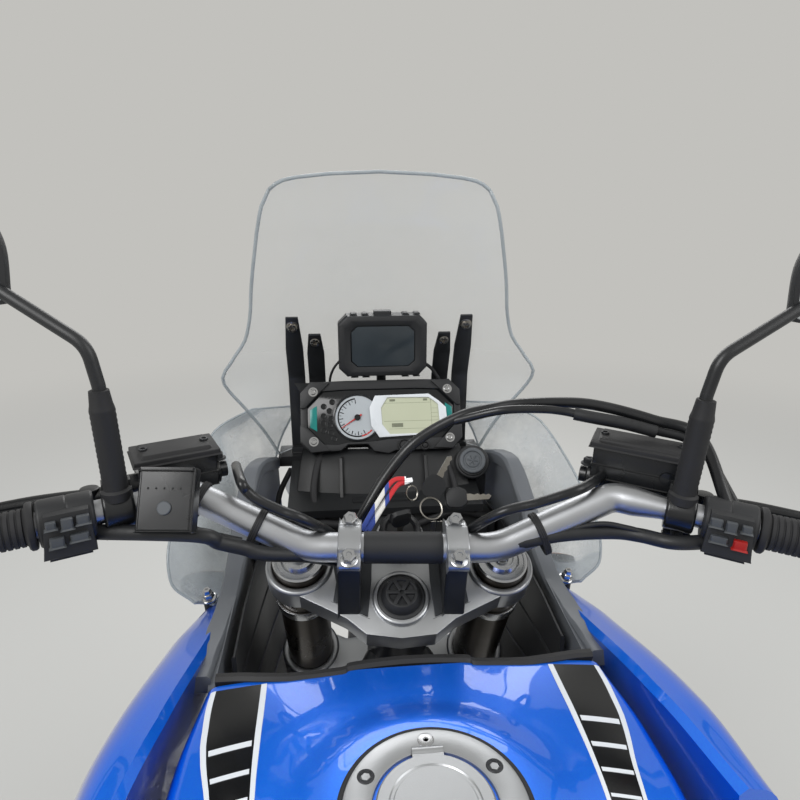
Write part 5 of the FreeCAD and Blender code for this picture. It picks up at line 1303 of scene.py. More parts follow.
piece("screen_arm_plates", bm, powder_coat, "chassis", "screen_arms", slot="black_frame",
      mirror=True, bevel=0.8)
bm = bmesh.new()
for at in (vec(119, 665, 1272), vec(90, 674, 1250)):
    socket_screw(bm, at, vec(0, -0.9, -0.44), 6.5, 3.5)
    lathe(bm, [(-4, 0), (-4, 9), (-0.2, 9.5), (0.4, 8.5), (0.4, 0)], at, vec(0, -0.9, -0.44), 24)
piece("screen_arm_screws", bm, steel, "chassis", slot="steel", mirror=True)

# Instruments: a moulded nylon housing with four raised corner lugs, each with a silver torx screw,
# round a smoked window. Behind it are a row of warning lamps, a round dial with a needle, and a
# long display in a satin white rim. Two rubber buttons sit in the lower edge.
FACE = Matrix(((1, 0, 0), (0, math.sin(RAKE), -math.cos(RAKE)),
               (0, math.cos(RAKE), math.sin(RAKE))))
FACE = Matrix.Translation((0, 650, 1148)) @ FACE.to_4x4()
FACE_OUT = FACE.to_3x3() @ Vector((0, 0, 1))


def on_face(x, along, out=0.0):
    """A point on the tilted face of the instruments."""
    return FACE @ vec(x, along, out)


def plate(bm, outline, low, high):
    """A plate on the instruments' face, from one height above it to another."""
    slab(bm, [on_face(x, s, low) for x, s in outline], FACE_OUT * (high - low))


def rimmed(bm, outer, inner, low, high):
    """A closed frame between two outlines with the same number of corners."""
    rings = [[bm.verts.new(on_face(x, s, out)) for x, s in outline]
             for outline, out in ((outer, low), (outer, high), (inner, high), (inner, low))]
    loops(bm, rings + rings[:1], caps=False)


bm = bmesh.new()
outline = [(-113, -30), (-98, -50), (-58, -48), (-48, -40), (-20, -40), (-12, -50), (8, -54),
           (18, -50), (98, -50), (113, -30), (113, 34), (98, 50), (50, 51), (-50, 51), (-98, 50),
           (-113, 34)]
inside = [(-104, -22), (-88, -38), (-62, -40), (-48, -37), (-20, -37), (-8, -36), (8, -34),
          (18, -34), (86, -34), (104, -18), (104, 22), (88, 36), (50, 38), (-50, 38), (-88, 36),
          (-104, 22)]
plate(bm, outline, -32, -7)
rimmed(bm, outline, inside, -7.2, -1)
for sx in (-1, 1):
    for ss in (-1, 1):
        lug = [(72, 48), (98, 50), (113, 34), (113, 12), (107, 12), (84, 36)]
        points = [(sx * x, ss * s) for x, s in lug]
        plate(bm, points if sx * ss > 0 else points[::-1], -7, 2.2)
piece("cluster_housing", bm, moulding, "chassis", "cluster", slot="black_plastic", bevel=1.6)

smoked = surface("acrylic_smoked_black", "#15171a", "#0d0f11", 60, 9.0, 0.01, (0.1, 0.18))
bm = bmesh.new()
plate(bm, [(x * 0.995, s * 0.995) for x, s in inside], -7, -3.6)
for x, s in ((-69, 21), (-81, 15), (-73, 8.5), (-81.5, 1.4), (-71, -2.4), (-81.5, -8.5),
             (-72.6, -11.7), (-81.5, -19.3), (-71, -22.5), (-67, -31)):
    lathe(bm, [(0, 0), (0, 4.2), (0.7, 4.2), (0.7, 3.6), (0.2, 3.4), (0.2, 0)], on_face(x, s, -3.7),
          FACE_OUT, 24)
piece("cluster_window", bm, smoked, "chassis", slot="lamp_glass", bevel=0.2)

lens_teal = surface("acrylic_teal", "#17877f", "#0f6c68", 30, 5.0, 0.02, (0.12, 0.2))
bm = bmesh.new()
for x, sign in ((-95.3, 1), (96.1, -1)):
    strip = [(-4.7, -14), (4.7, -20), (4.7, 16), (-4.7, 10)]
    outline = [(x + sign * px, s) for px, s in strip]
    plate(bm, outline if sign > 0 else outline[::-1], -3.7, -2.6)
piece("cluster_side_lenses", bm, lens_teal, "chassis", slot="lamp_glass", bevel=0.3)

DIAL = (-34, -2)
dial_grey = surface("dial_print_silver", "#b4b9bc", "#a3a8ab", 40, 4.0, 0.02, (0.3, 0.4))
bm = bmesh.new()
lathe(bm, [(0, 0), (0, 31), (1.2, 31), (1.2, 0)], on_face(*DIAL, -3.8), FACE_OUT, 72)
piece("dial_face", bm, dial_grey, "chassis", slot="black_plastic")
bm = bmesh.new()
ringed(bm, [(-0.5, 30.6), (2.2, 31.4), (2.6, 32.6), (2.0, 34), (-0.5, 34.4)], on_face(*DIAL, -3.6),
       FACE_OUT, 72)
for k in range(19):
    turn = Matrix.Rotation(math.radians(96 + 11 * k), 4, "Z")
    inner_end = 20.0 if k % 2 == 0 else 22.5
    width = 0.55 if k % 2 == 0 else 0.3
    mark = [(inner_end, -width), (25.5, -width), (25.5, width), (inner_end, width)]
    plate(bm, [tuple((turn @ vec(x, s, 0)).xy + Vector(DIAL)) for x, s in mark], -2.7, -2.4)
    if k < 18:
        arc = [(26, 96 + 11 * k), (28, 96 + 11 * k), (28, 107 + 11 * k), (26, 107 + 11 * k)]
        plate(bm, [(DIAL[0] + r * math.cos(math.radians(a)),
                    DIAL[1] + r * math.sin(math.radians(a)))
                   for r, a in arc], -2.7, -2.45)
lathe(bm, [(0, 0), (0, 4.6), (2.4, 4.2), (2.8, 0)], on_face(*DIAL, -2.6), FACE_OUT, 28)
piece("dial_marks", bm, smoked, "chassis", slot="black_plastic")
needle_red = surface("needle_paint_red", "#c8281e", "#a81f17", 20, 3.0, 0.01, (0.3, 0.4))
bm = bmesh.new()
tip = (Vector((-58, -17.5)) - Vector(DIAL)).normalized()
off = Vector((-tip.y, tip.x))
base = Vector(DIAL)
plate(bm, [tuple(base - tip * 7 + off * 1.3), tuple(base + tip * 27 + off * 0.35),
           tuple(base + tip * 27 - off * 0.35), tuple(base - tip * 7 - off * 1.3)], -1.6, -0.9)
for k in range(4):
    a = math.radians(282 + 9 * k)
    b = math.radians(290 + 9 * k)
    plate(bm, [tuple(base + r * Vector((math.cos(t), math.sin(t)))) for r, t in
               ((26, a), (28, a), (28, b), (26, b))], -2.7, -2.3)
piece("dial_needle", bm, needle_red, "chassis", slot="black_plastic")

RIM = [(-8.5, 28.3), (68, 29.3), (82, 19), (92, 9.3), (93, -12.7), (71, -28.8), (-4, -31.5),
       (-15, -14.8), (-16.7, 11.2)]
GLASS = [(8.7, 25.2), (68, 24), (75, 19), (81, 13.8), (82, -12.2), (69, -27.2), (10.9, -27.2),
         (0.5, -13.2), (-0.4, 10.5)]
white_rim = surface("moulded_abs_satin_white", "#dfe2e4", "#cfd3d6", 50, 1.5, 0.03, (0.25, 0.35))
bm = bmesh.new()
rimmed(bm, RIM[::-1], GLASS[::-1], -3.7, -0.4)
piece("display_rim", bm, white_rim, "chassis", slot="black_plastic", bevel=0.7)
lcd_glass = surface("liquid_crystal_display", "#c3c6ad", "#b6b99f", 60, 8.0, 0.01, (0.1, 0.16))
bm = bmesh.new()
plate(bm, GLASS[::-1], -3.7, -2.2)
piece("display_glass", bm, lcd_glass, "chassis", slot="lamp_glass")
lcd_ink = surface("liquid_crystal_ink", "#80836f", "#6d705e", 20, 3.0, 0.01, (0.2, 0.3))
bm = bmesh.new()
for x0, x1, s0, s1 in ((3, 70, 16.8, 17.2), (3, 80, -9.2, -8.8), (10, 72, -20.2, -19.8),
                       (70.6, 71, -24, 22), (71, 80, 8.2, 8.5), (71, 80, 1.6, 1.9),
                       (71, 80, -4, -3.7), (12, 20, 19.4, 22.6), (60, 66, 19.4, 22.6),
                       (14, 30, -17.6, -12)):
    plate(bm, [(x0, s0), (x1, s0), (x1, s1), (x0, s1)], -2.25, -2.15)
piece("display_lines", bm, lcd_ink, "chassis", slot="lamp_glass")

bm = bmesh.new()
for x, s, r in ((30.3, -43.4, 9.2), (59.4, -44.6, 6.6)):
    lathe(bm, [(-4, 0), (-4, r), (1.0, r), (1.8, r - 0.8), (1.8, r - 1.8), (-0.6, r - 2.4),
               (-0.6, r - 3.2), (1.4, r - 3.6), (2.0, r - 5), (2.0, 0)], on_face(x, s), FACE_OUT,
          40)
piece("cluster_buttons", bm, rubber, "chassis", slot="rubber")
bm = bmesh.new()
for x in (-95, 95):
    for s in (-35, 35):
        lathe(bm, [(0, 0), (0, 6.6), (0.8, 6.6), (0.8, 4.6), (2.4, 4.4), (3.2, 3.6), (3.2, 2.0),
                   (1.4, 1.7), (1.4, 0)], on_face(x, s, 2.0), FACE_OUT, 30)
piece("cluster_screws", bm, chrome, "chassis", slot="steel")

# Navigator: a rubber-armoured case with a recessed screen, on a ball and a bent steel post, and the
# thin lead that feeds it from behind the instruments
bm = bmesh.new()
case = [(-58, 1211), (-46, 1199), (54, 1199), (66, 1211), (66, 1274), (54, 1286), (-46, 1286),
        (-58, 1274)]
slab(bm, [vec(x, 672, z) for x, z in case], vec(0, 22, 0))
corners = [(vec(x, 672, z), vec(4 + (x - 4) * 0.72, 668.5, 1242.5 + (z - 1242.5) * 0.66))
           for x, z in case]
rings = [[bm.verts.new(a) for a, b in corners],
         [bm.verts.new(a.lerp(b, 0.12) + vec(0, -4.2, 0)) for a, b in corners],
         [bm.verts.new(a.lerp(b, 0.5) + vec(0, -4.6, 0)) for a, b in corners],
         [bm.verts.new(b + vec(0, -0.6, 0)) for a, b in corners],
         [bm.verts.new(b + vec(0, 4, 0)) for a, b in corners]]
loops(bm, rings)
for x in (-36, -20, 36, 52):
    block(bm, (x - 4, x + 4), (674, 692), (1285.5, 1288))
    block(bm, (x - 4, x + 4), (674, 692), (1197, 1199.5))
block(bm, (-8, 16), (672, 690), (1285, 1291))
tube(bm, [vec(4, 692, 1226), vec(4, 708, 1216)], 9, 20)
lathe(bm, [(-12, 0), (-10, 6.6), (-6, 10.4), (0, 12), (6, 10.4), (10, 6.6), (12, 0)],
      vec(4, 708, 1216), UP, 24)
tube(bm, rounded([vec(4, 708, 1216), vec(4, 718, 1190), vec(4, 714, 1080)], 20), 7, 20)
piece("navigator_case", bm, moulding, "chassis", "gps", slot="black_plastic", bevel=1.2)
screen_dark = surface("display_glass_dark", "#3a4146", "#20262a", 60, 8.0, 0.01, (0.06, 0.12))
bm = bmesh.new()
slab(bm, [vec(4 + (x - 4) * 0.7, 667.4, 1242.5 + (z - 1242.5) * 0.64) for x, z in case],
     vec(0, 1.6, 0))
piece("navigator_screen", bm, screen_dark, "chassis", slot="lamp_glass")
bm = bmesh.new()
tube(bm, flowing([vec(64, 684, 1214), vec(76, 686, 1204), vec(86, 684, 1188), vec(88, 690, 1170),
                  vec(84, 702, 1150)]), 2.4, 10)
tube(bm, flowing([vec(-54, 686, 1222), vec(-66, 692, 1206), vec(-72, 698, 1186),
                  vec(-70, 704, 1160)]),
     1.8, 10)
piece("navigator_lead", bm, rubber, "chassis", slot="rubber")

# Dash: black nylon mouldings between the instruments and the steering head, clipped over the
# frame's welded stay, with relays, connectors and taped looms on the tray below them
dash = surface("moulded_nylon_black", "#1d1e20", "#131415", 110, 1.3, 0.14, (0.42, 0.58))
dress(dash, "cockpit")
bm = bmesh.new()
profile = [(641, 1102), (628, 1096), (612, 1078), (600, 1058), (584, 1040), (572, 1022),
           (566, 1000), (566, 992), (578, 992), (584, 1014), (598, 1030), (614, 1052), (626, 1070),
           (644, 1086)]
rings = []
for i in range(17):
    x = -112 + 14 * i
    widen = 10 * (abs(x) / 112) ** 2
    rings.append([bm.verts.new(vec(x * (1 + 0.16 * (1102 - z) / 110), y + widen, z)) for y, z in
                  profile])
loops(bm, rings)
for side in (-1, 1):
    slab(bm, [vec(side * 56, y - 2.5, z) for y, z in
              ((628, 1096), (606, 1068), (590, 1048), (596, 1048),
               (612, 1066), (634, 1092))],
         vec(side * 5, 0, 0))
block(bm, (-44, 44), (578, 600), (1040, 1052))
piece("dash_cover", bm, dash, "chassis", slot="black_plastic", bevel=1.4)
bm = bmesh.new()
for x0, x1, y0, y1, z1 in ((-150, -96, 580, 622, 1018), (-88, -62, 572, 606, 1012),
                           (62, 104, 574, 616, 1022), (112, 152, 580, 630, 1012)):
    block(bm, (x0, x1), (y0, y1), (989.6, z1))
    block(bm, (x0 + 4, x1 - 4), (y0 + 4, y1 - 4), (z1 - 0.5, z1 + 3))
    block(bm, ((x0 + x1) / 2 - 7, (x0 + x1) / 2 + 7), (y0 - 8, y0 + 1), (z1 - 16, z1 - 4))
piece("relay_boxes", bm, moulding, "chassis", slot="black_plastic", bevel=1.2)
bm = bmesh.new()
for line, radius in (
    ([(-160, 590, 998), (-140, 574, 1016), (-92, 570, 1026), (-40, 568, 1018), (0, 570, 1012)],
     6.0),
    ([(160, 600, 1000), (136, 580, 1020), (92, 572, 1034), (46, 570, 1020), (4, 572, 1008)], 5.0),
    ([(-84, 572, 1022), (-96, 590, 1052), (-92, 622, 1084), (-80, 656, 1104)], 4.6),
    ([(88, 574, 1024), (98, 592, 1050), (92, 626, 1082), (82, 660, 1104)], 4.2),
    ([(-150, 612, 1018), (-146, 640, 1040), (-132, 670, 1062)], 4.0),
):
    tube(bm, flowing([vec(*p) for p in line]), radius, 14)
piece("dash_looms", bm, rubber, "chassis", slot="rubber")

# Power socket: a grey nylon cap with three ribs in a black moulded pod, right of the instruments
# and clipped to the dash, with its lead behind
SOCKET = vec(124, 612, 1090)
SOCKET_OUT = vec(-0.12, -0.8, 0.55).normalized()
bm = bmesh.new()
lathe(bm, [(-34, 0), (-34, 20), (-30, 22), (-8, 24), (-6, 22.5), (-6, 20.5), (-3, 20), (-3, 0)],
      SOCKET, SOCKET_OUT, 40)
block(bm, (104, 146), (622, 660), (1030, 1078))
tube(bm, rounded([SOCKET - SOCKET_OUT * 30, vec(128, 640, 1058), vec(132, 640, 992)], 12), 7, 16)
piece("socket_pod", bm, moulding, "chassis", slot="black_plastic", bevel=1.2)
bm = bmesh.new()
lathe(bm, [(-3.4, 0), (-3.4, 18), (1, 18), (2, 17), (2, 13.4), (0, 12.6), (0, 10), (1.6, 9.4),
           (1.6, 0)],
      SOCKET, SOCKET_OUT, 40)
for k in range(3):
    turn = Matrix.Rotation(math.radians(60 * k), 4, SOCKET_OUT)
    side_way = turn @ SOCKET_OUT.orthogonal().normalized()
    tube(bm, [SOCKET + SOCKET_OUT * 1.6 - side_way * 7, SOCKET + SOCKET_OUT * 1.6 + side_way * 7],
         1.1, 8)
socket_grey = surface("moulded_nylon_grey", "#565a5e", "#43474b", 40, 1.2, 0.08, (0.4, 0.55))
piece("socket_cap", bm, socket_grey, "chassis", slot="black_plastic", bevel=0.4)

# Fairing's inner faces: grey grained mouldings, with a stepped lip that runs back to the tank's
# corner
fairing_grey = surface("moulded_abs_grey", "#6a6d71", "#585b5f", 110, 1.3, 0.12, (0.42, 0.56))
dress(fairing_grey, "inner_fairing")
bm = bmesh.new()
lip = [(196, 318, 1004), (193, 372, 1003), (190, 436, 1002), (187, 490, 1022), (184, 552, 1064),
       (176, 604, 1094), (161, 672, 1076)]
path = flowing([vec(*p) for p in lip], 6)
rings = []
for i, p in enumerate(path):
    lift = 1.6 if (i // 3) % 2 else 0.0
    rings.append([bm.verts.new(p + vec(dx, 0, dz)) for dx, dz in
                  ((-13, -12), (-14, 2), (-11, 5 + lift), (6, 5 + lift), (9, 1), (8, -12))])
loops(bm, rings)
piece("fairing_lips", bm, fairing_grey, "chassis", slot="black_plastic", bevel=0.7, mirror=True)

# Fork shrouds: thin moulded sheets inside the fairing that hide the wheel well, with stiffening
# beads
bm = bmesh.new()
rows = ((352, 165, 842, 1000), (420, 165, 792, 1006), (500, 163, 748, 1010), (580, 158, 726, 1014),
        (648, 148, 724, 1018))
rings = [[bm.verts.new(vec(x + out, y, z)) for out, z in ((0, low), (3, low), (3, high), (0, high))]
         for y, x, low, high in rows]
loops(bm, rings)
for share in (0.25, 0.5, 0.75):
    tube(bm, [vec(x + 0.6, y, low + (high - low) * share) for y, x, low, high in rows], 2.6, 8)
piece("fork_shrouds", bm, moulding, "chassis", slot="black_plastic", mirror=True, bevel=0.8)

# Ignition switch: a zinc-cast barrel in the top clamp's front lug, under a black knurled bezel. The
# key stands in it, and its ring carries two spare keys and a woven strap in red, white and blue.
bm = bmesh.new()
lathe(bm, [(0, 0), (0, 26), (39, 26), (41, 24.5), (41, 0)], on_axis(0, 70, 1153), TURN_AXIS, 48)
slab(bm, [on_axis(x, y, 1162) for x, y in ((-24, 44), (24, 44), (24, 72), (-24, 72))],
     TURN_AXIS * 24)
piece("ignition_barrel", bm, silver_cast, "steering", slot="silver_cast", bevel=1.2)
bm = bmesh.new()
lathe(bm, [(0, 0), (0, 22), (14, 22), (17, 20.5), (17.6, 18.5), (16.6, 16.5), (12, 14.5), (11, 9),
           (11, 3), (7, 2.4), (7, 0)], on_axis(0, 70, 1190), TURN_AXIS, 48)
for k in range(20):  # the knurl
    a = 2 * math.pi * k / 20
    at = on_axis(21.8 * math.cos(a), 70 + 21.8 * math.sin(a), 1195)
    tube(bm, [at, at + TURN_AXIS * 9], 1.1, 6)
piece("ignition_bezel", bm, moulding, "steering", slot="black_plastic")


def key(blades, bows, root, along, across):
    """A key: a bow of moulded plastic and a milled blade, from the bow's end along a direction."""
    along, across = along.normalized(), (across - along * across.dot(along)).normalized()
    through = along.cross(across)
    bow = [(-11, -6), (-8, -10), (4, -11), (10, -8), (12, -4), (12, 4), (10, 8), (4, 11), (-8, 10),
           (-11, 6)]
    slab(bows, [root + along * a + across * b - through * 2.6 for a, b in bow], through * 5.2)
    blade = [(11, -3.6), (36, -3.6), (39, 0), (36, 2.4), (33, 1.2), (30, 2.8), (27, 1.6), (24, 3.4),
             (20, 2.2), (16, 3.6), (11, 3.6)]
    slab(blades, [root + along * a + across * b - through * 1.1 for a, b in blade], through * 2.2)


blades, bows = bmesh.new(), bmesh.new()
key(blades, bows, on_axis(0, 70, 1224), -TURN_AXIS, vec(1, 0.35, 0))
key(blades, bows, vec(62, 446, 1120), vec(1, -0.05, 0.1), vec(0, 0.6, 1))
key(blades, bows, vec(36, 444, 1134), vec(0.5, 0.3, 0.8), vec(1, 0, -0.4))
for x, drop in ((33, 0), (39, 2), (44, 0)):
    slab(blades, [vec(x, 420, 1104), vec(x + 5, 420, 1105), vec(x + 4, 424, 1080 - drop),
                  vec(x - 1, 424, 1080 - drop)], vec(0.6, 1.6, 0.2))
piece("key_bows", bows, moulding, "steering", slot="black_plastic", bevel=1.4)
RING_AT, RING_TILT = vec(33, 428, 1116), vec(0.15, -0.7, 0.7).normalized()
ring_side = RING_TILT.orthogonal().normalized()
circle = [RING_AT + Matrix.Rotation(2 * math.pi * i / 36, 3, RING_TILT) @ ring_side * 12
          for i in range(37)]
tube(blades, circle, 1.0, 8)
circle = [vec(12, 432, 1132) + Matrix.Rotation(2 * math.pi * i / 30, 3, vec(0.5, -0.6, 0.3))
          @ vec(0.3, 0.5, 0.5) * 10 for i in range(31)]
tube(blades, circle, 0.9, 8)
piece("key_blades_and_rings", blades, steel, "steering", slot="steel")
strap, tree, shader, place = plain("woven_polyester_strap", "#c21f26", {"Roughness": 0.75,
                                                                      "Sheen Weight": 0.3})
# Twill of about 0.4 mm, drawn at 1.2 mm so that it shows, over stripes of red, white and blue
across_strap = node(tree, "ShaderNodeSeparateXYZ", {0: place})
stripes = node(tree, "ShaderNodeMapRange",
               {0: across_strap.outputs[0], 1: -0.04, 2: 0.01, 3: 0.0, 4: 1.0})
bands = node(tree, "ShaderNodeValToRGB", {0: stripes.outputs[0]})
bands.color_ramp.interpolation = "CONSTANT"
for at, colour in ((0.0, "#27408f"), (0.34, "#d9d6d0"), (0.56, "#27408f"), (0.66, "#c21f26")):
    stop = bands.color_ramp.elements.new(at) if at else bands.color_ramp.elements[0]
    stop.color = linear(colour)
twill = node(tree, "ShaderNodeTexWave", {"Vector": place, "Scale": 260.0, "Distortion": 0.4})
weave = node(tree, "ShaderNodeBump",
             {"Height": twill.outputs[1], "Strength": 0.5, "Distance": 0.0003})
tree.links.new(bands.outputs[0], shader.inputs["Base Color"])
tree.links.new(weave.outputs[0], shader.inputs["Normal"])
bm = bmesh.new()
for shift, lift in ((0, 0), (4, 4), (-3, 7)):
    tube(bm, flowing([vec(8 + shift, 432, 1146 + lift * 0.4), vec(-6 + shift, 430, 1140 + lift),
                      vec(-20 + shift, 418, 1124 + lift),
                      vec(-38 + shift, 400, 1103 + lift * 0.3)]),
         2.6, 10, 0.6)
piece("key_strap", bm, strap, "steering", slot="rubber")

# Brake and clutch cylinders: die-cast aluminium painted black, clamped to the bar by two socket
# screws. Each has a flat reservoir under a screwed lid with a rubber lip, and a banjo for its hose.
gloss_black = surface("die_cast_paint_black", "#1c1d1f", "#111213", 50, 1.3, 0.06, (0.2, 0.34))


def bar_box(bm, s, n, up, side, taper=0.0):
    """A block on the bar's own axes: (low, high) pairs along it, ahead of it and above it."""
    low = [at_bar(a, b, up[0], side) for a, b in
           ((s[0], n[0]), (s[1], n[0]), (s[1], n[1]), (s[0], n[1]))]
    high = [at_bar(a, b, up[1], side) for a, b in
            ((s[0] + taper, n[0] + taper), (s[1] - taper, n[0] + taper),
             (s[1] - taper, n[1] - taper), (s[0] + taper, n[1] - taper))]
    loops(bm, [[bm.verts.new(p) for p in low], [bm.verts.new(p) for p in high]])


bm, lids, screws, wet = bmesh.new(), bmesh.new(), bmesh.new(), bmesh.new()
for side, near, long, base in ((1, -26, 90, 6), (-1, -34, 74, -8)):
    out = at_bar(1, side=side) - at_bar(0, side=side)
    fore = at_bar(0, 1, side=side) - at_bar(0, side=side)
    lathe(bm, [(0, BAR_BORE), (0, 17.5), (2, 19), (24, 19), (26, 17.5), (26, BAR_BORE),
               (0, BAR_BORE)],
          at_bar(48, side=side), out, 36)
    bar_box(bm, (49, 73), (-4, 8), (10, 27), side)
    bar_box(bm, (49, 73), (-4, 8), (-27, -10), side)
    bar_box(bm, (50, 72), (8, 44), (-11, 11), side)
    tube(bm, [at_bar(near - 4, 42, 0, side), at_bar(70, 42, 0, side)], 12, 28)
    lathe(bm, [(0, 0), (0, 8.5), (7, 8.5), (8, 13.4), (14, 13.4), (15, 12), (15, 0)],
          at_bar(near - 12, 42, 0, side), out, 28)
    bar_box(bm, (near, near + long), (24, 68), (base, base + 14), side)
    bar_box(bm, (near + 0.6, near + long - 0.6), (24.6, 67.4), (base + 14.4, base + 32.5), side)
    bar_box(bm, (near + 20, near + 62), (28, 56), (-10, 8), side)
    bar_box(lids, (near - 3, near + long + 3), (21, 71), (base + 33, base + 38.5), side)
    bar_box(lids, (near + 4, near + long - 4), (27, 65), (base + 38.5, base + 41.5), side, 1.5)
    for s in (near + 8, near + long - 8):
        socket_screw(screws, at_bar(s, 46, base + 41.5, side), UP, 4.2, 2.0)
    for up in (18, -19):
        socket_screw(screws, at_bar(61, -4, up, side), -fore, 5.4, 5.0)
    hex_bolt(screws, at_bar(near - 4, 42, 12, side), UP, 8, 10, 7)
    lathe(wet, [(0, 0), (0, 7), (1.6, 6.4), (1.6, 0)],
          at_bar(near + long - 18, 24.4, base + 14, side), -fore, 24)
piece("brake_and_clutch_cylinders", bm, gloss_black, "steering", "master_cylinders", bevel=2.0,
      slot="black_frame", segments=3)
piece("reservoir_lids", lids, rubber, "steering", slot="rubber", bevel=1.4, segments=3)
piece("cylinder_screws", screws, cast_dark, "steering", slot="steel")
piece("reservoir_windows", wet, smoked, "steering", slot="lamp_glass")

# Hand levers: forged aluminium, painted black, that taper to a ball, each with a knurled wheel for
# its reach and a pivot screw
bm = bmesh.new()
for side in (-1, 1):
    path = flowing([at_bar(s, n, up, side) for s, n, up in
                    ((70, 40, -2), (84, 43, -2), (108, 52, -3), (134, 57, -3), (170, 61, -4),
                     (206, 65, -4), (234, 66, -4))], 6)
    count = len(path) - 1
    tube(bm, path, [8.2 - 3.2 * min(1, i / count * 1.3) for i in range(count + 1)], 16, 0.72)
    lathe(bm, [(-9, 0), (-8, 4.5), (-4, 8), (0, 9), (4, 8), (8, 4.5), (9, 0)],
          at_bar(236, 66, -4, side), UP, 20)
    lathe(bm, [(-8, 0), (-8, 8.5), (8, 8.5), (8, 0)], at_bar(82, 43, -2, side), UP, 20)
    lathe(bm, [(0, 0), (0, 6), (1, 7), (6, 7), (7, 6), (7, 0)], at_bar(94, 40, -2, side),
          at_bar(0, -1, 0, side) - at_bar(0, 0, 0, side), 12)
piece("hand_lever_blades", bm, gloss_black, "steering", "hand_levers", slot="black_frame",
      bevel=0.5)

# Switch housings: two nylon halves screwed together round the bar, with rocker and push buttons
# that face the rider, the lower half carrying the wires
bm, buttons, reds = bmesh.new(), bmesh.new(), bmesh.new()
for side in (-1, 1):
    out = at_bar(1, side=side) - at_bar(0, side=side)
    lathe(bm, [(0, BAR_BORE), (0, 19.5), (2, 21), (20, 21), (20.6, 20.4), (21.4, 20.4), (22, 21),
               (42, 21), (44, 19.5), (44, BAR_BORE), (0, BAR_BORE)], at_bar(80, side=side), out, 40)
    bar_box(bm, (82, 122), (-26, -2), (-22, 16), side, 3)
    bar_box(bm, (86, 118), (-20, 6), (-27, -16), side, 0)
    for s, up, wide, high in ((90, 9, 5, 4), (102, 8, 4.5, 5), (114, 9, 4, 3.5), (94, -6, 7, 3.5),
                              (111, -7, 5.5, 4.5)):
        target = reds if side > 0 and s == 111 else buttons
        bar_box(target, (s - wide, s + wide), (-29, -24), (up - high, up + high), side)
piece("switch_housings", bm, moulding, "steering", slot="black_plastic", bevel=1.6)
button_grey = surface("moulded_pom_grey", "#4a4d50", "#3c3f42", 30, 1.0, 0.05, (0.35, 0.5))
piece("switch_buttons", buttons, button_grey, "steering", slot="black_plastic", bevel=1.2)
stop_red = surface("moulded_pom_red", "#a81e19", "#8a1814", 30, 1.0, 0.04, (0.3, 0.42))
piece("stop_button", reds, stop_red, "steering", slot="red_lens", bevel=1.2)

# Heated-grip control: a flat potted box tied to the left knee, with one round grey button and a row
# of five lamps above it
HEATER = Matrix.Translation((-210, 334, 1170)) @ Matrix.Rotation(math.radians(-28), 4, "X")
bm = bmesh.new()
block(bm, (-24, 24), (-8.5, 10), (-28, 28), HEATER)
block(bm, (-22, 22), (-10, -8), (-26, 25), HEATER)
block(bm, (-23, 23), (-10.6, 9), (25, 28.6), HEATER)
tube(bm, [vec(-208, 340, 1168), vec(-205, 374, 1158)], 6, 16)
piece("heater_control_case", bm, gloss_black, "steering", "switchgear", bevel=1.5,
      slot="black_plastic", segments=3)
bm = bmesh.new()
lathe(bm, [(0, 0), (0, 6), (1.6, 6), (2.2, 5.2), (2.2, 0)], HEATER @ vec(0, -9.6, -7),
      HEATER.to_3x3() @ vec(0, -1, 0), 32)
piece("heater_button", bm, socket_grey, "steering", slot="black_plastic")
bm = bmesh.new()
for x in (-15, -8, -1, 6, 13):
    lathe(bm, [(0, 0), (0, 1.1), (0.6, 0.8), (0.6, 0)], HEATER @ vec(x, -9.8, 10),
          HEATER.to_3x3() @ vec(0, -1, 0), 12)
piece("heater_lamps", bm, smoked, "steering", slot="lamp_glass")

# Mirrors: silvered glass in a moulded shell, on a bent steel stalk that is powder coated and
# screwed into the clamp under a ribbed rubber boot
mirror_glass = surface("mirror_glass", "#cfd4d8", "#c2c8cc", 200, 20, 0.005, (0.02, 0.04),
                       metal=1.0)
shells, stalks, boots, glasses = bmesh.new(), bmesh.new(), bmesh.new(), bmesh.new()
HEAD = [(-74, -30), (-62, -36), (48, -44), (62, -38), (73, -12), (66, 36), (56, 42), (-50, 44),
        (-66, 38), (-76, 12)]
for side in (-1, 1):
    base = at_bar(61, -4, 24)
    elbow, neck = base + vec(4, -2, 92), base + vec(78, 14, 168)
    centre = neck + vec(74, 4, 22)

    def put(p):
        """Takes a point of the right mirror to this side."""
        return vec(p.x * side, p.y, p.z)

    outline = flowing([vec(x, 0, z) for x, z in HEAD + HEAD[:1]], 5)[:-1]
    rings = [[shells.verts.new(put(centre + vec(p.x * share, y, p.z * share))) for p in outline]
             for y, share in ((2, 0.9), (-1.5, 0.93), (-1.0, 0.99), (4, 1.0), (14, 0.93),
                              (22, 0.72), (26, 0.4))]
    loops(shells, rings)
    slab(glasses, [put(centre + vec(p.x * 0.92, -0.2, p.z * 0.92)) for p in outline],
         vec(0, 1.2, 0))
    tube(stalks, [put(p) for p in
                  rounded([base, elbow, elbow + vec(6, 0, 34), neck + vec(26, 8, 10)], 26)],
         5.6, 16)
    lathe(boots, [(0, 0), (0, 13), (8, 13), (10, 10.5)] + [(12 + 5 * i + d, r) for i in range(15)
          for d, r in ((0, 10.6), (2.5, 10.2))] + [(88, 9.4), (100, 8.2), (102, 0)],
          put(base - vec(0, 0, 12)), put(elbow - base), 28)
piece("mirror_shells", shells, moulding, "steering", "mirrors", slot="black_plastic", smooth=50)
piece("mirror_stalks", stalks, powder_coat, "steering", slot="black_frame")
piece("mirror_boots", boots, rubber, "steering", slot="rubber")
piece("mirror_panes", glasses, mirror_glass, "steering", slot="chrome")

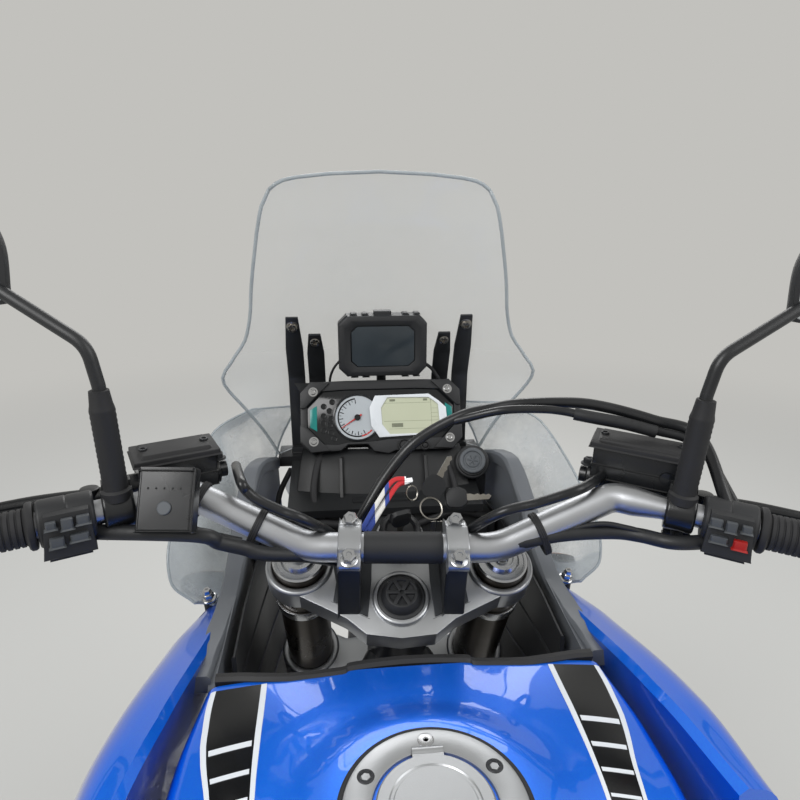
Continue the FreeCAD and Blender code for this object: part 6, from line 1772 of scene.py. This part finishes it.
# Hoses and leads at the bar: rubber-covered cables and taped looms, tied to the bar and clipped
# under the top clamp, so they turn with it. These points are given with the bar as it stands
# parked.
PARKED = TURN.inverted()
cable = surface("cable_pvc_black", "#1e1f21", "#121315", 40, 2.0, 0.05, (0.22, 0.4))
taped = surface("loom_tape_black", "#202123", "#131416", 9, 1.2, 0.2, (0.4, 0.6))
pod_right, pod_left = TURN @ at_bar(100, 2, 14), TURN @ at_bar(100, 2, -14, -1)
bm = bmesh.new()
for line, radius in (
    ([(-72, 396, 1048), (-52, 422, 1082), (-30, 430, 1118), (-8, 440, 1150), (17, 445, 1179),
      (43, 450, 1196), (76, 450, 1212), (105, 450, 1218), (135, 445, 1224), (186, 435, 1227),
      (221, 425, 1224), (264, 405, 1215), (301, 380, 1204), tuple(pod_right)], 5.8),
    ([(66, 448, 1206), (110, 430, 1222), (150, 428, 1223), (175, 425, 1221), (201, 415, 1217),
      (235, 405, 1212), (263, 395, 1207), (299, 375, 1196), tuple(pod_right + vec(10, 0, -3))],
     4.4),
    ([(60, 402, 1062), (64, 380, 1106), (93, 352, 1145), (133, 355, 1153), (175, 358, 1165),
      tuple(TURN @ at_bar(-10, 42, 8))], 5.0),
    ([tuple(TURN @ at_bar(-56, 42, 0, -1)), (-150, 376, 1178), (-144, 370, 1170), (-133, 368, 1161),
      (-114, 366, 1151), (-92, 364, 1141), (-64, 386, 1108), (-58, 404, 1066)], 5.0),
):
    tube(bm, flowing([PARKED @ vec(*p) for p in line], 10), radius, 14)
piece("control_cables", bm, cable, "steering", slot="rubber", smooth=60)
bm = bmesh.new()
for line, radius in (
    ([(186, 421, 1219), (201, 415, 1217), (235, 405, 1212), (263, 395, 1206)], 6.4),
    ([(52, 392, 1078), (80, 366, 1100), (108, 352, 1112), (156, 350, 1120), (203, 345, 1123),
      (226, 335, 1124), (250, 316, 1126), tuple(TURN @ at_bar(96, -6, -18))], 7.0),
    ([(150, 352, 1122), (190, 346, 1132), (214, 338, 1131), (232, 330, 1128)], 2.6),
    ([(-56, 390, 1078), (-90, 368, 1100), (-129, 352, 1114), (-146, 350, 1122), (-167, 345, 1132),
      (-188, 340, 1144), tuple(pod_left)], 7.0),
    ([(-200, 340, 1154), (-176, 346, 1140), (-150, 352, 1128)], 4.0),
):
    tube(bm, flowing([PARKED @ vec(*p) for p in line], 8), radius, 12)
piece("bar_looms", bm, taped, "steering", slot="rubber", smooth=60)
bm = bmesh.new()
for side in (-1, 1):
    line = [on_axis(side * 60, 30, 950), on_axis(side * 76, 0, 900), on_axis(side * 84, -16, 760),
            on_axis(side * 82, -34, 620), on_axis(side * 72, -50, 540),
            on_axis(side * 68, -56, 484)]
    tube(bm, flowing(line, 8), 4.6, 12)
    tube(bm, [on_axis(side * 84, -16, 752), on_axis(side * 84, -16, 768)], 7, 12)
piece("front_brake_hoses", bm, cable, "steering", slot="rubber", smooth=60)
bm = bmesh.new()
for side, share in ((-1, 0.42), (-1, 0.9), (1, 0.36)):
    bend, knee = (BAR_RIGHT if side > 0 else BAR_LEFT), at_bar(0, side=side)
    middle = bend.lerp(knee, share)
    direction = (knee - bend).normalized()
    flat_side = direction.cross(UP).normalized()
    hoop = []
    for i in range(33):
        a = 2 * math.pi * i / 32
        low = 12 if math.sin(a) < 0 else 0
        hoop.append(middle + flat_side * 15.6 * math.cos(a)
                    + direction.cross(flat_side) * -(15.6 + low) * math.sin(a))
    for shift in (-2, 0, 2):
        tube(bm, [p + direction * shift for p in hoop], 1.6, 8)
piece("bar_ties", bm, rubber, "steering", slot="rubber")

# Nose: the beak under the lamps, injection moulded and painted in the tank's blue under the same
# lacquer
dress(paint, "nose")

# Seats: moulded foam on a plastic pan under grained vinyl, cut from panels that are sewn with a
# piped seam round the top and two cross seams. Each is swollen like real foam under its cover, by
# cloth pressure inside a shape that starts a little smaller.
seat_vinyl = surface("seat_vinyl_black", "#26262a", "#1b1b1e", 50, 1.4, 0.18, (0.5, 0.66))
seat_top = surface("seat_fabric_grip_black", "#2f2f33", "#232326", 30, 2.4, 0.3, (0.66, 0.82))
thread = surface("bonded_thread_grey", "#6d6f74", "#595b60", 20, 0.6, 0.05, (0.5, 0.65))


START_SHARE, PRESSURE, FILL_FRAMES = 0.965, 3.0, 20  # how small it starts, and how it is swollen
VOXEL = 5.5


def cushion(name, replaced, rows):
    """A padded seat from rows of (y, top, edge, shoulder, side, foot, low), filled with air."""
    def half_section(top, edge, shoulder, side, foot, low):
        corners = [(0, top), (edge * 0.5, top + 0.6), (edge * 0.86, shoulder + 5),
                   (edge, shoulder - 1), (side, low + 18), (side - 3, low + 6), (foot, low),
                   (foot * 0.5, low), (0, low)]
        return [vec(x, y, z) for x, z in corners]

    full = []
    for a, b in zip(rows, rows[1:]):
        for i in range(6):
            full.append([p + (q - p) * i / 6 for p, q in zip(a, b)])
    full.append(list(rows[-1]))
    bm = bmesh.new()
    rings = []
    for i, row in enumerate(full):
        y, low = row[0], row[-1]
        half = half_section(*row[1:])
        mid = vec(0, y, (row[1] + low) / 2)
        points = half + [vec(-p.x, p.y, p.z) for p in reversed(half) if p.x > 0.01]
        inwards = -4 if i == 0 else 4 if i == len(full) - 1 else 0
        tight = START_SHARE - (0.05 if inwards else 0.0)
        moved = []
        for p in points:
            q = mid + (p - mid) * tight
            q.z = low + 1.5 if p.z < low + 1 else min(q.z, p.z)
            moved.append(bm.verts.new(vec(q.x, y + inwards, q.z)))
        rings.append(moved)
    loops(bm, rings)
    bmesh.ops.recalc_face_normals(bm, faces=bm.faces)
    bm.transform(MM)
    mesh = bpy.data.meshes.new(name)
    bm.to_mesh(mesh)
    bm.free()
    seat = bpy.data.objects.new(name, mesh)
    bpy.context.collection.objects.link(seat)

    def bake():
        """Makes the modifiers' result the seat's own mesh."""
        made = bpy.data.meshes.new_from_object(
            seat.evaluated_get(bpy.context.evaluated_depsgraph_get()))
        seat.modifiers.clear()
        seat.data = made

    even = seat.modifiers.new("even", "REMESH")
    even.mode = "VOXEL"
    even.voxel_size = VOXEL / 1000
    bake()
    group = seat.vertex_groups.new(name="pan")
    low = min(v.co.z for v in seat.data.vertices)
    held = [v.index for v in seat.data.vertices if v.co.z < low + 0.009 or v.normal.z < -0.6]
    group.add(held, 1.0, "REPLACE")
    cloth = seat.modifiers.new("cloth", "CLOTH")
    cover = cloth.settings
    cover.quality = 4
    cover.mass = 0.3
    cover.tension_stiffness = cover.compression_stiffness = 28
    cover.shear_stiffness = 14
    cover.bending_stiffness = 2.0
    cover.use_pressure = True
    cover.uniform_pressure_force = PRESSURE
    cover.effector_weights.gravity = 0.0
    cover.vertex_group_mass = "pan"
    cloth.collision_settings.use_collision = False
    for number in range(1, FILL_FRAMES + 1):
        bpy.context.scene.frame_set(number)
    bake()
    bpy.context.scene.frame_set(1)
    finer = seat.modifiers.new("finer", "SUBSURF")
    finer.levels = finer.render_levels = 1
    bake()
    seat.data.shade_smooth()
    seat.data.materials.clear()
    seat.data.materials.append(seat_vinyl)
    settle(seat, "chassis", (replaced,))
    return seat


def on_seat(seat, x, y, lift):
    """The point on the top of a seat above (x, y), and the way that it faces."""
    point, facing = seat.ray_cast(vec(x, y, 1200) / 1000, vec(0, 0, -1))[1:3]
    return point * 1000 + facing * lift, facing


def seam(bm, seat, path, stitches):
    """Piping laid along a path on a seat, with a row of stitches beside it."""
    points = [on_seat(seat, x, y, 0.6) for x, y in path]
    tube(bm, [p for p, facing in points], 1.7, 8)
    for (p, facing), (q, other) in zip(points, points[1:]):
        along = (q - p).normalized()
        beside = facing.cross(along).normalized() * 5
        count = max(1, round((q - p).length / 6.5))
        for i in range(count):
            start = p + (q - p) * (i + 0.2) / count
            end = p + (q - p) * (i + 0.75) / count
            for way in (-1, 1):
                tube(stitches, [start + beside * way,
                                (start + end) / 2 + beside * way + facing * 0.6,
                                end + beside * way], 0.55, 6)


RIDER_ROWS = [(-124.3, 924, 78, 908, 100, 96, 862), (-220, 884, 104, 874, 124, 118, 852),
              (-330, 876, 136, 868, 154, 146, 852), (-432, 900, 140, 888, 158, 150, 854)]
PILLION_ROWS = [(-432.3, 938, 118, 926, 146, 140, 900), (-560, 944, 122, 932, 150, 144, 902),
                (-752, 952, 98, 942, 124, 118, 906)]
bm, stitches = bmesh.new(), bmesh.new()
for name, replaced, rows in (("rider_seat_pad", "rider_seat", RIDER_ROWS),
                             ("pillion_seat_pad", "pillion_seat", PILLION_ROWS)):
    seat = cushion(name, replaced, rows)
    front, back = rows[0][0] - 22, rows[-1][0] + 22

    def edge_at(y):
        """Half the width of the seat's top at a station."""
        for a, b in zip(rows, rows[1:]):
            if b[0] <= y <= a[0]:
                return a[2] + (b[2] - a[2]) * (y - a[0]) / (b[0] - a[0])
        return rows[-1][2]

    steps = [front + (back - front) * i / 24 for i in range(25)]
    for side in (-1, 1):
        seam(bm, seat, [(side * 0.84 * edge_at(y), y) for y in steps], stitches)
    for share in (0.3, 0.72):
        y = front + (back - front) * share
        half = 0.84 * edge_at(y) - 3
        seam(bm, seat, [(half * (i / 8 - 1), y - 10 * (1 - (i / 8 - 1) ** 2)) for i in range(17)],
             stitches)
piece("seat_piping", bm, seat_top, "chassis", slot="seat_cover", smooth=60)
piece("seat_stitches", stitches, thread, "chassis", slot="seat_cover", smooth=60)

# Tail: moulded black side cowls, an aluminium rack with rubber pads, a red lamp, a blank white
# plate on its arm, and indicators with smoked housings whose amber faces look ahead or back
rack_coat = surface("powder_coat_graphite", "#3b3d40", "#2e3033", 90, 1.6, 0.05, (0.4, 0.55))
plate_white = surface("plate_paint_white", "#dcdcd8", "#cfcfca", 150, 2.0, 0.02, (0.3, 0.42))
red_lens = surface("acrylic_red", "#a01210", "#7c0c0b", 40, 4.0, 0.3, (0.06, 0.1))
amber_lens = surface("acrylic_amber", "#d9730f", "#bf5c08", 40, 4.0, 0.3, (0.06, 0.1))
dress(rack_coat, "rack")
dress(plate_white, "number_plate")
bm, pads, bolts = bmesh.new(), bmesh.new(), bmesh.new()
for side in (-1, 1):
    for y, z in ((-176, 811), (-300, 820)):
        hex_bolt(bolts, vec(side * 150.5, y, z), OUT * side, 9, 12, 6)
    for y in (-470, -620, -760):
        share = (y + 440) / -260 if y > -700 else 1 + (y + 700) / -180
        wide = 158 - 22 * share if y > -700 else 136 - 56 * (share - 1)
        socket_screw(bolts, vec(side * (wide - 0.6), y, 871), vec(side, -0.1, 0), 5, 3)
    strip = bmesh.new()
    block(strip, sorted((side * 26, side * 52)), (-884, -876), (965.8, 969))
    repeat(strip, row_of, rubber, pads, Count=7, Step=(0, 14, 0))
    for y in (-788, -888):
        lathe(bolts, [(0, 4.2), (0, 8), (1.5, 8), (2, 7.2), (2, 4.2), (0, 4.2)],
              vec(side * 60, y, 965.8), UP, 24)
for x in (-75, 75):
    socket_screw(bolts, vec(x, -1091.8, 600), vec(0, -1, 0.06), 5, 3)


PLATE_FOOT = vec(0, -1102.0, 548)
PLATE_LEAN = 0.0634  # forwards for each millimetre up


def on_plate(x, z):
    """A point on the leaning face of the number plate."""
    return vec(x, PLATE_FOOT.y + (z - PLATE_FOOT.z) * PLATE_LEAN, z)


for x0, x1, z0, z1 in ((-105, 105, 549, 553), (-105, 105, 686, 690), (-105, -101, 549, 690),
                       (101, 105, 549, 690)):
    slab(bm, [on_plate(x0, z0), on_plate(x1, z0), on_plate(x1, z1), on_plate(x0, z1)],
         vec(0, 1.4, 0))
piece("plate_border", bm, moulding, "chassis", slot="black_plastic")
piece("rack_pads", pads, rubber, "chassis", slot="rubber")

lamp, housing = bmesh.new(), bmesh.new()
slab(housing, [vec(-64, y, z) for y, z in ((-880.3, 847), (-904, 850), (-906, 856), (-886, 858),
                                           (-886, 892), (-900, 896), (-899, 901), (-880.3, 903))],
     vec(128, 0, 0))
slab(lamp, [vec(-60, y, z) for y, z in ((-886.2, 858.2), (-907, 857), (-913, 864), (-914, 886),
                                        (-908, 892), (-886.2, 891.8))], vec(120, 0, 0))
rib = bmesh.new()
block(rib, (-56, -54.6), (-915, -909), (864, 886))
repeat(rib, row_of, red_lens, lamp, Count=15, Step=(7.93, 0, 0))
piece("tail_lamp_lens", lamp, red_lens, "chassis", "tail_lamp", bevel=1.2, slot="red_lens")
lens = bmesh.new()
for side in (-1, 1):
    for root, x, y, z, way in ((165, 215, 640, 900, 1), (72.2, 103, -960, 806, -1)):
        start, end = vec(side * root, y, z), vec(side * (x + 24), y, z)
        tube(housing, [start, end.lerp(start, 0.5) + vec(0, -way, 0), end], [8, 6.5, 8], 16, 0.8)
        rings, glass = [], []
        for i in range(9):
            share = i / 8
            at = vec(side * (x + 20 + 58 * share), y - way * 4 * share, z)
            tall = (0.55 + 0.45 * math.sin(math.pi * (0.16 + 0.72 * share))) * 20
            deep = tall * 1.05
            rings.append([housing.verts.new(at + vec(0, -way * deep * math.sin(a),
                                                     tall * math.cos(a)))
                          for a in (math.pi * k / 12 for k in range(13))])
            glass.append([lens.verts.new(at + vec(side * 1.5 * (0.5 - share) * 2, way * d,
                                                  tall * s))
                          for d, s in
                          ((0.2, 0.92), (5, 0.88), (8, 0.6), (9, 0.0), (8, -0.6), (5, -0.88),
                           (0.2, -0.92))])
        loops(housing, rings)
        loops(lens, glass)
piece("lamp_housings", housing, moulding, "chassis", "indicators", slot="black_plastic", smooth=50)
piece("indicator_lenses", lens, amber_lens, "chassis", slot="amber_lens", smooth=50)
piece("tail_screws", bolts, zinc, "chassis", slot="steel")

# Pegs and levers: cleated steel pegs with rubber inserts on cast hangers, a folding gear lever with
# a rubber toe piece, and a serrated brake pedal
dress(cast_dark, "footpegs")
dress(steel, "pedals")
bm, pads = bmesh.new(), bmesh.new()
for side in (-1, 1):
    for row in ((-112, -107), (-87, -82)):
        tooth = bmesh.new()
        block(tooth, sorted((side * 209, side * 214)), row, (351.8, 357))
        repeat(tooth, row_of, steel, bm, Count=8, Step=(side * 10.4, 0, 0))
    block(pads, sorted((side * 210, side * 284)), (-104, -90), (351.8, 360))
    block(pads, sorted((side * 166, side * 232)), (-350, -328), (569.8, 576))
    lathe(bm, [(0, 0), (0, 9), (4, 9), (5, 8), (5, 0)], vec(side * 206, -97, 344), OUT * -side, 20)
    hex_bolt(bm, vec(side * CASE_SIDE, -378, 742), OUT * side, 11, 14, 8)
    hex_bolt(bm, vec(side * CASE_SIDE, -339, 563), OUT * side, 9, 12, 6)
lathe(pads, [(0, 9.2), (0, 11.5), (30, 11.5), (31, 9.2), (0, 9.2)], vec(-246, 90, 346),
      vec(1, 0, 0), 24)
tooth = bmesh.new()
block(tooth, (200, 238), (85, 88), (323.8, 328))
repeat(tooth, row_of, steel, bm, Count=5, Step=(0, 5.8, 0))
piece("peg_teeth", bm, steel, "chassis", slot="steel")
piece("peg_rubbers", pads, rubber, "chassis", slot="rubber", bevel=1.5)

# Stands: welded steel tubes, powder coated, that turn on pins at the frame. The heads of the pins
# and the soles are zinc plated.
bm = bmesh.new()
for side in (-1, 1):
    lathe(bm, [(0, 0), (0, 13), (3, 13), (3, 9), (9, 8.4), (10, 7), (10, 0)],
          vec(side * 126, -135, 285), OUT * side, 6)
    block(bm, sorted((side * 112, side * 148)), (-142, -80), (8.8, 10.6))
piece("centre_stand_pins", bm, zinc, "centre_stand", slot="steel")
bm = bmesh.new()
pivot = vec(-218, 45, 306)
tilt = vec(0.942, 0, -0.335)
lathe(bm, [(0, 0), (0, 12), (5, 12), (6, 10.6), (6, 0)], pivot - tilt * 10, -tilt, 6)
end = pivot + vec(-0.03, -1.0, 0) * 292
block(bm, (end.x - 27, end.x + 27), (end.y - 7.4, end.y - 5.8), (end.z - 23, end.z + 21))
piece("side_stand_pin_and_sole", bm, zinc, "side_stand", slot="steel")

# Stage: a plain pale floor that runs to the horizon under soft studio light from above, and the
# camera that the picture was taken from
floor_mesh = bpy.data.meshes.new("floor")
floor_mesh.from_pydata([(-40, -40, 0), (40, -40, 0), (40, 40, 0), (-40, 40, 0)], [], [(0, 1, 2, 3)])
floor = bpy.data.objects.new("floor", floor_mesh)
bpy.context.collection.objects.link(floor)
floor_paint, tree, shader, place = plain("studio_floor", "#b9b8b4",
                                         {"Roughness": 0.9, "Specular IOR Level": 0.2})
# Far from the machine the floor runs into the backdrop's tone for the camera, so no horizon shows
reach = node(tree, "ShaderNodeVectorMath", {0: place}, operation="LENGTH")
far_off = node(tree, "ShaderNodeMapRange",
               {0: reach.outputs["Value"], 1: 2.2, 2: 6.5, 3: 0.0, 4: 1.0},
               interpolation_type="SMOOTHSTEP")
path = node(tree, "ShaderNodeLightPath")
straight = node(tree, "ShaderNodeMath", {0: path.outputs["Is Camera Ray"],
                                         1: path.outputs["Is Transmission Ray"]},
                operation="MAXIMUM")
straight = node(tree, "ShaderNodeMath", {0: straight.outputs[0], 1: path.outputs["Is Glossy Ray"]},
                operation="MAXIMUM")
share = node(tree, "ShaderNodeMath", {0: far_off.outputs[0], 1: straight.outputs[0]},
             operation="MULTIPLY")
BACKDROP = linear("#c2c1bd")
backdrop = node(tree, "ShaderNodeEmission", {"Color": BACKDROP, "Strength": 1.0})
blend = node(tree, "ShaderNodeMixShader", {0: share.outputs[0], 1: shader.outputs[0],
                                           2: backdrop.outputs[0]})
tree.links.new(blend.outputs[0], tree.nodes["Material Output"].inputs["Surface"])
floor_mesh.materials.append(floor_paint)

world = bpy.context.scene.world or bpy.data.worlds.new("studio")
bpy.context.scene.world = world
world.use_nodes = True
sky = world.node_tree
sky.nodes.clear()
light_path = node(sky, "ShaderNodeLightPath")
seen = node(sky, "ShaderNodeMath", {0: light_path.outputs["Is Camera Ray"],
                                    1: light_path.outputs["Is Transmission Ray"]},
            operation="MAXIMUM")
lit = node(sky, "ShaderNodeBackground", {"Color": linear("#e8ebee"), "Strength": 0.85})
shown = node(sky, "ShaderNodeBackground", {"Color": BACKDROP, "Strength": 1.0})
seen = node(sky, "ShaderNodeMath", {0: seen.outputs[0], 1: light_path.outputs["Is Glossy Ray"]},
            operation="MAXIMUM")
mixed = node(sky, "ShaderNodeMixShader",
             {0: seen.outputs[0], 1: lit.outputs[0], 2: shown.outputs[0]})
node(sky, "ShaderNodeOutputWorld", {"Surface": mixed.outputs[0]})

for name, place, aim, size, power in (
    ("key", (-2.2, -1.6, 3.6), (0, 0.3, 0.9), 2.4, 90),
    ("fill", (2.6, -0.6, 3.0), (0, 0.3, 0.9), 2.6, 45),
    ("front", (0.3, 3.8, 3.0), (0, 0.4, 0.9), 2.8, 60),
):
    lamp = bpy.data.lights.new(name, "AREA")
    lamp.shape = "DISK"
    lamp.size = size
    lamp.energy = power
    holder = bpy.data.objects.new(name, lamp)
    holder.location = place
    holder.rotation_euler = (Vector(aim) - Vector(place)).to_track_quat("-Z", "Y").to_euler()
    bpy.context.collection.objects.link(holder)

lens = bpy.data.cameras.new("camera")
lens.lens = 27.09
lens.sensor_width = 36.0
camera = bpy.data.objects.new("camera", lens)
camera.location = (-0.0504, -0.1532, 1.4149)
camera.rotation_euler = (math.radians(90 - 16.93), 0, math.radians(-5.43))
bpy.context.collection.objects.link(camera)
bpy.context.scene.camera = camera
bpy.context.scene.view_settings.view_transform = "Standard"
